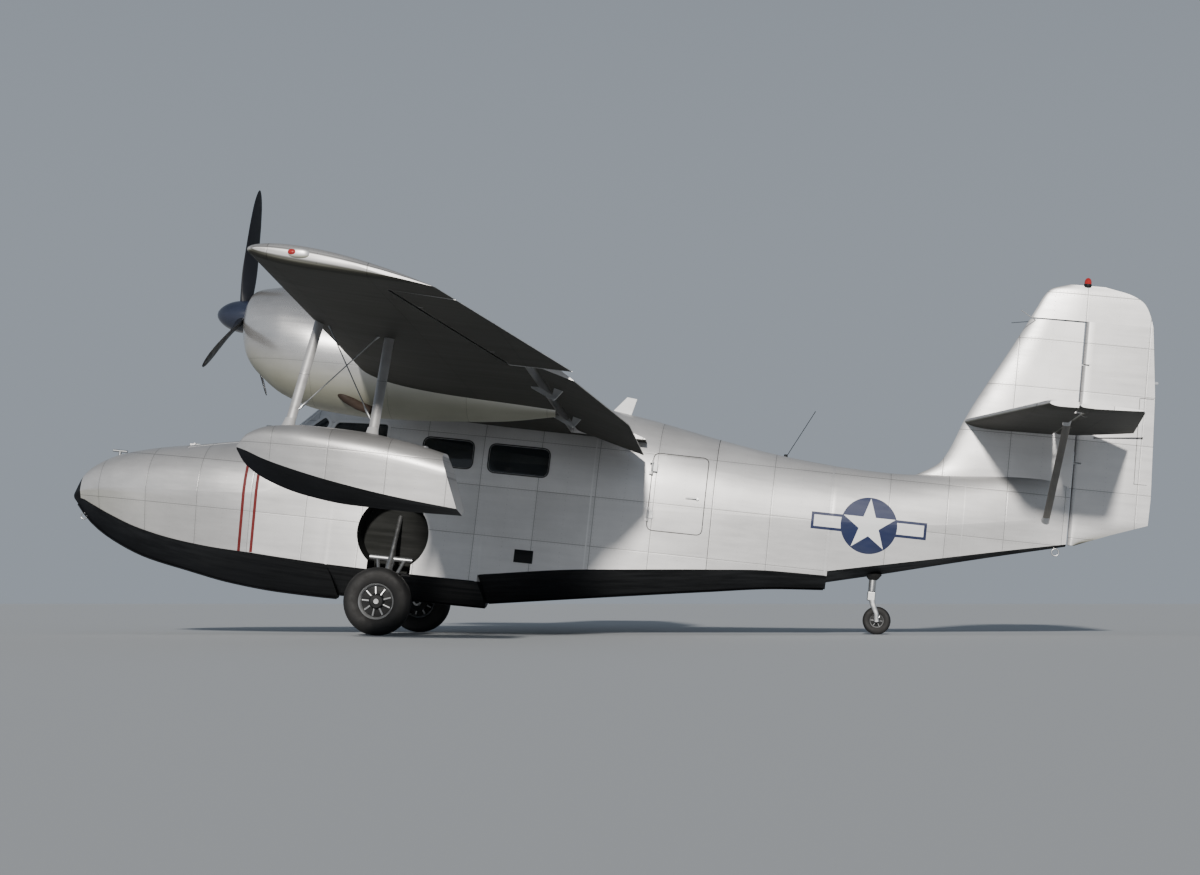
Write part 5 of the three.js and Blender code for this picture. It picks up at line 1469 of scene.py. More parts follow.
@dataclass
class Wing:
    """Wing panels with their coves, ailerons, drooped flaps, brackets and lights."""

    # y, nose x, nose z, tail x, tail z, thickness over chord
    stations: Array = table(
        [0.380, 0.961, 1.749, -1.320, 1.538, 0.150],
        [2.200, 0.855, 1.839, -1.320, 1.667, 0.145],
        [6.040, 0.632, 2.027, -0.504, 1.897, 0.110],
    )
    camber: float = 0.02
    tip: float = 6.105
    chord_steps: int = 34
    aileron: Hinged = field(default_factory=lambda: Hinged(3.618, 5.750, -0.600, -0.180, 0.025, 0.025))
    flap: Hinged = field(default_factory=lambda: Hinged(0.643, 3.587, -0.745, -0.745, 0.005, 0.060))
    flap_hinge_x: float = -0.800
    flap_drop: float = 0.070
    flap_rest: float = math.radians(15)
    clearance: float = 0.008
    end_gap: float = 0.014
    eye: float = 0.016
    aileron_hinges: Pair = (0.2, 0.8)
    flap_hinges: Pair = (0.29, 0.73)
    light: Pair = (0.31, 6.097)

    def thickness(self, s: Array) -> Array:
        """Half thickness of the section over its chord for a thickness ratio of one."""
        return 5 * (0.2969 * np.sqrt(s) - 0.126 * s - 0.3516 * s**2 + 0.2843 * s**3 - 0.1015 * s**4)

    def surface(self, y: Array, x: Array, side: int) -> Array:
        """Height of the upper (1) or lower (-1) surface at places."""
        row = straight_rows(self.stations, np.atleast_1d(y))
        _, nose_x, nose_z, tail_x, tail_z, ratio = row.T
        chord = nose_x - tail_x
        s = np.clip((nose_x - x) / chord, 0, 1)
        mean = nose_z + (tail_z - nose_z) * s + 4 * self.camber * chord * s * (1 - s)
        return mean + side * ratio * chord * self.thickness(s)

    def panel(self) -> Form:
        """The whole port panel with a rounded tip."""
        span = self.tip - self.stations[-1, 0]
        inner = spaced(self.stations[0, 0], self.stations[-1, 0], 0.06)
        turn = np.linspace(0, np.pi / 2, 9)[1:-1]
        y = np.concatenate([inner, self.stations[-1, 0] + span * np.sin(turn)])
        row = straight_rows(self.stations, y)
        row[:, 0] = y
        shrink = np.concatenate([np.ones(len(inner)), np.cos(turn)])
        row[:, 1] -= (1 - shrink) * 0.06
        row[:, 3] += (1 - shrink) * 0.02
        row[:, 5] *= 0.15 + 0.85 * shrink
        s = (1 - np.cos(np.linspace(0, np.pi, self.chord_steps))) / 2
        _, nose_x, nose_z, tail_x, tail_z, ratio = (column[:, None] for column in row.T)
        chord = np.hypot(nose_x - tail_x, nose_z - tail_z)
        along = np.stack([(tail_x - nose_x) / chord, (tail_z - nose_z) / chord])
        rise = 4 * self.camber * chord * s * (1 - s)
        half = ratio * chord * self.thickness(s)

        def place(height: Array) -> Array:
            """Points at the chord steps and at heights square to the chord."""
            px = nose_x + along[0] * s * chord + along[1] * height
            pz = nose_z + along[1] * s * chord - along[0] * height
            return np.stack([px, np.broadcast_to(y[:, None], px.shape), pz], -1)

        upper, lower = place(rise + half)[:, ::-1], place(rise - half)[:, 1:]
        return loft(np.concatenate([upper, lower], axis=1), 0)

    def nose(self, part: Hinged, y: Array) -> tuple[Array, Array, Array]:
        """Nose centre and radius of a trailing surface, within the wing's own thickness."""
        x = part.nose_x(y)
        upper, lower = self.surface(y, x, 1), self.surface(y, x, -1)
        return x, (upper + lower) / 2, (upper - lower) / 2 - 0.002

    def trailing(self, part: Hinged) -> Form:
        """A trailing surface: a round nose, then the wing's own upper and lower lines to its edge."""
        y = spaced(part.inner, part.outer, 0.08)
        x, z, radius = (column[:, None] for column in self.nose(part, y))
        turn = np.linspace(np.pi / 2, -np.pi / 2, 15)
        arc_x, arc_z = x + radius * np.cos(turn), z + radius * np.sin(turn)
        arc = np.stack([arc_x, np.broadcast_to(y[:, None], arc_x.shape), arc_z], -1)
        tail_x = straight_rows(self.stations, y)[:, 3][:, None]
        t = np.linspace(0, 1, 16)[1:]
        back = x + (tail_x - x) * t
        wide = np.broadcast_to(y[:, None], back.shape)

        def line(surface: int) -> Array:
            """The upper (1) or lower (-1) line, sunk a little at the nose."""
            heights = np.stack([self.surface(y, column, surface) for column in back.T], 1)
            return np.stack([back, wide, heights - surface * 0.002 * (1 - t)], -1)

        return loft(np.concatenate([arc, line(-1), line(1)[:, ::-1]], axis=1), 0)

    def room(self, part: Hinged) -> list[Form]:
        """Cove and lips that a trailing surface needs in the panel."""
        gap, depth, rise = self.end_gap, 0.9, 0.3
        y = np.array([part.inner - gap, *spaced(part.inner, part.outer, 0.4), part.outer + gap])
        x, z, radius = self.nose(part, y)
        reach = (radius + self.clearance)[:, None]
        turn = np.linspace(np.pi / 2, -np.pi / 2, 17)
        x, z, wide = x[:, None], z[:, None], y[:, None]
        arc_x, arc_z = x + reach * np.cos(turn), z + reach * np.sin(turn)
        arc = np.stack([arc_x, np.broadcast_to(wide, arc_x.shape), arc_z], -1)
        ends = [np.hstack([x - depth, wide, z + up]) for up in (-reach - 0.2, reach + 0.2)]
        cove = loft(np.concatenate([arc, np.stack(ends, 1)], axis=1), 0)
        upper, lower = part.lip_upper, part.lip_lower
        corners = [(upper, 0), (upper, rise), (-depth, rise), (-depth, -rise), (lower, -rise), (lower, 0)]
        lips = np.stack([np.hstack([x + dx, wide, z + dz]) for dx, dz in corners], axis=1)
        return [cove, loft(lips, 0)]

    def hinge(self, part: Hinged, flap: bool) -> tuple[Array, Array]:
        """Ends of a hinge line."""
        ends = []
        for y in (part.inner, part.outer):
            if flap:
                z = self.surface(np.array([y]), np.array([self.flap_hinge_x]), -1)[0] - self.flap_drop
                ends.append(np.array([self.flap_hinge_x, y, z]))
            else:
                x, z, _ = self.nose(part, np.array([y]))
                ends.append(np.array([float(x[0]), y, float(z[0])]))
        return ends[0], ends[1]

    @staticmethod
    def plate(centre: Array, along: Array, outline: Array, lo: float, hi: float) -> Form:
        """A plate square to a hinge line, its outline in forward and up."""
        forward, up = frame_of(along[None], (1.0, 0.0, 0.0))
        if up[0, 2] < 0:
            up = -up
        unit = along / np.linalg.norm(along)
        flat = centre + forward * outline[:, :1] + up * outline[:, 1:]
        return loft(np.stack([flat + unit * lo, flat + unit * hi]), 0)

    @staticmethod
    def arm(eye: float, root_a: Pair, root_b: Pair) -> Array:
        """Outline of a bracket: a round eye widening to its root, which runs from root_b to root_a."""
        start = math.atan2(root_a[1], root_a[0]) + math.pi / 2
        end = math.atan2(root_b[1], root_b[0]) + 1.5 * math.pi
        t = np.linspace(start, end, 14)
        return np.vstack([[root_b], [root_a], np.column_stack([eye * np.cos(t), eye * np.sin(t)])])

    def build(self) -> None:
        """Makes both wings."""
        for side in Side:
            tag = side.tag
            cuts: list[Cut] = []
            for part in (self.aileron, self.flap):
                cuts += [(form.on(side), Carve.LESS) for form in self.room(part)]
            obj = Workshop.solid("wing", self.panel().on(side), cuts)
            Workshop.fixed(f"wing_panel_{tag}", obj, [WING_METAL], (f"wing_{tag}",))
            brackets = self.ailerons(side) + self.flaps(side)
            Workshop.fixed(f"wing_brackets_{tag}", brackets.on(side), [STEEL], bevel=0.001)
            self.lights(side)

    def ailerons(self, side: Side) -> Form:
        """Makes an aileron; returns the port brackets that carry it."""
        a, b = self.hinge(self.aileron, False)
        notch = np.array([[-0.024, -0.2], [0.2, -0.2], [0.2, 0.2], [-0.024, 0.2]])
        outline = self.arm(self.eye, (0.13, 0.014), (0.13, -0.014))
        brackets = Form()
        slots: list[Cut] = []
        for share in self.aileron_hinges:
            eye = a + (b - a) * share
            brackets += self.plate(eye, b - a, outline, -0.006, 0.006)
            slots.append((self.plate(eye, b - a, notch, -0.0063, 0.0063).on(side), Carve.LESS))
        skin = Workshop.solid("aileron", self.trailing(self.aileron).on(side), slots)
        name = f"aileron_{side.tag}"
        Workshop.piece(f"aileron_skin_{side.tag}", skin, name, [WING_METAL], (name,))
        return brackets

    def flaps(self, side: Side) -> Form:
        """Makes a flap with its horns, drooped to its rest; returns the port brackets that carry it."""
        a, b = self.hinge(self.flap, True)
        unit = (b - a) / np.linalg.norm(b - a)
        fixed = self.arm(self.eye, (0.2, 0.11), (0.17, 0.06))
        moving = self.arm(self.eye, (-0.06, 0.11), (0.03, 0.12))
        brackets, horns = Form(), Form()
        for share in self.flap_hinges:
            eye = a + (b - a) * share
            brackets += self.plate(eye, b - a, fixed, 0.00015, 0.012)
            horns += self.plate(eye, b - a, moving, -0.012, -0.00015)
            brackets += rod(eye - unit * 0.02, eye + unit * 0.02, 0.007, 14)
        skin = self.trailing(self.flap).turned(a, b - a, -self.flap_rest)
        horns = horns.turned(a, b - a, -self.flap_rest)
        name = f"flap_{side.tag}"
        Workshop.piece(f"flap_skin_{side.tag}", skin.on(side), name, [WING_METAL], (name,))
        Workshop.piece(f"flap_horns_{side.tag}", horns.on(side), name, [STEEL], bevel=0.001)
        return brackets

    def lights(self, side: Side) -> None:
        """Makes the position light on the tip's leading edge."""
        x, y = self.light
        outer, along = self.stations[-1, :1], np.array([x])
        z = float(self.surface(outer, along, 1)[0] + self.surface(outer, along, -1)[0]) / 2
        base = cushion_form((x, y, z + 0.012), (0.13, 0.05, 0.06), 0.8)
        Workshop.fixed(f"tip_light_base_{side.tag}", base.on(side), [FRAME_METAL])
        lens = cushion_form((x + 0.035, y + 0.012, z + 0.014), (0.055, 0.036, 0.036), 0.9)
        glass = RED_GLASS if side is Side.LEFT else GREEN_GLASS
        Workshop.fixed(f"tip_light_{side.tag}", lens.on(side), [glass])


# Power


@dataclass
class Power:
    """Nacelles with open cowlings, engines and three-bladed propellers."""

    y: float = 1.700
    # x, centre z, half width, half height
    stations: Array = table(
        [1.880, 2.095, 0.185, 0.205],
        [1.845, 2.080, 0.255, 0.275],
        [1.700, 2.030, 0.350, 0.372],
        [1.520, 1.985, 0.415, 0.440],
        [1.230, 1.926, 0.440, 0.467],
        [0.940, 1.900, 0.438, 0.462],
        [0.520, 1.858, 0.395, 0.415],
        [0.100, 1.795, 0.320, 0.325],
        [-0.300, 1.715, 0.215, 0.205],
        [-0.700, 1.640, 0.060, 0.055],
    )
    skin: float = 0.022
    firewall: float = 0.960
    thrust_z: float = 2.150
    prop_x: float = 1.935
    phases: Pair = (math.radians(-1), math.radians(-18))
    # radius at which the blade's tip starts to round off, and the length that it takes
    round_from: float = 0.88
    round_length: float = 0.169
    case_profile: Array = table(
        [0, -0.06], [0.12, -0.06], [0.12, 0.03], [0.085, 0.09], [0.085, 0.19], [0.06, 0.2], [0, 0.2]
    )
    case_x: float = 1.60
    spinner: Triple = (0.134, -0.045, 0.27)
    exhaust_path: Array = table(
        [1.02, 0.27, 1.60], [0.95, 0.28, 1.545], [0.85, 0.285, 1.50], [0.74, 0.285, 1.47]
    )
    # radius, chord, thickness, pitch in degrees
    blade_stations: Array = table(
        [0.060, 0.090, 0.080, 50],
        [0.180, 0.118, 0.046, 44],
        [0.420, 0.158, 0.024, 32],
        [0.720, 0.150, 0.015, 22],
        [0.960, 0.112, 0.009, 17],
        [1.048, 0.098, 0.005, 15],
    )

    def ring(self, rows: Array, grow: float) -> Array:
        """Oval sections of the cowling."""
        t = angles(72)
        x, z, half, rise = (column[:, None] for column in rows.T)
        across, up = self.y + (half + grow) * np.cos(t), z + (rise + grow) * np.sin(t)
        return np.stack([np.broadcast_to(x, across.shape), across, up], -1)

    def nacelle(self) -> Form:
        """Cowling and fairing as one skin: back from the firewall inside, round the lip, and aft outside."""
        outer_x = tipped(-0.7, 1.7, 0.04, 0.18, 10)
        outer = smooth_rows(self.stations, outer_x)
        inner = smooth_rows(self.stations, spaced(self.firewall, 1.866, 0.04))
        outer_rings, inner_rings = self.ring(outer[::-1], 0.0), self.ring(inner, -self.skin)
        return loft(np.concatenate([inner_rings, outer_rings]), METAL)

    def blade(self, phase: float) -> Form:
        """One blade: oval sections that twist and thin towards a rounded tip."""
        radius = tipped(0.06, 0.96, 0.03, 0.088, 9)
        rows = smooth_rows(self.blade_stations, radius)
        rows[:, 1] *= np.sqrt(
            np.clip(1 - ((radius - self.round_from) / self.round_length).clip(0) ** 2, 0.004, 1)
        )
        out = np.array([0, math.sin(phase), math.cos(phase)])
        tangent = np.array([0, math.cos(phase), -math.sin(phase)])
        pitch = np.radians(rows[:, 3])[:, None]
        along = tangent * np.cos(pitch) + np.array([1.0, 0, 0]) * np.sin(pitch)
        through = np.cross(np.broadcast_to(out, along.shape), along)
        t = angles(28)
        chord, thick = rows[:, 1][:, None, None], rows[:, 2][:, None, None]
        rings = (
            out * rows[:, 0][:, None, None]
            + along[:, None] * (np.cos(t)[None, :, None] * chord / 2)
            + through[:, None] * (np.sin(t)[None, :, None] * thick / 2)
        )
        return loft(rings, 0)

    def build(self) -> None:
        """Makes both engines' pieces."""
        wing = Wing()
        for side, phase in zip(Side, self.phases):
            tag = side.tag
            cuts: list[Cut] = [(form.on(side), Carve.LESS) for form in wing.room(wing.flap)]
            cowling = Workshop.solid("cowling", self.nacelle().on(side), cuts)
            Workshop.fixed(f"cowling_{tag}", cowling, [COWL_METAL], (f"nacelle_{tag}",))
            self.engine(side)
            self.propeller(side, phase)
            self.exhaust(side)

    def engine(self, side: Side) -> None:
        """The block behind the intake, its nose case and the fins of its cylinders."""
        y, tag = self.y, side.tag
        body = block((0.962, y - 0.25, 1.86), (self.case_x, y + 0.25, 2.17), 0)
        Workshop.fixed(f"engine_block_{tag}", body.on(side), [ENGINE_GREY], (f"engine_{tag}",), bevel=0.03)
        case = revolve(self.case_profile, (self.case_x, y, self.thrust_z), (1, 0, 0), 40)
        Workshop.fixed(f"engine_nose_{tag}", case.on(side), [STEEL])
        fins = Form()
        for x in 1.06 + 0.1 * np.arange(6):
            for z in (1.948, 1.972):
                fins += block((x - 0.035, y - 0.31, z), (x + 0.035, y + 0.31, z + 0.011))
        Workshop.fixed(f"cylinder_fins_{tag}", fins.on(side), [DARK_METAL])

    def propeller(self, side: Side, phase: float) -> None:
        """Blades, spinner and shaft about the thrust line."""
        x, y, z = centre = (self.prop_x, side.sign * self.y, self.thrust_z)
        body = f"propeller_{side.tag}"
        blades = Form()
        for i in range(3):
            blades += self.blade(phase + i * 2 * math.pi / 3)
        Workshop.piece(f"blades_{side.tag}", blades.moved(centre), body, [BLADE_BLACK], (body,))
        t = np.linspace(0, 1, 22)
        radius, foot, length = self.spinner
        profile = np.column_stack([radius * (1 - t**2.3) ** 0.62, foot + length * t])
        profile[-1, 0] = 0
        shell = np.vstack([[[0, -0.049], [0.125, -0.049], [radius, -0.047]], profile])
        Workshop.piece(f"spinner_{side.tag}", revolve(shell, centre, (1, 0, 0), 72), body, [SPINNER_NAVY])
        shaft = rod((x - 0.13, y, z), (x + foot, y, z), 0.048, 32)
        Workshop.piece(f"prop_shaft_{side.tag}", shaft, body, [STEEL])

    def exhaust(self, side: Side) -> None:
        """A short exhaust stack under the cowling, outboard."""
        pipe = tube(self.exhaust_path + np.array([0, self.y, 0]), 0.036, 24, hint=(0, 1, 0))
        Workshop.fixed(f"exhaust_{side.tag}", pipe.on(side), [EXHAUST_RUST])


# Floats


@dataclass
class Floats:
    """Wing tip floats with black bottoms, their struts and crossed stays."""

    y: float = 4.360
    # x, keel z, chine y, chine z, deck edge y, deck z
    stations: Array = table(
        [1.065, 0.946, 0.006, 0.960, 0.008, 0.975],
        [1.000, 0.860, 0.052, 0.945, 0.058, 1.055],
        [0.840, 0.765, 0.118, 0.895, 0.130, 1.122],
        [0.560, 0.686, 0.175, 0.830, 0.190, 1.148],
        [0.250, 0.652, 0.196, 0.775, 0.208, 1.142],
        [-0.100, 0.648, 0.188, 0.728, 0.200, 1.100],
        [-0.520, 0.656, 0.150, 0.690, 0.165, 1.010],
    )
    transom: Array = table(
        [-0.346, 1.12], [-0.346, 1.025], [-0.502, 0.64], [-0.9, 0.6], [-0.9, 1.3]
    )
    struts: tuple[tuple[Triple, Triple], ...] = (
        ((0.735, 4.360, 1.120), (0.668, 4.080, 1.960)),
        ((0.165, 4.360, 1.110), (0.183, 4.080, 1.900)),
    )
    plugs: tuple[Pair, Pair] = ((0.86, 1.095), (-0.2, 1.06))
    wire: float = 0.004

    def hull(self) -> Form:
        """The float: a straight vee bottom, a flared side and an arched deck."""
        x = tipped(-0.52, 0.98, 0.025, 0.085, 9)
        rows = smooth_rows(self.stations, x)
        x, keel, chine_y, chine_z, deck_y, deck_z = (column[:, None] for column in rows.T)
        t = np.arange(8) / 8
        depth, freeboard = chine_z - keel, deck_z - chine_z
        bottom = np.stack([chine_y * t, keel + depth * t + 0.04 * np.sin(np.pi * t) * depth], -1)
        flare = np.stack([chine_y + (deck_y - chine_y) * t, chine_z + freeboard * 0.62 * t], -1)
        a = np.linspace(0, np.pi / 2, 15)
        arch = np.stack([deck_y * np.cos(a) ** 0.7, chine_z + freeboard * (0.62 + 0.38 * np.sin(a))], -1)
        arch[:, -1, 0] = 0
        flat = mirrored_half(np.concatenate([bottom, flare, arch], axis=1))
        rings = at_stations(x, flat) + np.array([0, self.y, 0])
        marks = np.zeros(flat.shape[1], int)
        marks[:8] = marks[-8:] = 1
        return loft(rings, marks)

    def build(self) -> None:
        """Makes both floats and their rigging."""
        for side in Side:
            tag = side.tag
            cut = prism(self.transom, "y", self.y - 0.5, self.y + 0.5).on(side)
            obj = Workshop.solid("float", self.hull().on(side), [(cut, Carve.LESS)])
            Workshop.fixed(f"float_skin_{tag}", obj, [FLOAT_METAL, BOTTOM_BLACK], (f"wing_float_{tag}",))
            bars, cuffs = self.bars()
            Workshop.fixed(f"float_bars_{tag}", bars.on(side), [FLOAT_METAL], (f"float_struts_{tag}",))
            Workshop.fixed(f"float_cuffs_{tag}", cuffs.on(side), [FRAME_METAL])
            Workshop.fixed(f"float_stays_{tag}", self.stays().on(side), [STEEL])
            plugs = rods(*(((x, self.y, z), (x, self.y, z + 0.03), 0.022, 24, 0.006) for x, z in self.plugs))
            Workshop.fixed(f"float_plugs_{tag}", plugs.on(side), [STEEL])

    def bars(self) -> tuple[Form, Form]:
        """The port struts, and the cuffs at their ends."""
        bars, cuffs = Form(), Form()
        along = np.array([[-0.03], [0.0], [0.03], [0.07]])
        wide, thin = np.array([0.055, 0.05, 0.043, 0.036]), np.array([0.034, 0.03, 0.024, 0.019])
        for foot, head in self.struts:
            a, b = np.array(foot), np.array(head)
            bars += self.fair(a, b, 0.034, 0.017)
            for end, inward in ((a, b - a), (b, a - b)):
                cuffs += tube(end + inward / np.linalg.norm(inward) * along, wide, 28, thin)
        return bars, cuffs

    def stays(self) -> Form:
        """The port stays, crossed between the struts, with a turnbuckle near each end."""
        (fa, fb), (ra, rb) = [(np.array(foot), np.array(head)) for foot, head in self.struts]
        along = np.array([[-0.045], [-0.02], [0.0], [0.02], [0.045]])
        bulge = np.array([0.005, 0.009, 0.0095, 0.009, 0.005])
        stays = Form()
        for a, b in ((fa + (fb - fa) * 0.1, rb), (ra + (rb - ra) * 0.1, fb)):
            stays += rod(a, b, self.wire, 10)
            for share in (0.12, 0.88):
                path = a + (b - a) * share + (b - a) / np.linalg.norm(b - a) * along
                stays += tube(path, bulge, 14)
        return stays

    @staticmethod
    def fair(a: Array, b: Array, long: float, thin: float) -> Form:
        """A streamlined strut: oval, its rear half drawn out to an edge."""
        t = angles(32)
        u = np.where(np.cos(t) > 0, 0.85, 1.15) * np.cos(t) * long
        v = np.sin(t) * thin * np.where(np.cos(t) > 0, 1.0, 1 - 0.45 * np.abs(np.cos(t)) ** 2)
        across, through = frame_of((b - a)[None], (1.0, 0.0, 0.0))
        ring = across * u[:, None] + through * v[:, None]
        return loft(np.stack([a + ring, b + ring]), 0)


# Tail


@dataclass
class Tail:
    """Fin, rudder, tailplane, elevators, their struts and the beacon."""

    # z, nose x, half thickness
    fin_stations: Array = table(
        [1.490, -3.560, 0.040],
        [1.560, -3.700, 0.046],
        [1.640, -3.815, 0.050],
        [1.760, -3.890, 0.052],
        [2.040, -4.000, 0.050],
        [2.730, -4.360, 0.040],
        [2.962, -4.478, 0.036],
    )
    fin_rear: float = -4.940
    rudder_x: float = -4.985
    # z, tail x, nose radius
    rudder_stations: Array = table(
        [1.046, -5.010, 0.030],
        [1.160, -5.290, 0.033],
        [1.277, -5.610, 0.036],
        [1.515, -5.616, 0.038],
        [2.400, -5.580, 0.034],
        [2.976, -5.520, 0.030],
    )
    # z, nose x, tail x, half thickness
    horn_stations: Array = table(
        [2.976, -4.484, -5.520, 0.030],
        [3.090, -4.540, -5.482, 0.027],
        [3.176, -4.583, -5.430, 0.024],
        [3.240, -4.640, -5.320, 0.018],
        [3.290, -4.790, -5.090, 0.008],
    )
    plane_z: float = 2.022
    # y, nose x, tail x, half thickness
    plane_stations: Array = table(
        [0.020, -4.000, -5.410, 0.056], [1.900, -4.420, -5.200, 0.038], [2.045, -4.470, -5.165, 0.024]
    )
    elevator_x: float = -4.800
    elevator: Box = (0.078, 2.045, 1.780, -4.700)
    clearance: float = 0.008
    rudder_hinges: Pair = (1.75, 2.6)
    elevator_hinges: Pair = (0.3, 0.75)
    bracket: Pair = (0.006, 0.0063)
    strut: tuple[Triple, Triple] = ((-4.745, 0.062, 1.215), (-4.730, 1.080, 2.010))
    rudder_top: float = 3.290
    # foot and head of the tab's front seam: x, y, z
    tab_seam: tuple[Triple, Triple] = ((-5.465, 0.0162, 1.62), (-5.455, 0.0152, 2.36))
    light_z: float = 2.5
    beacon_seat: Triple = (-4.940, 0.0, 3.2903)
    dome_profile: Array = table(
        [0, 0.012], [0.03, 0.012], [0.031, 0.03], [0.028, 0.047], [0.019, 0.062], [0.008, 0.069], [0, 0.07]
    )
    seat_profile: Array = table(
        [0, -0.012], [0.03, -0.012], [0.034, 0.0], [0.034, 0.01], [0.031, 0.014], [0, 0.014]
    )

    @staticmethod
    def foil(nose: Array, rear: Array, half: Array, rear_half: Array) -> tuple[Array, Array]:
        """Places along and across symmetrical sections with an oval nose and straight rear."""
        s = (1 - np.cos(np.linspace(0, np.pi, 22))) / 2
        nose, rear, half, rear_half = (np.asarray(v, float)[:, None] for v in (nose, rear, half, rear_half))
        thick = 0.35
        round_part = half * np.sqrt(np.clip(1 - ((thick - s) / thick) ** 2, 0, None))
        width = np.where(s < thick, round_part, half + (rear_half - half) * (s - thick) / (1 - thick))
        along = nose + (rear - nose) * s
        width = np.broadcast_to(width, along.shape)
        return (
            np.concatenate([along[:, ::-1], along[:, 1:]], axis=1),
            np.concatenate([width[:, ::-1], -width[:, 1:]], axis=1),
        )

    @staticmethod
    def upright(along: Array, across: Array, level: Array) -> Form:
        """A form from sections stacked by height."""
        return loft(np.stack([along, across, np.broadcast_to(level[:, None], along.shape)], -1), 0)

    def flat(self, along: Array, across: Array, y: Array) -> Form:
        """A form from sections stacked along the span at the tailplane's height."""
        return loft(np.stack([along, np.broadcast_to(y[:, None], along.shape), self.plane_z + across], -1), 0)

    @staticmethod
    def hinged(nose_x: Array, radius: Array, tail_x: Array, tail_half: float) -> tuple[Array, Array]:
        """Sections with a round nose, then nearly straight to a thin edge."""
        turn = np.linspace(np.pi / 2, -np.pi / 2, 15)
        nose_x, radius, tail_x = (np.asarray(v, float)[:, None] for v in (nose_x, radius, tail_x))
        t = np.linspace(0, 1, 12)[1:]
        back = nose_x + (tail_x - nose_x) * t
        width = radius + (tail_half - radius) * t + 0.08 * radius * np.sin(np.pi * t)
        along = np.concatenate([nose_x + radius * np.cos(turn), back, back[:, ::-1]], axis=1)
        across = np.concatenate([radius * np.sin(turn), -width, width[:, ::-1]], axis=1)
        return along, across

    def build(self) -> None:
        """Makes the whole tail."""
        self.fin()
        self.rudder()
        for side in Side:
            self.tailplane(side)
        self.elevators()
        self.beacon()

    def fin(self) -> None:
        """Fin with its fillet on the deck, and the brackets that carry the rudder."""
        z = np.concatenate([spaced(1.49, 1.8, 0.02), spaced(1.84, 2.962, 0.06)])
        _, nose_x, half = smooth_rows(self.fin_stations, z).T
        form = self.upright(*self.foil(nose_x, np.full(len(z), self.fin_rear), half, half * 0.82), z)
        Workshop.fixed("fin_skin", form, [TAIL_METAL], ("fin",))
        outline = Wing.arm(0.0136, (0.08, 0.011), (0.08, -0.011))
        up, thick = np.array([0.0, 0.0, 1.0]), self.bracket[0]
        brackets = Form()
        for level in self.rudder_hinges:
            brackets += Wing.plate(np.array([self.rudder_x, 0, level]), up, outline, -thick, thick)
        Workshop.fixed("fin_brackets", brackets, [STEEL], bevel=0.001)

    def rudder(self) -> None:
        """Rudder with its balance horn, its tab's outline, the tab's rod and the tail light."""
        x, room = self.rudder_x, self.bracket[1]
        z = np.concatenate([spaced(1.046, 1.277, 0.03), spaced(1.3, 2.976, 0.07)])
        _, tail_x, radius = straight_rows(self.rudder_stations, z).T
        lower = self.upright(*self.hinged(np.full(len(z), x), radius, tail_x, 0.004), z)
        cuts: list[Cut] = []
        for level in self.rudder_hinges:
            cuts.append((block((x - 0.021, -0.2, level - room), (x + 0.2, 0.2, level + room)), Carve.LESS))
        skin = Workshop.solid("rudder_lower", lower, cuts)
        Workshop.piece("rudder_skin", skin, "rudder", [TAIL_METAL], ("rudder",))
        foot = self.horn_stations[0, 0]
        z = foot + (self.rudder_top - foot) * np.sin(np.linspace(0, np.pi / 2, 22))
        _, nose_x, tail_x, half = smooth_rows(self.horn_stations, z).T
        horn = self.upright(*self.foil(nose_x, tail_x, half, np.full(len(z), 0.004)), z)
        Workshop.piece("rudder_horn", horn, "rudder", [TAIL_METAL])
        tab = Form()
        for y in (-1, 1):
            tab += tube(np.array(self.tab_seam) * np.array([1, y, 1]), 0.002, 8)
            for _, out, level in self.tab_seam:
                tab += rod((-5.46, y * out, level), (-5.575, y * 0.005, level), 0.002, 8)
        tab += rod((-5.10, 0.036, 1.98), (-5.50, 0.03, 2.02), 0.004, 12)
        for end, lo, hi, level in ((-5.50, 0.005, 0.034, 2.02), (-5.10, 0.02, 0.04, 1.98)):
            tab += rod((end, lo, level), (end, hi, level), 0.006, 12)
        Workshop.piece("rudder_tab", tab, "rudder", [DARK_METAL])
        edge = float(straight_rows(self.rudder_stations, np.array([2.4]))[0, 1])
        light = rod((edge + 0.01, 0, self.light_z), (edge - 0.02, 0, self.light_z), 0.014, 20, 0.005)
        Workshop.piece("tail_light", light, "rudder", [CLEAR_GLASS])

    def plane_rows(self, y: Array) -> Array:
        """Rows of the tailplane's stations."""
        return straight_rows(self.plane_stations, y)

    def elevator_room(self, side: Side) -> list[Form]:
        """Space behind and round the elevator's nose, and beside its horn."""
        y = np.array([-0.1, *spaced(0.0, 1.9, 0.3), 2.3])
        radius = self.plane_rows(y)[:, 3] * 0.8 + self.clearance
        cove = self.hinged(np.full(len(y), self.elevator_x), radius, np.full(len(y), -5.7), 0.4)
        _, _, horn_y, horn_x = self.elevator
        return [
            self.flat(*cove, y).on(side),
            block((-5.7, -0.1, 1.7), (self.elevator_x + 0.022, 2.3, 2.4)).on(side),
            block((-5.0, horn_y - 0.01, 1.7), (horn_x + 0.014, 2.3, 2.4)).on(side),
        ]

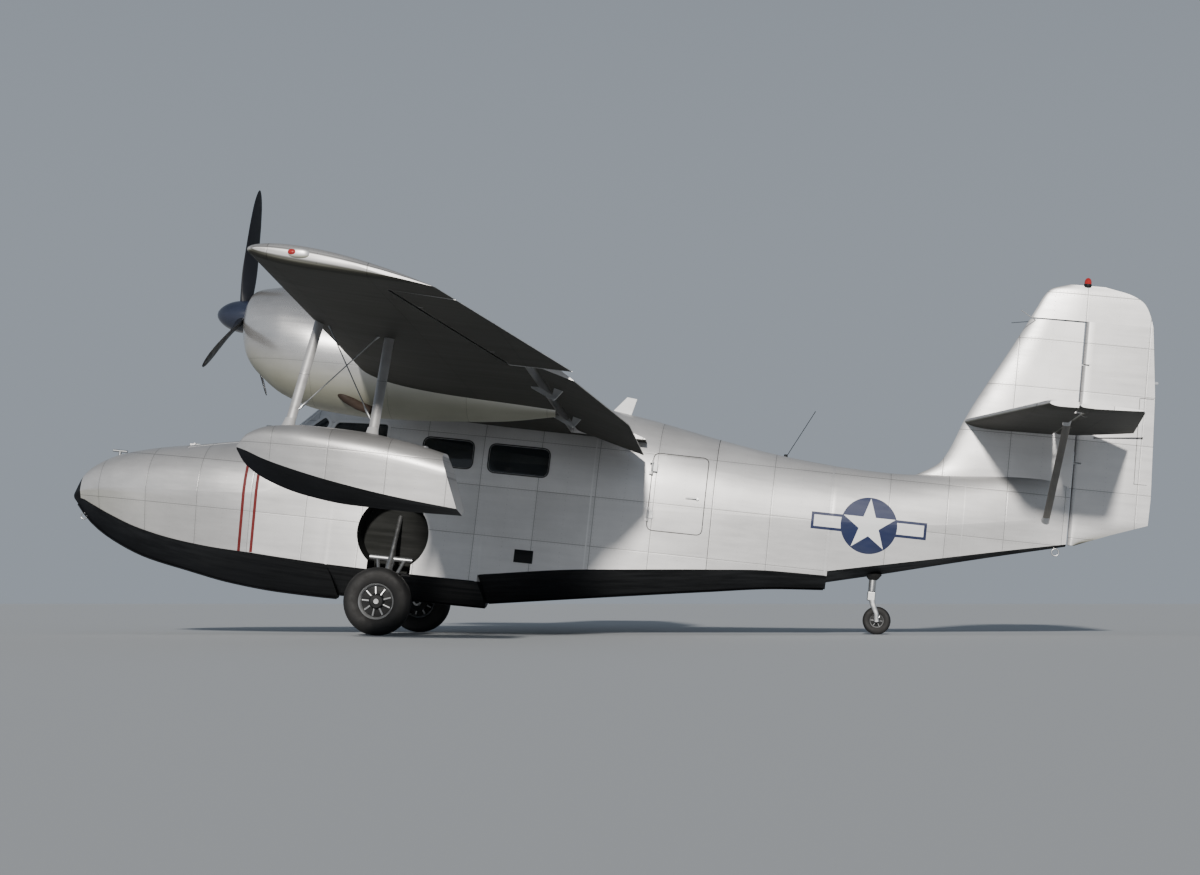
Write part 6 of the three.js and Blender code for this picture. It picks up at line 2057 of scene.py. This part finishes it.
    def tailplane(self, side: Side) -> None:
        """Tailplane half with its strut."""
        tag = side.tag
        y = tipped(0.02, 1.9, 0.08, 0.145, 10)
        _, nose_x, _, half = self.plane_rows(y).T
        form = self.flat(*self.foil(nose_x, np.full(len(y), self.elevator_x + 0.06), half, half * 0.86), y)
        cuts: list[Cut] = [(room, Carve.LESS) for room in self.elevator_room(side)]
        obj = Workshop.solid("plane", form.on(side), cuts)
        Workshop.fixed(f"tailplane_skin_{tag}", obj, [TAIL_METAL], (f"tailplane_{tag}",))
        foot, head = np.array(self.strut)
        bar = Floats.fair(foot, head, 0.03, 0.011).on(side)
        Workshop.fixed(f"tail_strut_bar_{tag}", bar, [STRUT_GREY], (f"tail_strut_{tag}",))
        along = np.array([[-0.02], [0.02], [0.07]])
        wide, thin = np.array([0.04, 0.036, 0.031]), np.array([0.022, 0.018, 0.012])
        ends = Form()
        for end, inward in ((foot, head - foot), (head, foot - head)):
            ends += tube(end + inward / np.linalg.norm(inward) * along, wide, 20, thin)
        Workshop.fixed(f"tail_strut_ends_{tag}", ends.on(side), [STEEL])

    def elevators(self) -> None:
        """Both elevators with their horns, joined by a tube through the fin."""
        x, z = self.elevator_x, self.plane_z
        inner, outer, horn_y, horn_x = self.elevator
        thick, room = self.bracket
        y = np.concatenate([spaced(inner, 1.9, 0.08), [1.95, 2.0, outer]])
        _, _, tail_x, half = self.plane_rows(y).T
        body = self.flat(*self.hinged(np.full(len(y), x), half * 0.8, tail_x, 0.004), y)
        y = np.array([horn_y, 1.84, 1.9, 1.95, 2.0, outer])
        half = self.plane_rows(y)[:, 3]
        horn = self.flat(*self.foil(np.full(6, horn_x), np.full(6, x - 0.02), half * 0.7, half * 0.78), y)
        cutaway = np.array([[-4.935, 0.06], [-5.44, 0.40], [-5.44, -0.02], [-4.935, -0.02]])
        outline = Wing.arm(0.0144, (0.11, 0.012), (0.11, -0.012))
        hinges = [inner + (outer - inner) * share for share in self.elevator_hinges]
        for side in Side:
            cuts: list[Cut] = [(prism(cutaway, "z", 1.8, 2.3).on(side), Carve.LESS)]
            brackets = Form()
            for y in hinges:
                notch = block((x - 0.022, y - room, 1.8), (x + 0.2, y + room, 2.3))
                cuts.append((notch.on(side), Carve.LESS))
                brackets += Wing.plate(np.array([x, y, z]), np.array([0.0, 1.0, 0.0]), outline, -thick, thick)
            cuts.append((horn.on(side), Carve.PLUS))
            obj = Workshop.solid("elevator", body.on(side), cuts)
            replaced = ("elevators",) if side is Side.LEFT else ()
            Workshop.piece(f"elevator_skin_{side.tag}", obj, "elevators", [TAIL_METAL], replaced)
            Workshop.fixed(f"elevator_brackets_{side.tag}", brackets.on(side), [STEEL], bevel=0.001)
        joint = rod((x, -0.088, z), (x, 0.088, z), 0.02, 32)
        Workshop.piece("elevator_tube", joint, "elevators", [STEEL])

    def beacon(self) -> None:
        """Red beacon on the rudder's top, in a metal seat."""
        dome, seat = (revolve(p, self.beacon_seat, (0, 0, 1)) for p in (self.dome_profile, self.seat_profile))
        Workshop.piece("beacon_dome", dome, "rudder", [RED_GLASS], ("beacon",), crease=50)
        Workshop.piece("beacon_seat", seat, "rudder", [DARK_METAL])


# Undercarriage


@dataclass
class Wheel:
    """A wheel: its axle's place, its sizes and its tyre's grooves."""

    centre: Triple
    radius: float
    width: float
    rim: float
    bore: float
    grooves: tuple[float, ...]

    def tyre(self) -> Form:
        """Tyre of rounded section with grooves round its tread."""
        w, r = self.width / 2, self.radius
        wall = [
            (self.rim, -w * 0.8),
            (self.rim + (r - self.rim) * 0.12, -w * 0.93),
            (r * 0.70, -w * 0.99),
            (r * 0.78, -w),
            (r * 0.87, -w * 0.94),
            (r * 0.935, -w * 0.8),
            (r * 0.98, -w * 0.56),
        ]
        tread: list[Pair] = []
        for groove in self.grooves:
            crown = r * (1 - 0.012 * (groove / (w * 0.56)) ** 2)
            deep = crown - 0.008
            tread += [
                (crown, groove - 0.004),
                (deep, groove - 0.003),
                (deep, groove + 0.003),
                (crown, groove + 0.004),
            ]
        profile = np.array(wall + tread + self.far(wall))
        profile[:, 0] = np.minimum(profile[:, 0], r)
        return revolve(profile, self.centre, (0, 1, 0), 96, looped=True)

    @staticmethod
    def far(rows: list[Pair]) -> list[Pair]:
        """Rows of radius and offset mirrored to the other face, in the order that closes the profile."""
        return [(radius, -offset) for radius, offset in reversed(rows)]

    def hub(self) -> tuple[Form, Form]:
        """Dark hub with a raised boss, and the bright ring round it."""
        w, r = self.width / 2, self.rim - 0.0005
        core = [
            (self.bore, -0.7 * w),
            (r * 0.34, -w * 0.7),
            (r * 0.4, -w * 0.62),
            (r * 0.45, -w * 0.36),
            (r * 0.88, -w * 0.3),
        ]
        ring = [(r * 0.87, -w * 0.32), (r * 0.9, -w * 0.5), (r * 0.96, -w * 0.76), (r, -w * 0.82)]
        whole = (np.array(rows + self.far(rows)) for rows in (core, ring))
        return tuple(revolve(profile, self.centre, (0, 1, 0), 72, looped=True) for profile in whole)

    def spokes(self, count: int) -> Form:
        """Short webs on both faces between the boss and the ring."""
        form = Form()
        w, r = self.width / 2, self.rim
        x, y, z = self.centre
        for a in angles(count):
            c, s = math.cos(a), math.sin(a)
            for face in (-1, 1):
                inner = (x + c * r * 0.42, y + face * w * 0.5, z + s * r * 0.42)
                outer = (x + c * r * 0.82, y + face * w * 0.38, z + s * r * 0.82)
                form += rod(inner, outer, r * 0.055, 10)
        return form


@dataclass
class Gear:
    """Main legs and wheels, and the tail wheel on its swivelling fork."""

    main: Wheel = field(
        default_factory=lambda: Wheel(
            (0.750, 0.920, -0.035), 0.285, 0.170, 0.150, 0.0224, (-0.032, -0.011, 0.011, 0.032)
        )
    )
    tail: Wheel = field(
        default_factory=lambda: Wheel((-3.410, 0.0, 0.237), 0.120, 0.070, 0.060, 0.0104, (-0.01, 0.01))
    )
    swivel: Triple = (-3.345, 0.0, 0.480)
    # the leg's pivot line, y and z, and half its length
    trunnion: Triple = (0.56, 0.33, 0.189)
    brake_profile: Array = table(
        [0.03, -0.125], [0.085, -0.125], [0.09, -0.12], [0.09, -0.095], [0.03, -0.095]
    )
    boot_profile: Array = table([0.034, 0.1], [0.05, 0.115], [0.075, 0.15], [0.06, 0.16], [0.034, 0.16])

    def build(self) -> None:
        """Makes the undercarriage."""
        for side in Side:
            nodes = [f"{part}_{side.tag}" for part in ("wheel", "tyre", "hub")]
            self.wheel(side.tag, self.main, side, *nodes, 9)
            self.leg(side)
        self.wheel("tail", self.tail, Side.LEFT, "tail_wheel", "tail_tyre", "tail_hub", 6)
        self.tail_leg()

    @staticmethod
    def wheel(name: str, wheel: Wheel, side: Side, body: str, tyre: str, hub: str, spokes: int) -> None:
        """Tyre, hub and ring of one wheel."""
        Workshop.piece(f"tyre_tread_{name}", wheel.tyre().on(side), body, [RUBBER], (tyre,), crease=40)
        core, ring = wheel.hub()
        Workshop.piece(f"hub_core_{name}", core.on(side), body, [DARK_METAL], (hub,))
        Workshop.piece(f"hub_ring_{name}", ring.on(side), body, [HUB_SILVER])
        Workshop.piece(f"hub_webs_{name}", wheel.spokes(spokes).on(side), body, [HUB_SILVER])

    def leg(self, side: Side) -> None:
        """Main leg: oleo, axle, braces, trunnion, knee, slider, brake and hose."""
        tag = side.tag
        x, y, z = self.main.centre
        pivot_y, pivot_z, reach = self.trunnion
        top, knee = np.array([x, pivot_y, pivot_z]), np.array([x, y - 0.118, z])
        middle = top + (knee - top) * 0.55
        frame = rods(
            (top, middle, 0.034, 28, 0.004),
            ((x, y - 0.148, z), (x, y + 0.0612, z), 0.0212, 28),
            (top + [0.12, 0, 0], knee, 0.016, 18),
            (top - [0.12, 0, 0], knee, 0.016, 18),
            ((x, 0.362, 0.70), knee + (top - knee) * 0.45, 0.02),
            (top - [reach, 0, 0], top + [reach, 0, 0], 0.024, 24, 0.003),
            (knee + [0, -0.03, 0], knee + [0, 0.012, 0], 0.04, 28, 0.005),
        )
        Workshop.fixed(f"gear_frame_{tag}", frame.on(side), [STEEL], (f"gear_leg_{tag}",))
        Workshop.fixed(f"gear_slider_{tag}", rod(middle, knee, 0.024, 28).on(side), [CHROME])
        brake = revolve(self.brake_profile, (x, y, z), (0, 1, 0), looped=True)
        bends = (
            middle + [0.03, 0, 0.02],
            middle + [0.05, 0.03, -0.08],
            knee + [0.045, 0, 0.09],
            knee + [0.05, 0.02, 0.04],
        )
        hose = tube(np.array(bends), 0.006, 12)
        Workshop.fixed(f"gear_brake_{tag}", (brake + hose).on(side), [DARK_METAL])

    def tail_leg(self) -> None:
        """Tail post, swivelling fork and axle."""
        x, _, z = self.swivel
        Workshop.fixed("tail_post", rod((x, 0, z), (x, 0, 0.70), 0.032, 28, 0.003), [STEEL], ("tail_leg",))
        boot = revolve(self.boot_profile, self.swivel, (0, 0, 1), 36, looped=True)
        Workshop.fixed("tail_boot", boot, [RUBBER])
        crown = block((x - 0.034, -0.054, z - 0.08), (x + 0.034, 0.054, z - 0.0003))
        Workshop.piece("fork_crown", crown, "tail_fork", [STEEL], ("tail_fork",), bevel=0.008)
        arms = Form()
        cx, _, cz = self.tail.centre
        wide = np.array([0.026, 0.022, 0.02, 0.022])
        for y in (-0.048, 0.048):
            bends = [
                [x - 0.002, y, z - 0.04],
                [x - 0.02, y, z - 0.11],
                [cx + 0.01, y, cz + 0.06],
                [cx, y, cz - 0.012],
            ]
            arms += tube(np.array(bends), wide, 20, 0.006)
        arms += rod((cx, -0.056, cz), (cx, 0.056, cz), 0.0098)
        Workshop.piece("fork_arms", arms, "tail_fork", [STEEL])


# Cabin fittings


@dataclass
class Cabin:
    """Seats, bench, panel dials and control wheels behind the glass."""

    seat_y: float = 0.1875
    # x and y of the front seats' legs, and the height that they start from
    legs_x: Pair = (0.80, 1.16)
    legs_y: Pair = (0.07, 0.305)
    floor_z: float = 0.2905
    seat_rail: tuple[Pair, ...] = ((1.18, 0.6), (0.8, 0.6), (0.72, 0.9), (0.66, 1.13))
    wheel_hub: Triple = (1.64, 0.19, 1.06)
    column_foot: Triple = (1.79, 0.19, 1.04)
    bench_outline: Array = table([-0.06, 0.352], [-0.42, 0.398], [-0.42, 0.66], [0.0, 0.66])
    bench_half: float = 0.46
    dial_start: Pair = (-0.32, 0.985)
    dial_pitch: Pair = (0.092, 0.09)
    softness: float = 0.7

    def build(self) -> None:
        """Makes the cabin's fittings."""
        for side in Side:
            self.seat(side)
            Workshop.fixed(f"control_wheel_{side.tag}", self.control_wheel().on(side), [PANEL_BLACK])
        cushion = cushion_form((-0.19, 0, 0.715), (0.45, 0.96, 0.13), 0.25)
        back = cushion_form((-0.50, 0, 0.95), (0.12, 0.96, 0.44), 0.25, math.radians(-14))
        bench = Workshop.fixed("bench_pads", cushion + back, [LEATHER], ("rear_bench",))
        box = prism(self.bench_outline, "y", -self.bench_half, self.bench_half)
        Workshop.fixed("bench_box", box, [TRIM_GREY], bevel=0.01)
        dials = Form()
        (first_y, first_z), (pitch_y, pitch_z) = self.dial_start, self.dial_pitch
        for i in range(8):
            for j in range(2):
                y, z = first_y + pitch_y * i, first_z + pitch_z * j
                dials += rod((1.80, y, z), (1.765 - 0.03 * j, y, z), 0.036, 28)
        Workshop.fixed("panel_dials", dials, [DARK_METAL])
        finish_node("instrument_panel", PANEL_BLACK)

    def seat(self, side: Side) -> None:
        """A front seat: two stuffed pads on a tube frame."""
        pads = cushion_form((1.00, self.seat_y, 0.655), (0.42, 0.27, 0.12))
        pads += cushion_form((0.755, self.seat_y, 0.93), (0.11, 0.27, 0.5), tilt=math.radians(-12))
        name = f"pilot_seat_{side.tag}"
        Workshop.fixed(f"seat_pads_{side.tag}", pads.on(side), [LEATHER], (name,))
        frame = Form()
        for y in self.legs_y:
            frame += rods(*(((x, y, self.floor_z), (x, y, 0.62), 0.013, 16) for x in self.legs_x))
            frame += tube(np.array([(x, y, z) for x, z in self.seat_rail]), 0.012, 14, hint=(0, 1, 0))
        Workshop.fixed(f"seat_frame_{side.tag}", frame.on(side), [STEEL])

    def control_wheel(self) -> Form:
        """The port control wheel: an open rim, its spoke and its column."""
        x, y, z = self.wheel_hub
        t = np.linspace(0.6 - math.pi, 0.0, 16)
        rim = np.column_stack([np.full(16, x), y + 0.13 * np.cos(t), z + 0.1 * np.sin(t)])
        spoke = ((x, y - 0.1, z), (x, y + 0.13, z), 0.011, 14)
        column = (self.wheel_hub, self.column_foot, 0.014, 16)
        return tube(rim, 0.012, 12, hint=(1, 0, 0)) + rods(spoke, column)


def finish_node(name: str, finish: Finish) -> None:
    """Gives a carried-over node its finish."""
    node = bpy.data.objects[name]
    node.data.materials.clear()
    node.data.materials.append(finish.material())


# Markings and small fittings


@dataclass
class Markings:
    """Painted shapes laid on the skin as thin solids: the star and bars, and the bow's red stripes."""

    shape: HullShape
    centre: Pair = (-3.260, 1.030)
    disc: float = 0.240
    bars: Pair = (0.980, 0.145)
    edge: float = 0.024
    stripes_x: Pair = (1.989, 2.101)
    stripe_half: float = 0.013
    stripe_top: float = 1.010
    frame_centre: Pair = (2.045, 1.066)
    frame_size: Pair = (0.150, 0.125)
    frame_edge: float = 0.017

    def draped(
        self, name: str, outline: Array, proud: float, finish: Finish, side: Side, hole: Array | None = None
    ) -> None:
        """One outline in x and z laid on the hull's side."""
        rear, front = outline[:, 0].min() - 0.05, outline[:, 0].max() + 0.05
        skin = self.shape.patch(rear, front, self.shape.chine, self.shape.crown - 2, -0.004, proud).on(side)
        cuts: list[Cut] = [(prism(outline, "y", 0.0, 1.0).on(side), Carve.WITHIN)]
        if hole is not None:
            cuts.append((prism(hole, "y", -0.1, 1.1).on(side), Carve.LESS))
        Workshop.fixed(f"{name}_{side.tag}", Workshop.solid(name, skin, cuts), [finish])

    def star(self) -> Array:
        """Five-pointed star whose points nearly touch the disc's edge."""
        turn, reach = np.pi / 2 + angles(10), self.disc * 0.97
        radius = np.where(np.arange(10) % 2 == 0, reach, reach * 0.382)
        return np.column_stack(
            [self.centre[0] + radius * np.cos(turn), self.centre[1] + radius * np.sin(turn)]
        )

    def build(self) -> None:
        """Makes the markings on both sides, each layer prouder than the one under it."""
        inner = rectangle(self.centre, self.bars[0] - 2 * self.edge, self.bars[1] - 2 * self.edge)
        for side in Side:
            self.draped("mark_bars_edge", rectangle(self.centre, *self.bars), 0.0008, BLUE_PAINT, side)
            self.draped("mark_bars", inner, 0.0013, WHITE_PAINT, side)
            self.draped("mark_disc", circle(self.centre, self.disc), 0.0018, BLUE_PAINT, side)
            self.draped("mark_star", self.star(), 0.0024, WHITE_PAINT, side)
            self.stripes(side)

    def stripes(self, side: Side) -> None:
        """Two upright red stripes on the bow, with an empty red frame at their head."""
        middle, half, top = np.array([self.frame_centre[0]]), self.stripe_half, self.stripe_top
        foot = float(straight_rows(self.shape.stations, middle)[0, 3]) + 0.004
        for i, x in enumerate(self.stripes_x):
            stripe = np.array([[x - half, foot], [x + half, foot], [x + half, top], [x - half, top]])
            self.draped(f"stripe_{i}", stripe, 0.0012, RED_PAINT, side)
        outer = rectangle(self.frame_centre, *self.frame_size)
        self.draped("red_frame", outer, 0.0012, RED_PAINT, side, grown(outer, -self.frame_edge))


@dataclass
class Fittings:
    """Small things on the skin: aerials, a near-black sheet that paints the shade of a side vent's opening,
    cleat, bow eye and stern ring.
    """

    shape: HullShape
    whip_x: float = -2.5
    whip_reach: Pair = (-0.22, 0.42)
    cleat_x: float = 3.45
    fin_rod: Triple = (-4.52, 0.03, 2.95)
    vent: Box = (-0.39, 0.465, 0.16, 0.11)
    bow_eye: Triple = (3.712, 0, 0.425)
    stern_ring: Triple = (-4.86, 0, 0.975)

    def build(self) -> None:
        """Makes the small fittings."""
        self.aerials()
        x, z = self.cleat_x, self.shape.top_z(self.cleat_x)
        post = ((x, 0, z - 0.01), (x, 0, z + 0.04), 0.014)
        bar = ((x - 0.07, 0, z + 0.045), (x + 0.07, 0, z + 0.045), 0.012, 20, 0.005)
        Workshop.fixed("bow_cleat", rods(post, bar), [STEEL])
        self.ring("bow_eye", self.bow_eye, 0.028)
        # painted shade: a near-black sheet on the skin stands for the side vent's dark opening
        vent = rectangle(self.vent[:2], *self.vent[2:])
        skin = self.shape.patch(-0.6, -0.2, self.shape.chine, self.shape.crown - 2, -0.004, 0.002)
        obj = Workshop.solid("vent", skin, [(prism(vent, "y", 0.0, 1.0), Carve.WITHIN)])
        Workshop.fixed("side_vent", obj, [DARK_METAL])
        self.ring("stern_ring", self.stern_ring, 0.03)

    @staticmethod
    def ring(name: str, centre: Triple, radius: float) -> None:
        """A steel ring standing fore and aft."""
        hoop = revolve(circle((radius, 0.0), 0.006, 14), centre, (0, 1, 0), 32, looped=True)
        Workshop.fixed(name, hoop, [STEEL])

    def aerials(self) -> None:
        """Whip and blade aerials on the deck, and a rod on each side of the fin."""
        top, x = self.shape.top_z, self.whip_x
        foot, (back, rise) = (x, 0, top(x) - 0.01), self.whip_reach
        tip, collar = (x + back, 0, top(x) + rise), (x, 0, top(x) + 0.02)
        whip = rods((foot, tip, 0.003, 10), (foot, collar, 0.016, 20, 0.004))
        Workshop.fixed("whip_aerial", whip, [DARK_METAL])
        head = top(-1.0)
        blade = [
            [-0.95, top(-0.95) - 0.01], [-1.12, top(-1.12) - 0.01], [-1.16, head + 0.13], [-1.07, head + 0.14]
        ]
        Workshop.fixed("blade_aerial", prism(np.array(blade), "y", -0.008, 0.008), [WHITE_PAINT], bevel=0.005)
        root = np.array(self.fin_rod)
        spike = rod(root, root + [0.16, 0.34, 0.02], 0.004, 12)
        Workshop.fixed("fin_rods", spike.on(Side.LEFT) + spike.on(Side.RIGHT), [STEEL])


# Studio


@dataclass
class Studio:
    """Pale floor, soft light from the port beam, and the camera at floor level."""

    distance: float = 17.0
    height: float = 0.28
    lens: float = 58.2
    swing: float = math.radians(5.76)
    sun: Triple = (0.013, 0.935, 0.353)
    sun_colour: Triple = (1.0, 0.955, 0.89)
    sun_strength: float = 4.6
    sun_spread: float = math.radians(4)
    horizon: Triple = (0.66, 0.74, 0.84)
    zenith: Triple = (0.3, 0.36, 0.45)
    sky_strength: float = 0.46
    floor_colour: Triple = (0.42, 0.44, 0.46)
    floor_reach: float = 250.0
    aim_z: float = 1.72

    def floor(self) -> None:
        """A plain pale floor that runs out to the horizon."""
        reach = self.floor_reach
        mesh = bpy.data.meshes.new("floor")
        corners = [(-reach, -reach, 0), (reach, -reach, 0), (reach, reach, 0), (-reach, reach, 0)]
        mesh.from_pydata(corners, [], [(0, 1, 2, 3)])
        obj = bpy.data.objects.new("floor", mesh)
        bpy.context.scene.collection.objects.link(obj)
        material = bpy.data.materials.new("studio_floor")
        material.use_nodes = True
        shader = material.node_tree.nodes["Principled BSDF"]
        shader.inputs["Base Color"].default_value = (*self.floor_colour, 1)
        shader.inputs["Roughness"].default_value = 0.85
        mesh.materials.append(material)
        obj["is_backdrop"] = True

    def light(self) -> None:
        """A broad key from the sun's side, and a pale sky."""
        key = bpy.data.lights.new("key", "SUN")
        key.energy, key.angle, key.color = self.sun_strength, self.sun_spread, self.sun_colour
        lamp = bpy.data.objects.new("key", key)
        lamp.rotation_mode = "QUATERNION"
        lamp.rotation_quaternion = Vector(self.sun).to_track_quat("Z", "Y")
        bpy.context.scene.collection.objects.link(lamp)
        world = bpy.data.worlds.new("sky")
        bpy.context.scene.world = world
        world.use_nodes = True
        nodes = Nodes(world.node_tree)
        back = world.node_tree.nodes["Background"]
        rise = nodes.ramp(nodes.parts(nodes.add("TexCoord").outputs["Generated"])[2], 0.15, 0.85)
        nodes.feed(back.inputs["Color"], nodes.mix(rise, self.horizon, self.zenith))
        back.inputs["Strength"].default_value = self.sky_strength

    def camera(self) -> None:
        """Camera abeam to port and a little aft, looking slightly up."""
        lo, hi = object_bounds()
        target = (lo + hi) / 2
        back = Vector((-math.sin(self.swing), math.cos(self.swing), 0))
        place = Vector((target.x, 0, 0)) + back * self.distance
        place.z = self.height
        data = bpy.data.cameras.new("camera")
        data.lens, data.sensor_width = self.lens, 36.0
        data.clip_start, data.clip_end = 0.1, 300
        camera = bpy.data.objects.new("camera", data)
        camera.location = place
        aim = Vector((target.x + 0.02, 0, self.aim_z)) - place
        camera.rotation_mode = "QUATERNION"
        camera.rotation_quaternion = aim.to_track_quat("-Z", "Y")
        bpy.context.scene.collection.objects.link(camera)
        bpy.context.scene.camera = camera

    def build(self) -> None:
        """Makes the studio."""
        self.floor()
        self.light()
        self.camera()


def main() -> None:
    """Builds every sub-assembly in order, then the studio."""
    logging.basicConfig(level=logging.INFO, format="%(message)s")
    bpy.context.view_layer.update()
    hull = Hull()
    hull.build()
    Wing().build()
    Power().build()
    Floats().build()
    Tail().build()
    Gear().build()
    Cabin().build()
    Markings(hull.shape).build()
    Fittings(hull.shape).build()
    Studio().build()
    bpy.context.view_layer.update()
    log.info("%d pieces", Workshop.made)


if __name__ == "__main__":
    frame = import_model()
    main()
